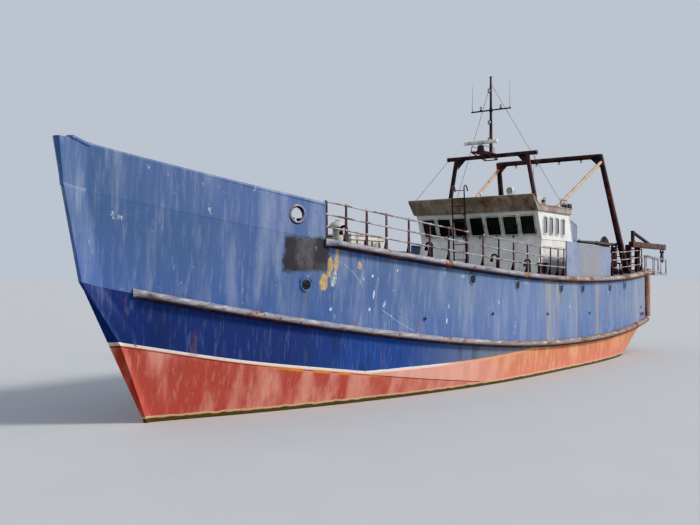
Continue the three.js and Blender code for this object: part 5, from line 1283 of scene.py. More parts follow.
roof_outline = [(ROOF_RUNS[0], ROOF_FOOT), (ROOF_RUNS[1], ROOF_FOOT), (BROW_RUN, BROW_TOP - 0.03),
                (BROW_RUN - 0.05, BROW_TOP), (ROOF_RUNS[1] - 0.16, ROOF_TOP), (ROOF_RUNS[0], ROOF_TOP)]
parts = [slab(roof_outline, 2 * ROOF_HALF, on_ship(0, 0, 0), (1, 0, 0), (0, 0, 1), 0.02)]
parts.append(tube([on_ship(BROW_RUN - 0.02, y, BROW_TOP - 0.012) for y in (-ROOF_HALF, ROOF_HALF)], 0.026,
                  12))
for side in (-1, 1):
    y = side * ROOF_HALF
    parts.append(tube([on_ship(ROOF_RUNS[0], y, ROOF_TOP - 0.01),
                       on_ship(ROOF_RUNS[1] - 0.16, y, ROOF_TOP - 0.01),
                       on_ship(BROW_RUN - 0.03, y, BROW_TOP - 0.015)], 0.024, 12))
    parts.append(tube([on_ship(ROOF_RUNS[0], y, ROOF_FOOT + 0.02), on_ship(ROOF_RUNS[1], y, ROOF_FOOT + 0.02),
                       on_ship(BROW_RUN, y, BROW_TOP - 0.04)], 0.02, 12))
parts.append(tube([on_ship(ROOF_RUNS[0], y, ROOF_TOP - 0.01) for y in (-ROOF_HALF, ROOF_HALF)], 0.024, 12))
rise = np.array([BROW_RUN - ROOF_RUNS[1], 0, BROW_TOP - 0.03 - ROOF_FOOT])
lean = rise / np.linalg.norm(rise)
for y in np.linspace(-2.5, 2.5, 9):
    parts.append(slab([(0.04, -0.004), (0.62, -0.004), (0.6, 0.03), (0.06, 0.03)], 0.012,
                      on_ship(ROOF_RUNS[1], y, ROOF_FOOT), lean, np.cross((0, -1, 0), lean), 0.002))
piece("wheelhouse_roof_plates", parts, fascia_paint, slot="fascia_paint", stands_for=["wheelhouse_roof"],
      crease=35)

# Portlights in the shelter side. A cast ring bolted over a round hole and painted over with the side, old
# salted glass painted near black as the shade of the hole behind it, and a short curved gutter to throw the
# water clear.
# Near-black glass and discs with paler flecks: painted shade for the dark holes in portlights, scuppers,
# slots and the mooring ring.
opening_painted_shade, tree, finish = material("portlight_and_bore_painted_shade", coat=0.3, Coat_Roughness=0.2)
where = position(tree)
salt = noise(tree, where, 16.0, detail=5.0, rough=0.7)
finish(over(tree, ramp(tree, salt, 0.42, 0.75), paint_rgb(15, 15, 18), paint_rgb(56, 58, 62)),
       ramp(tree, salt, 0.3, 0.7, (0.25, 0.6)))
PORT_RADIUS = 0.135


def on_side(run, z):
    """A place on the shelter side and the way out of it there, port side."""
    low, high = sheer("strake", run), sheer("rail", run)
    share = (z - low) / (high - low)
    y = [half_breadth(line, np.array([run - 0.1, run, run + 0.1]), BELT_DEPTH) for line in ("strake", "rail")]
    y = y[0] + (y[1] - y[0]) * share
    out = np.array([y[0] - y[2], 0.2, 0.0])
    return np.array([run - MIDSHIP, y[1], z]), out / np.linalg.norm(out)


rings, panes, gutters = [], [], []
for run, z in PORTHOLES:
    seat, out = on_side(run, z)
    rings.append(turned_ring([(PORT_RADIUS, -0.05), (PORT_RADIUS, 0.008), (PORT_RADIUS + 0.01, 0.02),
                              (PORT_RADIUS + 0.035, 0.022), (PORT_RADIUS + 0.048, 0.01),
                              (PORT_RADIUS + 0.05, -0.05)], seat, out, 36))
    for k in range(6):
        a = np.radians(60 * k + 30)
        along = np.cross((0, 0, 1.0), out)
        bolt = seat + (PORT_RADIUS + 0.027) * (np.cos(a) * along + np.sin(a) * np.array([0, 0, 1.0]))
        rings.append(lathe([(0, 0.015), (0.01, 0.015), (0.01, 0.027), (0.007, 0.03), (0, 0.03)], bolt, out,
                           6))
    panes.append(lathe([(0, 0.001), (PORT_RADIUS + 0.004, 0.001), (PORT_RADIUS + 0.004, 0.006), (0, 0.007)],
                       seat, out, 32))
    sweep = np.radians(np.linspace(20, 160, 15))
    along = np.cross((0, 0, 1.0), out)
    arc = seat + (PORT_RADIUS + 0.075) * (np.cos(sweep)[:, None] * along
                                          + np.sin(sweep)[:, None] * np.array([0, 0, 1.0])) + out * 0.02
    gutters.append(tube(arc, 0.011, 8))
pair_of_pieces("portlights", rings + panes + gutters,
               [topside] * len(rings) + [opening_painted_shade] * len(panes) + [topside] * len(gutters),
               slot="topside_paint", crease=40)


# Roof mast. A portal of two raking pipes on gusseted base plates with a beam across, a topmast stepped on
# the beam, a radar platform ahead of it, a yard with lamps and whip aerials, and wire stays.
MAST_RUN = 10.4
MAST_HALF = 2.0
MAST_LEAN = 0.8
MAST_BEAM = 8.5
MAST_TOP = 11.8
YARD_Z = 10.4
YARD_HALF = 0.9
RADAR_RUN = 11.3
rusty_iron, tree, finish = material("rusty_iron")
where = position(tree)
masks = use(tree, weather, Rust=0.72, Streaks=0.7, Scale=1.6)
rust = use(tree, rust_tone, Scale=1.4)
brown = tinted(tree, paint_rgb(52, 45, 47), paint_rgb(84, 73, 71), masks["Chalk"])
brown = over(tree, sums(tree, "MULTIPLY", masks["Run"], 0.45), brown, paint_rgb(112, 82, 66))
shown = over(tree, sums(tree, "MULTIPLY", masks["Rust"], 0.6), brown, rust["Color"])
finish(over(tree, sums(tree, "MULTIPLY", masks["Chips"], 0.4), shown, paint_rgb(140, 124, 114)),
       ramp(tree, masks["Rust"], 0.0, 1.0, (0.55, 0.92)), masks["Height"], strength=0.6, distance=0.006)

wire_steel, tree, finish = material("wire_steel", metallic=0.6)
lay = put(tree, "TexWave", {"Vector": position(tree), "Scale": 40.0, "Distortion": 2.0},
          bands_direction="DIAGONAL").outputs["Fac"]
grime = noise(tree, position(tree), 6.0, detail=5.0)
finish(over(tree, ramp(tree, grime, 0.4, 0.62), paint_rgb(96, 94, 92), paint_rgb(96, 70, 52)),
       ramp(tree, grime, 0.3, 0.7, (0.45, 0.75)), lay, strength=0.4, distance=0.003)

lamp_glass, tree, finish = material("lamp_glass", coat=0.5, Transmission_Weight=0.3)
haze = noise(tree, position(tree), 9.0, detail=5.0)
finish(over(tree, haze, paint_rgb(196, 196, 188), paint_rgb(150, 144, 130)),
       ramp(tree, haze, 0.3, 0.7, (0.1, 0.4)))


def base_plate(seat, half, thick, bolts=4):
    """A square foot plate with rounded edges and a nut near each corner."""
    seat = np.asarray(seat, float)
    made = [ball_box(seat + (-half, -half, 0), seat + (half, half, thick), 0.006)]
    for k in range(bolts):
        a = np.radians(90 * k + 45)
        corner = seat + np.array([np.cos(a), np.sin(a), 0]) * half * 1.15 + (0, 0, thick)
        made.append(lathe([(0, -0.005), (0.022, -0.005), (0.022, 0.02), (0.012, 0.024), (0.012, 0.034),
                           (0, 0.034)], corner, sides=6))
    return made


def gussets(foot, axis, radius, reach, rise, count=4, turn=45.0):
    """Triangular plates between a pipe and its foot plate, spread evenly round it."""
    made = []
    for k in range(count):
        a = np.radians(360 / count * k + turn)
        out = np.array([np.cos(a), np.sin(a), 0.0])
        made.append(slab([(radius * 0.9, 0), (radius * 0.9, rise), (radius + 0.012, rise), (reach, 0.02),
                          (reach, 0)], 0.012, foot, out, axis, 0.002))
    return made


iron, white_bits, wires, lenses = [], [], [], []
head = {side: on_ship(MAST_RUN, side * MAST_HALF * MAST_LEAN, MAST_BEAM) for side in (-1, 1)}
for side in (-1, 1):
    foot = on_ship(MAST_RUN, side * MAST_HALF, ROOF_TOP)
    iron.append(tube([foot + (0, 0, 0.01), head[side]], 0.09, 24))
    iron += base_plate(foot, 0.19, 0.03)
    iron += gussets(foot + (0, 0, 0.028), (0, 0, 1.0), 0.09, 0.17, 0.22)
    iron.append(lathe([(0, -0.02), (0.088, -0.02), (0.098, -0.005), (0.098, 0.02), (0.07, 0.04), (0, 0.045)],
                      on_ship(MAST_RUN, side * 2.0, MAST_BEAM), (0, side * 1.0, 0), 24))
    knee = head[side] - (0, side * 0.05, 0)
    iron.append(slab([(0.0, 0.0), (-0.42, 0.0), (-0.42, -0.03), (0.0, -0.45)], 0.016, knee,
                     (0, side * 1.0, 0), (0, 0, 1.0)))
    wires.append(tube([on_ship(MAST_RUN, 0.0, 11.5), on_ship(9.0, side * 2.6, ROOF_TOP)], 0.008, 8))
    wires.append(tube([on_ship(MAST_RUN, side * 1.95, MAST_BEAM), on_ship(12.2, side * 2.6, 6.58)], 0.008, 8))
iron.append(tube([on_ship(MAST_RUN, y, MAST_BEAM) for y in (-2.0, 2.0)], 0.085, 24))
iron.append(tube([on_ship(MAST_RUN, 0, z) for z in (MAST_BEAM - 0.04, 9.4, 10.6, MAST_TOP - 0.03)],
                 [0.075, 0.065, 0.05, 0.04], 24))
iron.append(lathe([(0, -0.03), (0.04, -0.03), (0.06, -0.015), (0.06, 0.005), (0.03, 0.02), (0, 0.024)],
                  on_ship(MAST_RUN, 0, MAST_TOP - 0.024), sides=20))
for z, radius in ((MAST_BEAM + 0.1, 0.105), (YARD_Z - 0.05, 0.066), (YARD_Z + 0.05, 0.066)):
    iron.append(lathe([(0, -0.03), (radius - 0.01, -0.03), (radius, -0.02), (radius, 0.02),
                       (radius - 0.01, 0.03), (0, 0.03)], on_ship(MAST_RUN, 0, z), sides=24))
iron.append(tube([on_ship(MAST_RUN, y, YARD_Z) for y in (-YARD_HALF, YARD_HALF)], 0.03, 16))
iron.append(ball_box(on_ship(MAST_RUN - 0.06, -0.3, MAST_BEAM + 0.03),
                     on_ship(RADAR_RUN + 0.3, 0.3, MAST_BEAM + 0.08), 0.008))
for y in (-0.27, 0.27):
    iron.append(tube([on_ship(MAST_RUN, y, MAST_BEAM), on_ship(MAST_RUN, y, MAST_BEAM - 0.18)], 0.026, 12))
    iron.append(tube([on_ship(RADAR_RUN + 0.25, y, MAST_BEAM + 0.03),
                      on_ship(MAST_RUN, y, MAST_BEAM - 0.165)], 0.022, 12))
    iron.append(bent_bar([on_ship(MAST_RUN + 0.25, y, MAST_BEAM + 0.06),
                          on_ship(MAST_RUN + 0.25, y, MAST_BEAM + 0.28),
                          on_ship(RADAR_RUN + 0.27, y, MAST_BEAM + 0.28),
                          on_ship(RADAR_RUN + 0.27, y, MAST_BEAM + 0.06)], 0.012, 10, 0.05))
iron.append(tube([on_ship(MAST_RUN, y, MAST_BEAM - 0.165) for y in (-0.29, 0.29)], 0.022, 12))
iron.append(lathe([(0, 0.0), (0.17, 0.0), (0.17, 0.02), (0.15, 0.03), (0.14, 0.12), (0.125, 0.22),
                   (0.12, 0.255), (0, 0.255)], on_ship(RADAR_RUN, 0, MAST_BEAM + 0.075), sides=32))
for y in (-0.85, -0.45, 0.45, 0.85):
    tip = on_ship(MAST_RUN, y, YARD_Z)
    if abs(y) > 0.6:
        wires.append(tube([tip, tip + (0, 0, 1.1)], [0.009, 0.004], 8))
        white_bits.append(lathe([(0, 0), (0.02, 0), (0.022, 0.09), (0.01, 0.1), (0, 0.1)], tip, sides=14))
    else:
        iron.append(lathe([(0, 0), (0.05, 0), (0.05, 0.03), (0, 0.03)], tip + (0, 0, 0.02), sides=20))
        lenses.append(lathe([(0, 0), (0.04, 0), (0.045, 0.03), (0.045, 0.09), (0.035, 0.11), (0, 0.11)],
                            tip + (0, 0, 0.05), sides=20))
        iron.append(lathe([(0, 0), (0.052, 0), (0.04, 0.02), (0, 0.03)], tip + (0, 0, 0.158), sides=20))
for z in (9.1, 9.8, 11.1):
    seat = on_ship(MAST_RUN + 0.17, 0, z)
    iron.append(ball_box(seat + (-0.14, -0.03, -0.012), seat + (0.07, 0.03, 0.0), 0.004))
    lenses.append(lathe([(0, 0), (0.05, 0), (0.055, 0.03), (0.055, 0.1), (0.045, 0.12), (0, 0.12)], seat,
                        sides=20))
    iron.append(lathe([(0, 0), (0.062, 0), (0.045, 0.025), (0, 0.03)], seat + (0, 0, 0.118), sides=20))
piece("roof_mast_and_stays", iron + white_bits + wires + lenses,
      [rusty_iron] * len(iron) + [rail_white] * len(white_bits) + [wire_steel] * len(wires)
      + [lamp_glass] * len(lenses), slot="rusty_steel", stands_for=["roof_mast"], crease=40)


# Radar scanner. A slotted-array bar of moulded white plastic on a turned neck, which sits on the shaft that
# comes up through the pedestal and turns with it.
white_plastic, tree, finish = material("white_plastic")
where = position(tree)
grime = noise(tree, where, 2.5, stretch=(1, 1, 0.3), detail=6.0)
shell_white = over(tree, ramp(tree, grime, 0.42, 0.7), paint_rgb(226, 226, 222), paint_rgb(176, 172, 160))
finish(shell_white, ramp(tree, grime, 0.3, 0.7, (0.35, 0.6)), grime, strength=0.1, distance=0.002)
neck = on_ship(RADAR_RUN, 0, 8.83045)
parts = [lathe([(0, 0), (0.06, 0), (0.06, 0.03), (0.05, 0.045), (0.055, 0.07), (0, 0.075)], neck, sides=28),
         ball_box(neck + (-0.08, -0.75, 0.06), neck + (0.08, 0.75, 0.19), 0.03, 4),
         ball_box(neck + (0.07, -0.7, 0.085), neck + (0.088, 0.7, 0.165), 0.008),
         ball_box(neck + (-0.06, -0.16, 0.05), neck + (0.06, 0.16, 0.075), 0.01)]
piece("radar_scanner_array", parts, white_plastic, body="radar_scanner", slot="white_paint",
      stands_for=["radar_scanner"], crease=40)


# Ladder up the wheelhouse front. Two pipes with round rungs through them, flat feet on the deck, and hooked
# heads over the brow.
LADDER_SIDES = (-0.65, -0.1)
LADDER_RUNS = (12.3, 12.52)
LADDER_TOP = 7.15


def deck_at(run, y):
    """Height of the shelter deck: the deck edge plus a camber that falls evenly from the centreline."""
    half = float(half_breadth("rail", np.array(run), BELT_DEPTH))
    return float(sheer("rail", run)) + DECK_CAMBER * (1 - abs(y) / half)


parts = []
for y in LADDER_SIDES:
    foot = on_ship(LADDER_RUNS[0], y, deck_at(LADDER_RUNS[0], y))
    top = on_ship(LADDER_RUNS[1], y, LADDER_TOP - 0.02)
    parts.append(bent_bar([foot - (0, 0, 0.02), top, top + (-0.2, 0, 0.02), top + (-0.3, 0, -0.2)], 0.026,
                          16, 0.12))
    parts += base_plate(foot, 0.07, 0.016)
    for share in (0.3, 0.7):
        spot = foot + (top - foot) * share
        parts.append(lathe([(0, -0.04), (0.034, -0.04), (0.034, 0.04), (0, 0.04)], spot, top - foot, 16))
foot_z = deck_at(LADDER_RUNS[0], 0.4)
for k in range(11):
    share = (k + 0.7) / 11.4
    spot = on_ship(LADDER_RUNS[0] + (LADDER_RUNS[1] - LADDER_RUNS[0]) * share, 0,
                   foot_z + (LADDER_TOP - foot_z) * share)
    parts.append(tube([spot + (0, LADDER_SIDES[0] - 0.03, 0), spot + (0, LADDER_SIDES[1] + 0.03, 0)], 0.015,
                      12))
piece("wheelhouse_ladder_bars", parts, rusty_iron, slot="rusty_steel", stands_for=["wheelhouse_ladder"],
      crease=40)


# Exhaust casings. Round-cornered plate boxes with a sloping top, louvred on the outboard side and aft, a
# lagged exhaust pipe through each with a hinged rain cap; blue like the topsides, sooty round the pipe.
FUNNEL_RUNS = (7.25, 8.15)
FUNNEL_SIDES = (1.6, 2.45)
FUNNEL_TOP = 5.95
FUNNEL_FALL = 0.22
casing_paint, tree, finish = material("casing_paint")
where = position(tree)
run, side, height = axes(tree, where)
masks = use(tree, weather, Rust=0.55, Streaks=0.75, Scale=1.5)
blue = tinted(tree, paint_rgb(92, 112, 158), paint_rgb(140, 150, 172), masks["Chalk"])
soot_edge = sums(tree, "MULTIPLY_ADD", noise(tree, where, 3.0, detail=5.0), 0.8, height)
blue = over(tree, ramp(tree, soot_edge, 5.9, 6.7, (0.0, 0.85)), blue, paint_rgb(40, 38, 40))
shown, mask = rusted(tree, blue, masks, share=0.9, runs=0.8)
finish(shown, ramp(tree, mask, 0.0, 1.0, (0.5, 0.88)), masks["Height"], strength=0.5, distance=0.006)

soot, tree, finish = material("sooty_pipe")
masks = use(tree, weather, Rust=0.8, Streaks=0.5, Scale=2.5)
rust = use(tree, rust_tone, Scale=2.0)
finish(over(tree, sums(tree, "MULTIPLY", masks["Rust"], 0.7), paint_rgb(38, 35, 34), rust["Color"]),
       ramp(tree, masks["Chalk"], 0.3, 0.7, (0.75, 0.95)), masks["Height"], strength=0.5, distance=0.004)

across = (FUNNEL_SIDES[1] - FUNNEL_SIDES[0]) / 2
long = (FUNNEL_RUNS[1] - FUNNEL_RUNS[0]) / 2
centre = on_ship(sum(FUNNEL_RUNS) / 2, sum(FUNNEL_SIDES) / 2, 0)
rings = []
for z, fall, drawn in ((3.6, 0, 0), (5.5, 0, 0), (FUNNEL_TOP - 0.03, 1, 0), (FUNNEL_TOP - 0.01, 1, 0.008),
                       (FUNNEL_TOP, 1, 0.03)):
    loop, _ = rounded_loop(long - drawn, across - drawn, 0.07, 8)
    drop = FUNNEL_FALL * fall * (long - loop[:, 0]) / (2 * long)
    rings.append(np.concatenate([centre[:2] + loop, (z - drop)[:, None]], 1))
casing = [loft(np.array(rings))]
band = rounded_loop(long + 0.012, across + 0.012, 0.075, 8)
for z in (3.72, 4.9):
    casing.append(framed(band, [(-0.016, -0.03), (0.012, -0.03), (0.012, 0.03), (-0.016, 0.03)],
                         centre + (0, 0, z), (1, 0, 0), (0, 1, 0)))
for k in range(6):
    z = 4.2 + 0.1 * k
    louvre = [(-0.01, -0.035), (0.03, -0.035), (0.034, -0.028), (-0.004, 0.035), (-0.01, 0.035)]
    path = np.array([centre + (x, across, z) for x in (-0.3, 0.3)])
    casing.append(carried(louvre, path, (0, 1.0, 0)))
    path = np.array([centre + (-long, y, z) for y in (0.28, -0.28)])
    casing.append(carried(louvre, path, (-1.0, 0, 0)))
pipe_foot, pipe_head = on_ship(7.65, 2.025, 5.6), on_ship(7.56, 2.025, 6.48)
pipes = [tube([pipe_foot, pipe_head], 0.12, 28),
         turned_ring([(0.11, -0.02), (0.15, -0.02), (0.15, 0.05), (0.11, 0.05)], on_ship(7.63, 2.025, 5.83)),
         lathe([(0, -0.01), (0.1, -0.01), (0.1, 0.0), (0, 0.004)], pipe_head, pipe_head - pipe_foot, 28)]
hinge_pin = pipe_head + (-0.13, 0, 0.02)
cap = lathe([(0, -0.006), (0.14, -0.006), (0.145, 0.0), (0.14, 0.006), (0, 0.006)],
            hinge_pin + 0.13 * np.array([0.8575, 0, 0.5145]), (-0.6, 0, 1.0), 28)
pipes += [cap, tube([hinge_pin + (0, -0.07, 0), hinge_pin + (0, 0.07, 0)], 0.014, 12)]
pipes += [ball_box(hinge_pin + (-0.02, y - 0.01, -0.07), hinge_pin + (0.04, y + 0.01, 0.018), 0.004)
          for y in (-0.05, 0.05)]
pair_of_pieces("exhaust_casing", casing + pipes, [casing_paint] * len(casing) + [soot] * len(pipes),
               slot="topside_paint", stands_for="funnel", crease=40)


# Floodlights. A lamp case with cooling fins and a glass front, in a yoke on a bracket at each aft corner
# of the wheelhouse roof, turned to light the working deck.
dark_paint, tree, finish = material("dark_paint")
where = position(tree)
masks = use(tree, weather, Rust=0.6, Streaks=0.4, Scale=2.2)
charcoal = tinted(tree, paint_rgb(42, 42, 46), paint_rgb(78, 76, 78), masks["Chalk"])
shown, mask = rusted(tree, charcoal, masks, share=0.85, runs=0.5, scale=2.0)
finish(shown, ramp(tree, mask, 0.0, 1.0, (0.45, 0.85)), masks["Height"], strength=0.4, distance=0.004)

lamp = on_ship(8.3, 2.39, 6.43)
cases = [ball_box(lamp + (-0.1, -0.16, -0.13), lamp + (0.13, 0.16, 0.11), 0.03, 4)]
cases += [ball_box(lamp + (-0.02 + 0.035 * k, -0.13, 0.09), lamp + (-0.01 + 0.035 * k, 0.13, 0.135), 0.004)
          for k in range(4)]
bezel_loop = rounded_loop(0.165, 0.125, 0.03)
cases.append(framed(bezel_loop, [(-0.03, -0.05), (0.006, -0.05), (0.008, 0.02), (-0.012, 0.02), (-0.02, 0.0),
                                 (-0.03, 0.0)], lamp + (-0.12, 0, -0.01), (0, -1.0, 0), (0, 0, 1.0)))
cases.append(ball_box(lamp + (-0.2, -0.165, 0.105), lamp + (-0.1, 0.165, 0.117), 0.004))
front = [ball_box(lamp + (-0.125, -0.15, -0.12), lamp + (-0.1, 0.15, 0.1), 0.006)]
stem = on_ship(8.3, 2.39, ROOF_FOOT + 0.12)
cases.append(bent_bar([lamp + (0.02, -0.185, 0.0), lamp + (0.02, -0.185, -0.18), lamp + (0.02, 0.185, -0.18),
                       lamp + (0.02, 0.185, 0.0)], 0.014, 10, 0.03))
cases += [tube([lamp + (0.02, side * 0.15, 0), lamp + (0.02, side * 0.2, 0)], 0.022, 12) for side in (-1, 1)]
cases.append(tube([stem - (0, 0, 0.03), lamp + (0.02, 0, -0.17)], 0.03, 16))
cases.append(ball_box(on_ship(8.25, 2.33, ROOF_FOOT + 0.06), on_ship(8.64, 2.45, ROOF_FOOT + 0.12), 0.01))
cases.append(ball_box(on_ship(8.58, 2.28, ROOF_FOOT + 0.02), on_ship(8.64, 2.5, ROOF_FOOT + 0.18), 0.01))
cases.append(slab([(0, 0.0), (-0.3, 0.0), (0.0, -0.05)], 0.012, on_ship(8.6, 2.39, ROOF_FOOT + 0.065),
                  (1, 0, 0), (0, 0, 1.0), 0.001))
pair_of_pieces("floodlight_lamp", cases + front, [dark_paint] * len(cases) + [lamp_glass] * len(front),
               slot="dark_steel", stands_for="floodlight", crease=40)


# Stern gantry. Two raking tapered legs welded to pads on the deck and joined by a crosshead, with knee plates
# at the corners and shackle eyes under the head; bare brown steel.
GANTRY_FOOT = (2.76, 3.0, 3.8)
GANTRY_HEAD = (4.7, 2.5, 9.0)
GANTRY_RADII = (0.15, 0.115)


def gantry_at(side, z):
    """The middle of a gantry leg at a height."""
    share = (z - GANTRY_FOOT[2]) / (GANTRY_HEAD[2] - GANTRY_FOOT[2])
    place = np.array(GANTRY_FOOT) + (np.array(GANTRY_HEAD) - np.array(GANTRY_FOOT)) * share
    return on_ship(place[0], side * place[1], z)


parts = []
for side in (-1, 1):
    low, high = gantry_at(side, 3.5), gantry_at(side, 9.0)
    parts.append(tube([low, high], GANTRY_RADII, 32))
    parts.append(lathe([(0, -0.02), (0.113, -0.02), (0.124, -0.005), (0.12, 0.012), (0, 0.03)], high,
                       high - low, 32))
    deck = deck_at(GANTRY_FOOT[0], 3.0)
    pad = on_ship(GANTRY_FOOT[0] - 0.075, side * 3.0, 0)
    parts.append(ball_box(pad + (-0.255, -0.26, deck - 0.1), pad + (0.255, 0.26, deck + 0.07), 0.012))
    foot = gantry_at(side, deck + 0.07)
    rake = (high - low) / np.linalg.norm(high - low)
    parts += gussets(foot, rake, 0.145, 0.25, 0.3, 4, 45)
    for z in (4.6, 6.2, 7.6):
        spot = gantry_at(side, z)
        radius = np.interp(z, (3.5, 9.0), GANTRY_RADII) + 0.008
        parts.append(lathe([(0, -0.03), (radius - 0.006, -0.03), (radius, -0.02), (radius, 0.02),
                            (radius - 0.006, 0.03), (0, 0.03)], spot, rake, 32))
    parts.append(slab([(0, 0), (-0.42, 0), (-0.42, -0.03), (-0.02, -0.42), (0.02, -0.42)], 0.018,
                      gantry_at(side, 8.94) - (0, side * 0.05, 0.05), (0, side * 1.0, 0), (0, 0, 1.0)))
parts.append(tube([gantry_at(-1, 8.94), gantry_at(1, 8.94)], 0.11, 28))
for y in (-1.6, -0.55, 0.55, 1.6):
    eye_at = on_ship(gantry_at(1, 8.94)[0] + MIDSHIP, y, 8.94)
    parts.append(slab([(-0.05, -0.16), (0.05, -0.16), (0.09, -0.05), (-0.09, -0.05)], 0.024, eye_at,
                      (1, 0, 0), (0, 0, 1.0)))
    turns = np.radians(np.linspace(0, 360, 25))[:-1]
    parts.append(hoop(np.stack([eye_at + (0, 0.05 * np.cos(a), -0.185 + 0.05 * np.sin(a)) + 0.011
                                * (np.cos(b) * np.array([0, np.cos(a), np.sin(a)]) + np.sin(b)
                                   * np.array([1.0, 0, 0])) for a in turns
                                for b in np.radians(np.arange(0, 360, 45))]).reshape(24, 8, 3)))
piece("stern_gantry_pipes", parts, rusty_iron, slot="rusty_steel", stands_for=["stern_gantry"], crease=40)


# Gantry struts. A pipe from a gusseted foot plate on each aft corner of the wheelhouse roof up to the head of
# the gantry, painted buff, with two sleeves along it.
tan_paint, tree, finish = material("tan_paint")
masks = use(tree, weather, Rust=0.6, Streaks=0.6, Scale=2.0)
buff = tinted(tree, paint_rgb(176, 140, 108), paint_rgb(200, 176, 150), masks["Chalk"])
shown, mask = rusted(tree, buff, masks, share=0.9, runs=0.7, scale=2.0)
finish(shown, ramp(tree, mask, 0.0, 1.0, (0.5, 0.85)), masks["Height"], strength=0.4, distance=0.004)
low, high = on_ship(8.82, 2.15, 6.36), gantry_at(1, 8.72)
parts = [tube([low, high], 0.07, 24), *base_plate(on_ship(8.825, 2.15, ROOF_TOP), 0.14, 0.03)]
parts += gussets(on_ship(8.82, 2.15, ROOF_TOP + 0.028), (0, 0, 1.0), 0.06, 0.13, 0.16)
for share in (0.25, 0.62):
    spot = low + (high - low) * share
    parts.append(lathe([(0, -0.05), (0.072, -0.05), (0.078, -0.04), (0.078, 0.04), (0.072, 0.05),
                        (0, 0.05)], spot, high - low, 24))
pair_of_pieces("gantry_strut_pipe", parts, tan_paint, slot="tan_paint", stands_for="gantry_strut", crease=40)

# Gallows. On each quarter a box beam carried out over the stern by two posts and a raking stay, knee
# plates beside the posts, and two cheeks with a pin near its end for the towing block.
GALLOWS_Y = 3.15
GALLOWS_ARM = 5.05
GALLOWS_RUNS = (-2.45, 2.56)
STAY_TOP = 5.62
HANGER_RUN = -2.15
HANGER_Z = 4.8


def bolt_head(seat, axis, size=0.018):
    """A hexagon nut on a washer."""
    return lathe([(0, -0.01), (size * 1.5, -0.01), (size * 1.5, 0.003), (size, 0.003), (size, size),
                  (size * 0.8, size * 1.1), (0, size * 1.15)], seat, axis, 6)


arm = on_ship(0, GALLOWS_Y, GALLOWS_ARM)
parts = [ball_box(arm + (GALLOWS_RUNS[0], -0.11, -0.13), arm + (GALLOWS_RUNS[1], 0.11, 0.13), 0.02, 3)]
parts.append(ball_box(on_ship(0.59, GALLOWS_Y - 0.42, 3.55), on_ship(0.81, GALLOWS_Y - 0.21, 5.0), 0.014))
parts.append(ball_box(on_ship(0.59, GALLOWS_Y - 0.42, 4.92), on_ship(0.81, GALLOWS_Y, 5.05), 0.012))
parts.append(ball_box(on_ship(2.2, GALLOWS_Y - 0.33, 3.55), on_ship(2.4, GALLOWS_Y - 0.09, 5.04), 0.014))
parts.append(tube([on_ship(2.3, GALLOWS_Y, STAY_TOP), on_ship(-0.3, GALLOWS_Y, 5.11)], 0.075, 24))
parts.append(tube([on_ship(2.3, GALLOWS_Y, 5.0), on_ship(2.3, GALLOWS_Y, STAY_TOP + 0.04)], 0.085, 24))
parts.append(lathe([(0, -0.02), (0.088, -0.02), (0.096, -0.008), (0.09, 0.02), (0, 0.035)],
                   on_ship(2.3, GALLOWS_Y, STAY_TOP + 0.04), sides=24))
for run in (0.48, 0.92):
    side_out = -1.0 if run < 0.7 else 1.0
    corner = on_ship(0.7 + side_out * 0.1, GALLOWS_Y - 0.31, 4.93)
    parts.append(slab([(0, 0), (0.26, 0), (0.26, -0.02), (0, -0.28)], 0.014, corner, (side_out, 0, 0),
                      (0, 0, 1.0)))
corner = on_ship(2.3, GALLOWS_Y, 5.17)
parts.append(slab([(0, 0), (0.3, 0), (0.3, 0.02), (0, 0.3)], 0.014, corner - (0.07, 0, 0), (-1.0, 0, 0),
                  (0, 0, 1.0)))
for y in (-0.075, 0.045):
    parts.append(slab([(-0.06, 0.16), (-0.075, 0.02), (-0.055, -0.045), (0, -0.068), (0.055, -0.045),
                       (0.075, 0.02), (0.06, 0.16)], 0.03,
                      on_ship(HANGER_RUN, GALLOWS_Y + y + 0.015, HANGER_Z), (1, 0, 0), (0, 0, 1.0)))
parts.append(tube([on_ship(HANGER_RUN, GALLOWS_Y - 0.1, HANGER_Z),
                   on_ship(HANGER_RUN, GALLOWS_Y + 0.1, HANGER_Z)], 0.022, 20))
for y in (-0.075, 0.075):
    parts.append(bolt_head(on_ship(HANGER_RUN, GALLOWS_Y + y, HANGER_Z), (0, np.sign(y), 0), 0.032))
for run in (-2.43, -1.2, 1.5):
    parts.append(ball_box(on_ship(run, GALLOWS_Y - 0.12, 4.91), on_ship(run + 0.03, GALLOWS_Y + 0.12, 5.19),
                          0.006))
parts += base_plate(on_ship(0.7, GALLOWS_Y - 0.315, deck_at(0.7, 2.83) - 0.02), 0.18, 0.045)
parts += base_plate(on_ship(2.3, GALLOWS_Y - 0.21, deck_at(2.3, 2.94) - 0.02), 0.18, 0.045)
pair_of_pieces("gallows_beam", parts, rusty_iron, slot="rusty_steel", stands_for="gallows", crease=40)


# Towing blocks. Two steel cheeks either side of a grooved sheave on its own axle, a distance piece between
# them over the sheave, hung by the head on the gallows pin.
SHEAVE_DROP = 0.33
worn_steel, tree, finish = material("worn_steel", metallic=0.7)
where = position(tree)
masks = use(tree, weather, Rust=0.35, Streaks=0.3, Scale=3.0)
rust = use(tree, rust_tone, Scale=3.0)
grey = over(tree, ramp(tree, masks["Chalk"], 0.35, 0.65), paint_rgb(92, 90, 88), paint_rgb(134, 130, 126))
finish(over(tree, masks["Rust"], grey, rust["Color"]), ramp(tree, masks["Rust"], 0.0, 1.0, (0.35, 0.85)),
       masks["Height"], strength=0.3, distance=0.002)


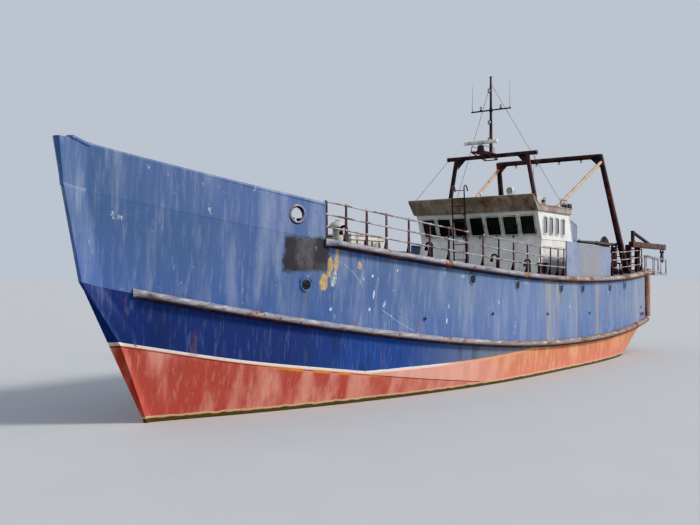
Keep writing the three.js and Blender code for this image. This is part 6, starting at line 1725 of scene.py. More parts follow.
def cheek_outline(radius, drop, head, steps=20):
    """A block's cheek: a circle round the sheave axle, drawn up in straight sides to a narrow head."""
    a = np.radians(np.linspace(150, 390, steps))
    low = np.stack([radius * np.cos(a), radius * np.sin(a) - drop], -1)
    top = np.radians(np.linspace(0, 180, 9))
    return np.concatenate([low, np.stack([head * np.cos(top), head * np.sin(top) * 0.8], -1)])


for side, name in ((1, "port"), (-1, "starboard")):
    pin = on_ship(HANGER_RUN, side * GALLOWS_Y, HANGER_Z)
    cheeks = []
    for y in (-0.031, 0.031):
        cheeks.append(slab(cheek_outline(0.21, SHEAVE_DROP, 0.058), 0.012, pin + (0, y, 0), (1, 0, 0),
                           (0, 0, 1.0), 0.003))
        cheeks.append(slab([(-0.035, -0.5), (0.035, -0.5), (0.04, -0.1), (-0.04, -0.1)], 0.008,
                           pin + (0, y * 1.28, 0), (1, 0, 0), (0, 0, 1.0), 0.002))
        cheeks.append(bolt_head(pin + (0, y * 1.2, -SHEAVE_DROP), (0, np.sign(y), 0), 0.034))
    cheeks.append(ball_box(pin + (-0.055, -0.028, -0.19), pin + (0.055, 0.028, -0.075), 0.01))
    for x in (-0.15, 0.15):
        spacer = pin + (x, 0, -SHEAVE_DROP - 0.13)
        cheeks.append(tube([spacer + (0, -0.037, 0), spacer + (0, 0.037, 0)], 0.014, 12))
    sheave = lathe([(0.03, -0.022), (0.05, -0.022), (0.06, -0.014), (0.13, -0.014), (0.15, -0.021),
                    (0.178, -0.021), (0.18, -0.016), (0.164, -0.005), (0.162, 0.0), (0.164, 0.005),
                    (0.18, 0.016), (0.178, 0.021), (0.15, 0.021), (0.13, 0.014), (0.06, 0.014),
                    (0.05, 0.022), (0.03, 0.022)], pin - (0, 0, SHEAVE_DROP), (0, 1.0, 0), 48)
    piece("towing_block_cheeks_" + name, cheeks + [sheave], [dark_paint] * len(cheeks) + [worn_steel],
          body="towing_block_" + name, slot="dark_steel", stands_for=["towing_block_" + name], crease=35)


# Derrick post. A stub pipe welded to the deck by the port gantry leg, with a table on its head and two
# cheeks that hold the boom's pin; bare brown steel.
BOOM_RUN = 3.95
BOOM_Y = 2.85
BOOM_Z = 5.0
BOOM_LENGTH = 4.3
post_low = on_ship(BOOM_RUN, BOOM_Y, deck_at(BOOM_RUN, BOOM_Y))
parts = [tube([post_low - (0, 0, 0.05), on_ship(BOOM_RUN, BOOM_Y, 4.86)], 0.13, 32),
         *base_plate(post_low, 0.2, 0.03)]
parts += gussets(post_low + (0, 0, 0.028), (0, 0, 1.0), 0.13, 0.19, 0.24, 4, 0)
parts.append(ball_box(on_ship(BOOM_RUN - 0.13, BOOM_Y - 0.13, 4.84),
                      on_ship(BOOM_RUN + 0.09, BOOM_Y + 0.13, 4.89), 0.01))
for y in (-0.09, 0.09):
    parts.append(slab([(-0.09, -0.13), (-0.09, 0.02), (-0.05, 0.075), (0.03, 0.075), (0.07, 0.02),
                       (0.07, -0.13)], 0.04, on_ship(BOOM_RUN, BOOM_Y + y, BOOM_Z), (1, 0, 0), (0, 0, 1.0),
                      0.006))
    parts.append(bolt_head(on_ship(BOOM_RUN, BOOM_Y + y * 1.22, BOOM_Z), (0, np.sign(y), 0), 0.042))
parts.append(tube([on_ship(BOOM_RUN, BOOM_Y - 0.1, BOOM_Z), on_ship(BOOM_RUN, BOOM_Y + 0.1, BOOM_Z)], 0.03,
                  20))
piece("derrick_post_and_gooseneck", parts, rusty_iron, slot="rusty_steel", stands_for=["derrick_post"],
      crease=40)

# Derrick boom. A tapered pipe with a square heel, a doubler where it is thickest, and a band with four eyes
# at its head, stowed level along the deck.
heel = on_ship(BOOM_RUN, BOOM_Y, BOOM_Z)
parts = [tube([heel + (x, 0, 0) for x in (0.16, 1.0, 2.15, 3.2, BOOM_LENGTH - 0.02)],
              [0.06, 0.07, 0.08, 0.067, 0.05], 28)]
parts.append(ball_box(heel + (-0.058, -0.058, -0.058), heel + (0.24, 0.058, 0.058), 0.018, 3))
parts.append(lathe([(0, -0.16), (0.078, -0.16), (0.086, -0.15), (0.086, 0.15), (0.078, 0.16), (0, 0.16)],
                   heel + (2.15, 0, 0), (1.0, 0, 0), 28))
parts.append(lathe([(0, -0.05), (0.056, -0.05), (0.062, -0.04), (0.062, 0.04), (0.056, 0.05), (0, 0.05)],
                   heel + (BOOM_LENGTH - 0.15, 0, 0), (1.0, 0, 0), 28))
parts.append(lathe([(0, -0.01), (0.05, -0.01), (0.045, 0.012), (0, 0.02)], heel + (BOOM_LENGTH - 0.02, 0, 0),
                   (1.0, 0, 0), 28))
parts.append(lathe([(0, -0.03), (0.064, -0.03), (0.07, -0.02), (0.07, 0.02), (0.064, 0.03), (0, 0.03)],
                   heel + (0.3, 0, 0), (1.0, 0, 0), 28))
for y, z in ((0, 1), (0, -1), (1, 0), (-1, 0)):
    eye_at = heel + np.array([BOOM_LENGTH - 0.15, 0.085 * y, 0.085 * z])
    a = np.radians(np.linspace(0, 360, 21))[:-1]
    ring_path = np.array([0.028 * np.cos(a), 0 * a, 0 * a]).T + np.outer(np.sin(a) * 0.028, (0, y, z))
    normal = np.cross((1.0, 0, 0), (0, y, z))
    b = np.radians(np.arange(0, 360, 45))
    rim = (ring_path / 0.028)[:, None] * np.cos(b)[None, :, None] + normal * np.sin(b)[None, :, None]
    parts.append(hoop(eye_at + ring_path[:, None] + 0.009 * rim))
piece("derrick_boom_pipe", parts, dark_paint, body="derrick_boom", slot="dark_steel",
      stands_for=["derrick_boom"], crease=40)


# Drums. The net drum, the trawl winch and the windlass are each a core between two stiffened flanges on a
# shaft, on plate stands with a bolted bearing and a hydraulic motor outboard; wire is wound on each core.
SHAFT = 0.06
old_rope, tree, finish = material("old_warp_wire", metallic=0.2)
lay = put(tree, "TexWave", {"Vector": position(tree), "Scale": 22.0, "Distortion": 1.5},
          bands_direction="DIAGONAL").outputs["Fac"]
grease = noise(tree, position(tree), 4.0, detail=6.0)
finish(over(tree, ramp(tree, grease, 0.42, 0.6), paint_rgb(92, 76, 62), paint_rgb(52, 44, 38)),
       ramp(tree, grease, 0.35, 0.65, (0.55, 0.85)), lay, strength=0.6, distance=0.004)


def drum_profile(half, core, flange, flange_at):
    """Radius and place along the shaft: rolled rims, dished flange plates and a core with a fillet."""
    inner = [(core, 0), (core, flange_at - 0.05), (core + 0.03, flange_at - 0.008),
             (flange - 0.03, flange_at), (flange - 0.012, flange_at - 0.012), (flange, flange_at),
             (flange, flange_at + 0.02), (flange - 0.012, flange_at + 0.03),
             (flange - 0.03, flange_at + 0.022), (core * 0.6, flange_at + 0.022),
             (core * 0.55, flange_at + 0.04), (SHAFT + 0.03, flange_at + 0.045), (SHAFT, flange_at + 0.05),
             (SHAFT, half + 0.095), (SHAFT - 0.008, half + 0.1), (0, half + 0.1)]
    return [(radius, -at) for radius, at in inner[:0:-1]] + inner[1:]


def drum_parts(run, z, half, core, flange, flange_at, spokes):
    """The turning part of a drum: its profile and spokes outside each flange."""
    centre = on_ship(run, 0, z)
    made = [lathe(drum_profile(half, core, flange, flange_at), centre, (0, 1.0, 0), 56)]
    for side in (-1, 1):
        face = centre + (0, side * (flange_at + 0.02), 0)
        for k in range(spokes):
            a = 2 * np.pi * k / spokes
            out = np.array([np.cos(a), 0, np.sin(a)])
            made.append(slab([(core * 0.5, 0), (flange - 0.035, 0), (flange - 0.035, 0.012),
                              (core * 0.6, 0.042), (core * 0.5, 0.042)], 0.014, face, out,
                             (0, side * 1.0, 0), 0.002))
    return made


def windings(run, z, low, high, pitch, radius, layers):
    """Warp laid on a core: rows of half-round turns side by side, each layer a rope's depth over the last."""
    count = int((high - low) / pitch)
    a = np.radians(np.linspace(0, 180, 5))
    outline = [(radius - 0.02, low)]
    for k in range(count):
        outline += [(radius + layers * pitch * 0.8 + pitch / 2 * np.sin(t),
                     low + pitch * (k + 0.5 - np.cos(t) / 2)) for t in a]
    outline.append((radius - 0.02, low + pitch * count))
    return lathe(outline, on_ship(run, 0, z), (0, 1.0, 0), 48)


def stand_parts(run, z, half, spread, motor_side):
    """Both stands of a drum: plates with a flanged edge, bearings, a cross beam and a motor."""
    made = []
    deck = deck_at(run, half) - 0.04
    for side in (-1, 1):
        y = side * half
        plate_at = on_ship(run, y, 0)
        lean = (spread - 0.14) / (z + 0.13 - 3.5)
        foot = spread - lean * (deck - 3.5)
        outline = [(-foot, deck), (foot, deck), (0.14, z + 0.13), (-0.14, z + 0.13)]
        made.append(slab(outline, 0.03, plate_at, (1, 0, 0), (0, 0, 1.0)))
        corners = [plate_at + (x, 0, height) for x,
                   height in (outline[0], outline[3], outline[2], outline[1])]
        edge = np.array([(-0.035, -0.006), (0.035, -0.006), (0.035, 0.006), (-0.035, 0.006)])
        for a, b in zip(corners, corners[1:]):
            along = (b - a) / np.linalg.norm(b - a)
            made.append(carried(edge, np.array([a, b]), (0, 1.0, 0), np.cross(along, (0, 1.0, 0))))
        made.append(ball_box(plate_at + (-foot - 0.04, -0.09, deck),
                             plate_at + (foot + 0.04, 0.09, deck + 0.05), 0.008))
        housing = plate_at + (0, 0, z)
        made.append(turned_ring([(SHAFT + 0.008, -0.05), (0.1, -0.05), (0.108, -0.042), (0.108, 0.042),
                                 (0.1, 0.05), (SHAFT + 0.008, 0.05)], housing, (0, 1.0, 0), 32))
        for dx in (-0.085, 0.085):
            made.append(bolt_head(housing + (dx, 0, 0.1), (0, 0, 1.0), 0.016))
    made.append(ball_box(on_ship(run - spread + 0.03, -half, deck + 0.03), on_ship(run - spread + 0.16, half,
                                                                                 deck + 0.19), 0.014))
    motor = on_ship(run, motor_side * (half + 0.12), z)
    out = (0, motor_side * 1.0, 0)
    made.append(lathe([(0, 0), (0.13, 0), (0.135, 0.006), (0.135, 0.03), (0.1, 0.036), (0.1, 0.2),
                       (0.085, 0.23), (0, 0.235)], motor, out, 28))
    for k in range(4):
        a = np.radians(90 * k + 45)
        stay = on_ship(run, 0, z) + 0.115 * np.array([np.cos(a), 0, np.sin(a)])
        made.append(tube([stay + (0, motor_side * (half - 0.005), 0),
                          stay + (0, motor_side * (half + 0.15), 0)], 0.012, 10))
    for dx in (-0.04, 0.04):
        made.append(bent_bar([motor + (dx, motor_side * 0.12, 0.08), motor + (dx, motor_side * 0.12, 0.22),
                              motor + (dx * 2 - 0.25, motor_side * 0.06, 0.1 + dx),
                              on_ship(run - spread - 0.02 + dx, motor_side * (half + 0.1), deck + 0.06)],
                             0.012, 8, 0.06))
    return made


DRUMS = (("net_drum", 1.75, 4.78, 1.75, 0.26, 0.72, 1.6, 0.56, 8, 1),
         ("trawl_winch_drum", 5.9, 4.42, 1.15, 0.21, 0.48, 1.02, 0.48, 6, -1),
         ("windlass_drum", 26.6, 5.56, 0.62, 0.15, 0.29, 0.5, 0.3, 6, -1))
for name, run, z, half, core, flange, flange_at, spread, spokes, motor_side in DRUMS:
    parts = drum_parts(run, z, half, core, flange, flange_at, spokes)
    looks = [rusty_iron] * len(parts)
    if name == "trawl_winch_drum":
        middle = [(core - 0.01, -0.03), (flange - 0.02, -0.02), (flange, 0.0), (flange - 0.02, 0.02),
                  (core - 0.01, 0.03)]
        parts += [lathe(middle, on_ship(run, 0, z), (0, 1.0, 0), 56),
                  windings(run, z, -0.98, -0.05, 0.034, core, 4),
                  windings(run, z, 0.05, 0.98, 0.034, core, 3)]
        looks += [rusty_iron, old_rope, old_rope]
    elif name == "net_drum":
        parts += [lathe([(core - 0.01, -0.025), (0.6, -0.012), (0.62, 0.0), (0.6, 0.012),
                         (core - 0.01, 0.025)], on_ship(run, 0, z), (0, 1.0, 0), 56),
                  windings(run, z, 0.06, 1.5, 0.05, core, 0)]
        looks += [rusty_iron, old_rope]
    else:
        parts += [windings(run, z, -0.44, 0.1, 0.03, core, 1),
                  lathe([(core, 0.16), (0.24, 0.16), (0.255, 0.19), (0.2, 0.23), (0.2, 0.25), (0.255, 0.29),
                         (0.24, 0.32), (core, 0.32)], on_ship(run, 0, z), (0, 1.0, 0), 10)]
        looks += [old_rope, worn_steel]
    piece(name + "_core_and_flanges", parts, looks, body=name, slot="rusty_steel", stands_for=[name],
          crease=35)
    piece(name + "_frame", stand_parts(run, z, half, spread, motor_side), dark_paint, slot="dark_steel",
          stands_for=[name + "_stands"], crease=40)


# Foredeck hatch. A welded coaming with a half-round rim and stiffeners down its sides, ears for the lid's
# hinges and swing clamps along the edges; the lid is a flanged plate with two lifting handles.
HATCH_RUN = 20.5
HATCH_HALF = 0.9
HATCH_TOP = 4.78
HATCH_HINGES = (-0.6, 0.6)
hatch_white, tree, finish = material("hatch_paint")
masks = use(tree, weather, Rust=0.62, Streaks=0.6, Scale=1.8)
grey_white = tinted(tree, paint_rgb(206, 204, 196), paint_rgb(168, 166, 158), masks["Chalk"])
shown, mask = rusted(tree, grey_white, masks, share=0.9, runs=0.7, scale=2.0)
finish(shown, ramp(tree, mask, 0.0, 1.0, (0.5, 0.88)), masks["Height"], strength=0.5, distance=0.004)

deck = deck_at(HATCH_RUN, 0.9) - 0.05
middle = on_ship(HATCH_RUN, 0, 0)
parts = []
wall_ring = rounded_loop(HATCH_HALF, HATCH_HALF, 0.06)
parts.append(framed(wall_ring, [(-0.04, deck), (0.0, deck), (0.0, HATCH_TOP - 0.012), (-0.008, HATCH_TOP),
                                (-0.04, HATCH_TOP)], middle, (1, 0, 0), (0, 1, 0)))
for k in (-0.6, -0.2, 0.2, 0.6):
    for out in ((0, 1.0, 0), (0, -1.0, 0), (1.0, 0, 0)):
        across = np.cross((0, 0, 1.0), out)
        seat = middle + np.multiply(out, HATCH_HALF - 0.003) + across * k
        parts.append(slab([(0, deck), (0.1, deck), (0.05, HATCH_TOP - 0.12), (0, HATCH_TOP - 0.12)], 0.012,
                          seat, out, (0, 0, 1.0), 0.002))
rim = [(0.0, HATCH_TOP - 0.12), (0.03, HATCH_TOP - 0.115), (0.035, HATCH_TOP - 0.1),
       (0.03, HATCH_TOP - 0.085), (0.0, HATCH_TOP - 0.08)]
parts.append(framed(wall_ring, rim, middle, (1, 0, 0), (0, 1, 0)))
aft_face = on_ship(HATCH_RUN - 0.9, 0, HATCH_TOP)
for y in HATCH_HINGES:
    for dy in (-0.0448, 0.0448):
        parts.append(slab([(-0.08, -0.02), (-0.08, 0.02), (-0.05, 0.045), (0.01, 0.045), (0.01, -0.12),
                           (-0.02, -0.12)], 0.0244, aft_face + (0, y + dy, 0), (1, 0, 0), (0, 0, 1.0),
                          0.003))
for y in (-0.93, 0.93):
    for x in (-0.5, 0.35):
        pivot = middle + (x, y, HATCH_TOP - 0.16)
        parts.append(tube([pivot - (0, np.sign(y) * 0.05, 0), pivot + (0, np.sign(y) * 0.045, 0)], 0.012, 10))
        parts.append(bent_bar([pivot + (0, np.sign(y) * 0.035, 0), pivot + (0.1, np.sign(y) * 0.035, -0.02),
                               pivot + (0.16, np.sign(y) * 0.035, -0.09)], 0.009, 8, 0.03))
piece("hatch_coaming_plates", parts, hatch_white, slot="white_paint", stands_for=["hatch_coaming"], crease=40)

hinge = on_ship(HATCH_RUN - 0.95, 0, HATCH_TOP + 0.025)
parts = [ball_box(hinge + (0.072, -0.92, -0.02), hinge + (1.87, 0.92, 0.022), 0.008)]
parts.append(framed(rounded_loop(0.899, 0.92, 0.05),
                    [(-0.045, 0.015), (0.0, 0.015), (0.0, 0.036), (-0.006, 0.04), (-0.045, 0.04)],
                    hinge + (0.971, 0, 0), (1, 0, 0), (0, 1, 0)))
for k in (0.42, 0.97, 1.52):
    parts.append(ball_box(hinge + (k - 0.02, -0.86, 0.02), hinge + (k + 0.02, 0.86, 0.038), 0.005))
for y in HATCH_HINGES:
    parts.append(ball_box(hinge + (-0.018, y - 0.025, -0.018), hinge + (0.12, y + 0.025, 0.018), 0.005))
    parts.append(tube([hinge + (0, y - 0.032, 0), hinge + (0, y + 0.032, 0)], 0.016, 14))
for y in (-0.35, 0.35):
    grip = hinge + (1.7, y, 0.02)
    parts.append(bent_bar([grip + (0, -0.1, 0), grip + (0, -0.1, 0.06), grip + (0, 0.1, 0.06),
                           grip + (0, 0.1, 0)], 0.01, 10, 0.03))
piece("hatch_lid_plate", parts, hatch_white, body="hatch_lid", slot="white_paint", stands_for=["hatch_lid"],
      crease=40)


# Mushroom ventilators on the foredeck. A flanged trunk with a domed hood over it and a hand wheel on top
# to screw it shut; old white paint.
vent_z = deck_at(22.6, 1.3)
vent = on_ship(22.6, 1.3, vent_z)
top = float(sheer("rail", 22.6)) + 0.8 - vent_z
parts = [lathe([(0, -0.05), (0.19, -0.05), (0.19, 0.012), (0.16, 0.02), (0.15, 0.03), (0.15, top - 0.16),
                (0.165, top - 0.15), (0.165, top - 0.13), (0, top - 0.12)], vent, sides=36),
         lathe([(0, top - 0.15), (0.2, top - 0.15), (0.24, top - 0.17), (0.252, top - 0.178),
                (0.26, top - 0.17), (0.26, top - 0.15), (0.235, top - 0.1), (0.18, top - 0.04),
                (0.1, top - 0.01), (0, top)], vent, sides=40)]
turns = np.radians(np.linspace(0, 360, 29))[:-1]
b = np.radians(np.arange(0, 360, 60))
wheel = np.stack([vent + (0, 0, top + 0.03) + (0.08 + 0.009 * np.cos(t)) * np.array([np.cos(a), np.sin(a), 0])
                  + (0, 0, 0.009 * np.sin(t)) for a in turns for t in b]).reshape(28, 6, 3)
parts.append(hoop(wheel))
for k in range(3):
    a = np.radians(120 * k)
    parts.append(tube([vent + (0, 0, top + 0.03), vent + (0.08 * np.cos(a), 0.08 * np.sin(a), top + 0.03)],
                      0.007, 8))
parts.append(tube([vent + (0, 0, top - 0.02), vent + (0, 0, top + 0.04)], 0.014, 12))
pair_of_pieces("ventilator_hood", parts, hatch_white, slot="white_paint", stands_for="ventilator", crease=40)


# Mooring bitts. A pair of capped posts with a cross pin through them, on a plinth plate, by the bow and
# amidships on both sides, in chipped dark paint.
BITT_HALF = 0.4
BITT_APART = 0.23
for name, run in (("bow_bitts", 24.9), ("midship_bitts", 12.3)):
    seat = on_ship(run, float(half_breadth("rail", np.array(run), BELT_DEPTH)) - 0.48,
                   sheer("rail", run) + 0.02)
    parts = [ball_box(seat + (-BITT_HALF, -0.14, -0.1), seat + (BITT_HALF, 0.14, 0.06), 0.012)]
    for dx in (-BITT_APART, BITT_APART):
        post = seat + (dx, 0, 0)
        parts.append(lathe([(0, 0.04), (0.12, 0.04), (0.115, 0.06), (0.098, 0.08), (0.093, 0.2),
                            (0.095, 0.37), (0.105, 0.395), (0.125, 0.405), (0.126, 0.43), (0.11, 0.446),
                            (0.06, 0.453), (0, 0.455)], post, sides=36))
        parts.append(tube([post + (-0.16, 0, 0.24), post + (0.16, 0, 0.24)], 0.02, 14))
    for x in (-0.35, 0.35):
        for y in (-0.1, 0.1):
            parts.append(bolt_head(seat + (x, y, 0.06), (0, 0, 1.0), 0.016))
    pair_of_pieces(name + "_posts", parts, dark_paint, slot="dark_steel", stands_for=name, crease=40)


# Boarding frame. Two sides of bent pipe carried aft from the port quarter under the gallows, both footed on
# the deck, with a long grated tread between them, in worn white.
FRAME_AFT = -2.35
FRAME_LEGS = ((0.2, 2.9), (1.0, 3.29))
TREAD_ENDS = (-2.41, -0.4)
TREAD_SIDES = (2.85, 3.32)
TREAD_Z = 3.64
parts = []
for root, y in FRAME_LEGS:
    foot = float(sheer("rail", root))
    parts.append(bent_bar([on_ship(root, y, foot - 0.03), on_ship(root, y, 4.585),
                           on_ship(FRAME_AFT, y, 4.41), on_ship(FRAME_AFT, y, 3.69),
                           on_ship(root, y, float(sheer("rail", 0.0)) + 0.08)], 0.03, 16, 0.1))
    parts.append(tube([on_ship(root, y, foot - 0.03), on_ship(root, y, foot + 0.07)], 0.041, 20))
    for run in (-0.45, -1.5):
        under_top = 4.57 - 0.16 * (root - run) / (root - FRAME_AFT)
        parts.append(tube([on_ship(run, y, TREAD_Z + 0.04), on_ship(run, y, under_top)], 0.021, 14))
for y in TREAD_SIDES:
    inner = y + 0.024 if y < 3.0 else y - 0.024
    parts.append(ball_box(on_ship(TREAD_ENDS[0], min(y, inner), TREAD_Z),
                          on_ship(TREAD_ENDS[1], max(y, inner), TREAD_Z + 0.09), 0.006))
for run in (TREAD_ENDS[0], TREAD_ENDS[1] - 0.024):
    parts.append(ball_box(on_ship(run, TREAD_SIDES[0], TREAD_Z),
                          on_ship(run + 0.024, TREAD_SIDES[1], TREAD_Z + 0.088), 0.006))
for run in np.linspace(-2.35, -0.46, 44):
    parts.append(ball_box(on_ship(run - 0.004, 2.86, TREAD_Z + 0.02),
                          on_ship(run + 0.004, 3.31, TREAD_Z + 0.08), 0.002, 1))
for y in (2.97, 3.085, 3.2):
    parts.append(tube([on_ship(-2.4, y, TREAD_Z + 0.06), on_ship(-0.41, y, TREAD_Z + 0.06)], 0.006, 8))
piece("boarding_frame_pipes", parts, rail_white, slot="white_paint", stands_for=["stern_frame"], crease=40)


# Under water. Keel, stern tube, rudder and its trunk are the solids they came as, in bottom paint gone to
# weed and scale; the propeller is bronze, dull brown with a green bloom.
weed_paint, tree, finish = material("keel_paint")
where = position(tree)
masks = use(tree, weather, Rust=0.6, Streaks=0.5, Scale=1.3)
growth = noise(tree, where, 2.2, detail=7.0, rough=0.7)
lead = tinted(tree, paint_rgb(132, 66, 52), paint_rgb(158, 104, 82), masks["Chalk"])
slime = over(tree, ramp(tree, growth, 0.42, 0.6), lead, paint_rgb(62, 70, 46))
shells = put(tree, "TexVoronoi", {"Vector": where, "Scale": 26.0}).outputs["Distance"]
shelly = sums(tree, "MULTIPLY", ramp(tree, shells, 0.22, 0.1), ramp(tree, growth, 0.5, 0.62))
slime = over(tree, shelly, slime, paint_rgb(164, 160, 146))
shown, mask = rusted(tree, slime, masks, share=0.7, runs=0.3)
finish(shown, ramp(tree, growth, 0.3, 0.7, (0.6, 0.92)), sums(tree, "ADD", masks["Height"], shelly),
       strength=0.6, distance=0.01)
refinish(weed_paint, "keel", "stern_tube", "rudder", "rudder_trunk")

bronze, tree, finish = material("bronze", metallic=0.85)
where = position(tree)
bloom = noise(tree, where, 3.0, detail=7.0, rough=0.65)
scour = noise(tree, where, 12.0, detail=4.0)
brown = over(tree, ramp(tree, bloom, 0.4, 0.6), paint_rgb(150, 112, 62), paint_rgb(98, 82, 52))
finish(over(tree, ramp(tree, bloom, 0.56, 0.7, (0.0, 0.7)), brown, paint_rgb(74, 104, 82)),
       ramp(tree, scour, 0.3, 0.7, (0.32, 0.6)), scour, strength=0.25, distance=0.003)
refinish(bronze, "propeller")

# Gear on the wheelhouse roof. Low corner rails, a searchlight on a stalk, a pair of trumpet horns, domed
# aerials on short posts, a mushroom vent, and the side lamps on their screens; all bolted to the roof.
red_lens, tree, finish = material("port_lamp_lens", coat=0.6, Transmission_Weight=0.3)
haze = noise(tree, position(tree), 12.0, detail=4.0)
finish(over(tree, haze, paint_rgb(150, 18, 20), paint_rgb(98, 14, 16)),
       ramp(tree, haze, 0.3, 0.7, (0.12, 0.4)))
green_lens, tree, finish = material("starboard_lamp_lens", coat=0.6, Transmission_Weight=0.3)
haze = noise(tree, position(tree), 12.0, detail=4.0)
finish(over(tree, haze, paint_rgb(16, 112, 66), paint_rgb(12, 72, 48)),
       ramp(tree, haze, 0.3, 0.7, (0.12, 0.4)))

rails, boxes, shells, fronts = [], [], [], []
for side in (-1, 1):
    y = side * 2.62
    for z in (0.18, 0.36):
        rails.append(bent_bar([on_ship(9.5, y, ROOF_TOP + z), on_ship(8.74, y, ROOF_TOP + z),
                               on_ship(8.74, side * 2.35, ROOF_TOP + z)], 0.014, 10, 0.08))
    for run, post_y in ((9.5, y), (9.1, y), (8.82, y), (8.74, side * 2.35)):
        seat = on_ship(run, post_y, ROOF_TOP)
        rails.append(tube([seat - (0, 0, 0.01), seat + (0, 0, 0.375)], 0.014, 10))
        rails.append(lathe([(0, 0), (0.035, 0), (0.032, 0.008), (0, 0.009)], seat, sides=14))
    board = on_ship(11.5, side * 2.66, ROOF_TOP)
    boxes.append(ball_box(board + (-0.3, -0.03 * side, 0.0), board + (0.3, 0.0, 0.3), 0.006))
    boxes.append(ball_box(board + (-0.3, 0.0, 0.0), board + (-0.28, 0.08 * side, 0.3), 0.004))
    lamp = board + (-0.16, 0.045 * side, 0.06)
    boxes.append(lathe([(0, 0), (0.05, 0), (0.05, 0.03), (0, 0.03)], lamp, sides=18))
    lens = lathe([(0, 0), (0.042, 0), (0.046, 0.02), (0.046, 0.08), (0.036, 0.1), (0, 0.1)],
                 lamp + (0, 0, 0.03), sides=18)
    piece("side_lamp_lens_" + ("port" if side > 0 else "starboard"), [lens],
          red_lens if side > 0 else green_lens, slot="window_glass")
    boxes.append(lathe([(0, 0), (0.052, 0), (0.04, 0.02), (0, 0.025)], lamp + (0, 0, 0.128), sides=18))
stalk = on_ship(11.35, 1.35, ROOF_TOP)
boxes += base_plate(stalk, 0.09, 0.014)
boxes.append(tube([stalk, stalk + (0, 0, 0.45)], 0.025, 14))
boxes.append(bent_bar([stalk + (0, -0.15, 0.62), stalk + (0, -0.15, 0.45), stalk + (0, 0.15, 0.45),
                       stalk + (0, 0.15, 0.62)], 0.014, 10, 0.06))
beam = stalk + (-0.1, 0, 0.62)
shells.append(lathe([(0, -0.03), (0.05, -0.025), (0.1, 0.03), (0.135, 0.1), (0.14, 0.22), (0.148, 0.225),
                     (0.148, 0.245), (0.13, 0.245), (0.128, 0.2), (0, 0.19)], beam, (1.0, 0, -0.06), 32))
fronts.append(lathe([(0, 0.205), (0.131, 0.205), (0.131, 0.215), (0, 0.225)], beam, (1.0, 0, -0.06), 32))
for y in (-1.25, -1.55):
    horn = on_ship(11.2, y, ROOF_TOP + 0.16)
    shells.append(lathe([(0, 0), (0.035, 0), (0.04, 0.06), (0.022, 0.08), (0.02, 0.25), (0.035, 0.36),
                         (0.07, 0.42), (0.078, 0.422), (0.072, 0.415), (0.03, 0.35), (0.012, 0.25),
                         (0, 0.245)], horn, (1.0, 0, 0.05), 24))
    boxes.append(ball_box(horn + (0.02, -0.03, -0.16), horn + (0.07, 0.03, -0.02), 0.006))
for run, y, tall, size in ((9.3, -1.2, 0.55, 0.09), (9.6, 1.05, 0.4, 0.07), (10.0, -0.7, 0.7, 0.05)):
    seat = on_ship(run, y, ROOF_TOP)
    rails.append(tube([seat - (0, 0, 0.01), seat + (0, 0, tall)], 0.018, 12))
    boxes += base_plate(seat, 0.05, 0.01)
    shells.append(lathe([(0, 0), (size, 0.0), (size * 1.05, 0.02), (size, size), (size * 0.7, size * 1.5),
                         (size * 0.35, size * 1.72), (0, size * 1.78)], seat + (0, 0, tall), sides=28))
cowl = on_ship(9.9, 1.6, ROOF_TOP)
shells.append(lathe([(0, -0.01), (0.13, -0.01), (0.13, 0.01), (0.1, 0.02), (0.1, 0.16), (0.16, 0.15),
                     (0.17, 0.16), (0.16, 0.2), (0.1, 0.245), (0, 0.255)], cowl, sides=32))
piece("roof_gear", rails + boxes + shells + fronts,
      [rail_white] * len(rails) + [frame_metal] * len(boxes) + [white_plastic] * len(shells)
      + [lamp_glass] * len(fronts), slot="white_paint", crease=40)


# Window wipers. A painted steel arm from a motor boss under each of the five middle windscreen panes, with
# a rubber blade resting on the glass.
centre, across, up = end_plane("fore", *FORE_SIZE[1:])
out = np.cross(across, up)
arms, blades = [], []
for k in (-2, -1, 0, 1, 2):
    boss = centre + across * (k * FORE_PITCH + 0.05) - up * 0.46
    lean = up * np.cos(0.5) + across * np.sin(0.5)
    arms.append(lathe([(0, -0.01), (0.03, -0.01), (0.03, 0.035), (0.02, 0.045), (0, 0.047)], boss, out, 18))
    arms.append(tube([boss + out * 0.04, boss + out * 0.05 + lean * 0.2, boss + out * 0.035 + lean * 0.46],
                     [0.009, 0.007, 0.005], 8))
    blades.append(tube([boss + out * 0.024 + lean * (0.46 + reach) for reach in (-0.2, 0.16)], 0.007, 8))
piece("window_wipers", arms + blades, [dark_paint] * len(arms) + [rubber] * len(blades), slot="dark_steel")


# Anchor chain. Oval links laid link through link from the windlass along the deck and down a cast pipe near
# the stem, with a stopper plate pinned between two cheeks on the way.
LINK_LONG = 0.055
LINK_WIDE = 0.032
LINK_BAR = 0.012


def chain_link(middle, along, flat):
    """One oval link: a round bar swept round two half circles joined by straight sides."""
    a = np.radians(np.linspace(0, 360, 17))[:-1]
    sideways = np.cross(along, flat)
    x, y = LINK_WIDE * np.cos(a), LINK_WIDE * np.sin(a) + np.sign(np.sin(a)) * (LINK_LONG - LINK_WIDE)
    spine = middle + x[:, None] * sideways + y[:, None] * along
    way = np.cos(a)[:, None] * sideways + np.sin(a)[:, None] * along
    b = np.radians(np.arange(0, 360, 60))
    return hoop(spine[:, None] + LINK_BAR * (np.cos(b)[None, :, None] * way[:, None]
                                             + np.sin(b)[None, :, None] * np.asarray(flat)))


def spaced(path, step):
    """Points every step along a path, and its direction at each."""
    path = np.asarray(path, float)
    length = np.concatenate([[0], np.cumsum(np.linalg.norm(np.diff(path, axis=0), axis=1))])
    at = np.arange(0, length[-1], step)
    points = np.stack([np.interp(at, length, path[:, k]) for k in range(3)], -1)
    way = np.gradient(points, axis=0)
    return points, way / np.linalg.norm(way, axis=1)[:, None]


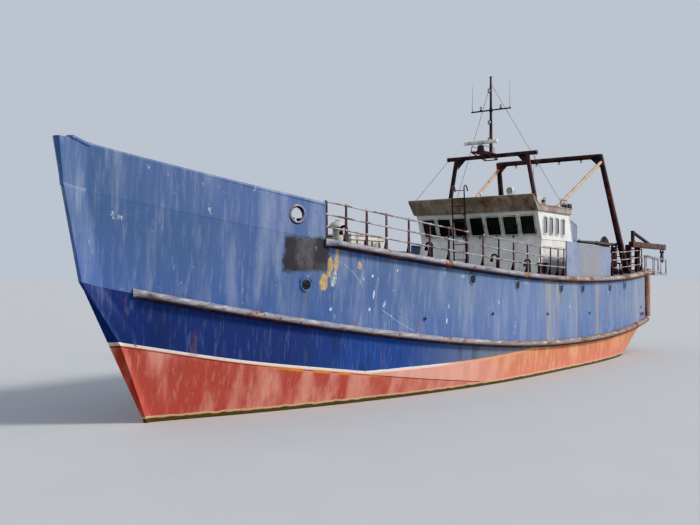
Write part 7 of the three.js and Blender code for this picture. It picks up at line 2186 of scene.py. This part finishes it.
hawse = on_ship(28.5, 0.22, 0)
hawse[2] = deck_at(28.5, 0.22)
start = on_ship(26.6 + 0.27, 0.24, 5.6)
floor_z = deck_at(27.4, 0.24) + 0.03
t = np.linspace(0, 1, 30)[:, None]
drop = start * (1 - t) ** 2 + 2 * on_ship(27.0, 0.24, floor_z) * t * (1 - t) + on_ship(27.5, 0.24,
                                                                                       floor_z) * t**2
laid = np.array([on_ship(run, 0.23, deck_at(run, 0.23) + 0.03 + 0.13 * np.clip((run - 28.1) / 0.25, 0, 1))
                 for run in np.linspace(27.55, 28.42, 16)])
points, ways = spaced(np.concatenate([drop, laid, [hawse + (0, 0, 0.02)]]),
                      2 * (LINK_LONG - LINK_BAR) + 0.004)
links = []
for k, (point, way) in enumerate(zip(points, ways)):
    level = np.cross((0, 0, 1.0), way)
    level = level / np.linalg.norm(level)
    links.append(chain_link(point, way, level if k % 2 else np.cross(way, level)))
pipe = turned_ring([(0.1, -0.04), (0.1, 0.07), (0.108, 0.1), (0.13, 0.12), (0.155, 0.11), (0.165, 0.08),
                    (0.165, 0.03), (0.22, 0.02), (0.22, -0.04)], hawse, (-0.15, 0, 1.0), 36)
stopper = on_ship(27.75, 0.235, deck_at(27.75, 0.235))
fixed = [ball_box(stopper + (-0.12, -0.12, -0.03), stopper + (0.12, 0.12, 0.015), 0.006)]
for y in (-0.075, 0.075):
    fixed.append(slab([(-0.09, 0), (0.09, 0), (0.05, 0.13), (-0.05, 0.13)], 0.02, stopper + (0, y, 0.01),
                      (1, 0, 0), (0, 0, 1.0)))
fixed.append(tube([stopper + (0, -0.11, 0.11), stopper + (0, 0.11, 0.11)], 0.014, 12))
fixed.append(ball_box(stopper + (-0.05, -0.062, 0.1), stopper + (0.07, 0.062, 0.122), 0.006))
piece("anchor_chain_and_stopper", links + [pipe] + fixed,
      [worn_steel] * len(links) + [rusty_iron] * (1 + len(fixed)), slot="rusty_steel", crease=40)


# Tank vents and pad eyes. Gooseneck pipes with float heads stand along both deck edges and lashing eyes are
# welded between them.
parts = []
for run in (23.3, 19.9, 16.2, 13.6, 3.7):
    y = float(half_breadth("rail", np.array(run), BELT_DEPTH)) - 0.4
    foot = on_ship(run, y, deck_at(run, y))
    parts.append(bent_bar([foot - (0, 0, 0.03), foot + (0, 0, 0.5), foot + (0, -0.2, 0.5),
                           foot + (0, -0.2, 0.3)], 0.032, 14, 0.09))
    parts.append(lathe([(0, 0), (0.05, 0), (0.055, 0.012), (0.055, 0.09), (0.045, 0.1), (0, 0.1)],
                       foot + (0, -0.2, 0.26), sides=20))
    parts.append(lathe([(0, -0.02), (0.075, -0.02), (0.075, 0.012), (0.06, 0.018), (0, 0.018)], foot,
                       sides=20))
for run in (23.0, 20.9, 18.0, 16.8, 14.9, 4.6, 1.1):
    y = float(half_breadth("rail", np.array(run), BELT_DEPTH)) - 0.62
    foot = on_ship(run, y, deck_at(run, y))
    a = np.radians(np.linspace(0, 180, 11))[:, None]
    parts.append(tube(foot + 0.05 * np.cos(a) * np.array([1.0, 0, 0]) + (0.01 + 0.06 * np.sin(a))
                      * np.array([0, 0, 1.0]), 0.01, 10))
    parts.append(ball_box(foot + (-0.08, -0.04, -0.02), foot + (0.08, 0.04, 0.01), 0.004))
pair_of_pieces("deck_vents_and_eyes", parts, post_iron, slot="dark_steel", crease=40)


# Scuppers and transom fittings. Short discharge pipes let into the side, two freeing slots at each stern
# corner, and on the transom a cast mooring ring a side and a run of welded rungs up the port half. A
# near-black disc in each pipe, slot and ring is painted shade for the hole behind it.
shade_discs = []
stubs = []
for run, z, size in ((17.19, 2.34, 0.045), (20.6, 2.29, 0.04), (13.0, 2.2, 0.04), (8.9, 2.1, 0.045),
                     (1.39, 2.13, 0.05)):
    seat, out = on_side(run, z)
    stubs.append(turned_ring([(size, -0.03), (size, 0.03), (size + 0.008, 0.034), (size + 0.014, 0.028),
                              (size + 0.016, -0.03)], seat, out, 20))
    shade_discs.append(lathe([(0, 0.004), (size + 0.004, 0.004), (size + 0.004, 0.008), (0, 0.009)], seat, out, 20))
for run in (1.4, 0.95):
    seat, out = on_side(run, 1.8)
    along = np.cross((0, 0, 1.0), out)
    loop = rounded_loop(0.14, 0.09, 0.04, 5)
    stubs.append(framed(loop, [(-0.015, -0.02), (0.014, -0.02), (0.016, 0.016), (-0.01, 0.018)], seat, along,
                        (0, 0, 1.0)))
    shade_discs.append(slab(loop[0], 0.004, seat + out * 0.004, along, (0, 0, 1.0), 0.001))
ring_at = on_ship(-0.005, 1.95, 3.05)
loop = rounded_loop(0.2, 0.12, 0.11, 7)
stubs.append(framed(loop, [(-0.03, -0.02), (0.0, -0.02), (0.035, 0.0), (0.04, 0.03), (0.02, 0.055),
                           (-0.01, 0.05), (-0.03, 0.02)], ring_at, (0, -1.0, 0), (0, 0, 1.0)))
shade_discs.append(slab(loop[0], 0.006, ring_at - (0.003, 0, 0), (0, -1.0, 0), (0, 0, 1.0), 0.001))
pair_of_pieces("scuppers_and_rings", stubs + shade_discs, [topside] * len(stubs) + [opening_painted_shade] * len(shade_discs),
               slot="topside_paint", crease=40)
rungs = []
for k in range(7):
    z = 1.75 + 0.3 * k
    rung = on_ship(-0.005, 1.1, z)
    rungs.append(bent_bar([rung + (0.02, -0.2, 0), rung + (-0.1, -0.2, 0), rung + (-0.1, 0.2, 0),
                           rung + (0.02, 0.2, 0)], 0.014, 10, 0.05))
    for y in (-0.2, 0.2):
        rungs.append(ball_box(rung + (-0.008, y - 0.035, -0.035), rung + (0.006, y + 0.035, 0.035), 0.003))
piece("transom_rungs", rungs, rusty_iron, slot="rusty_steel", crease=40)
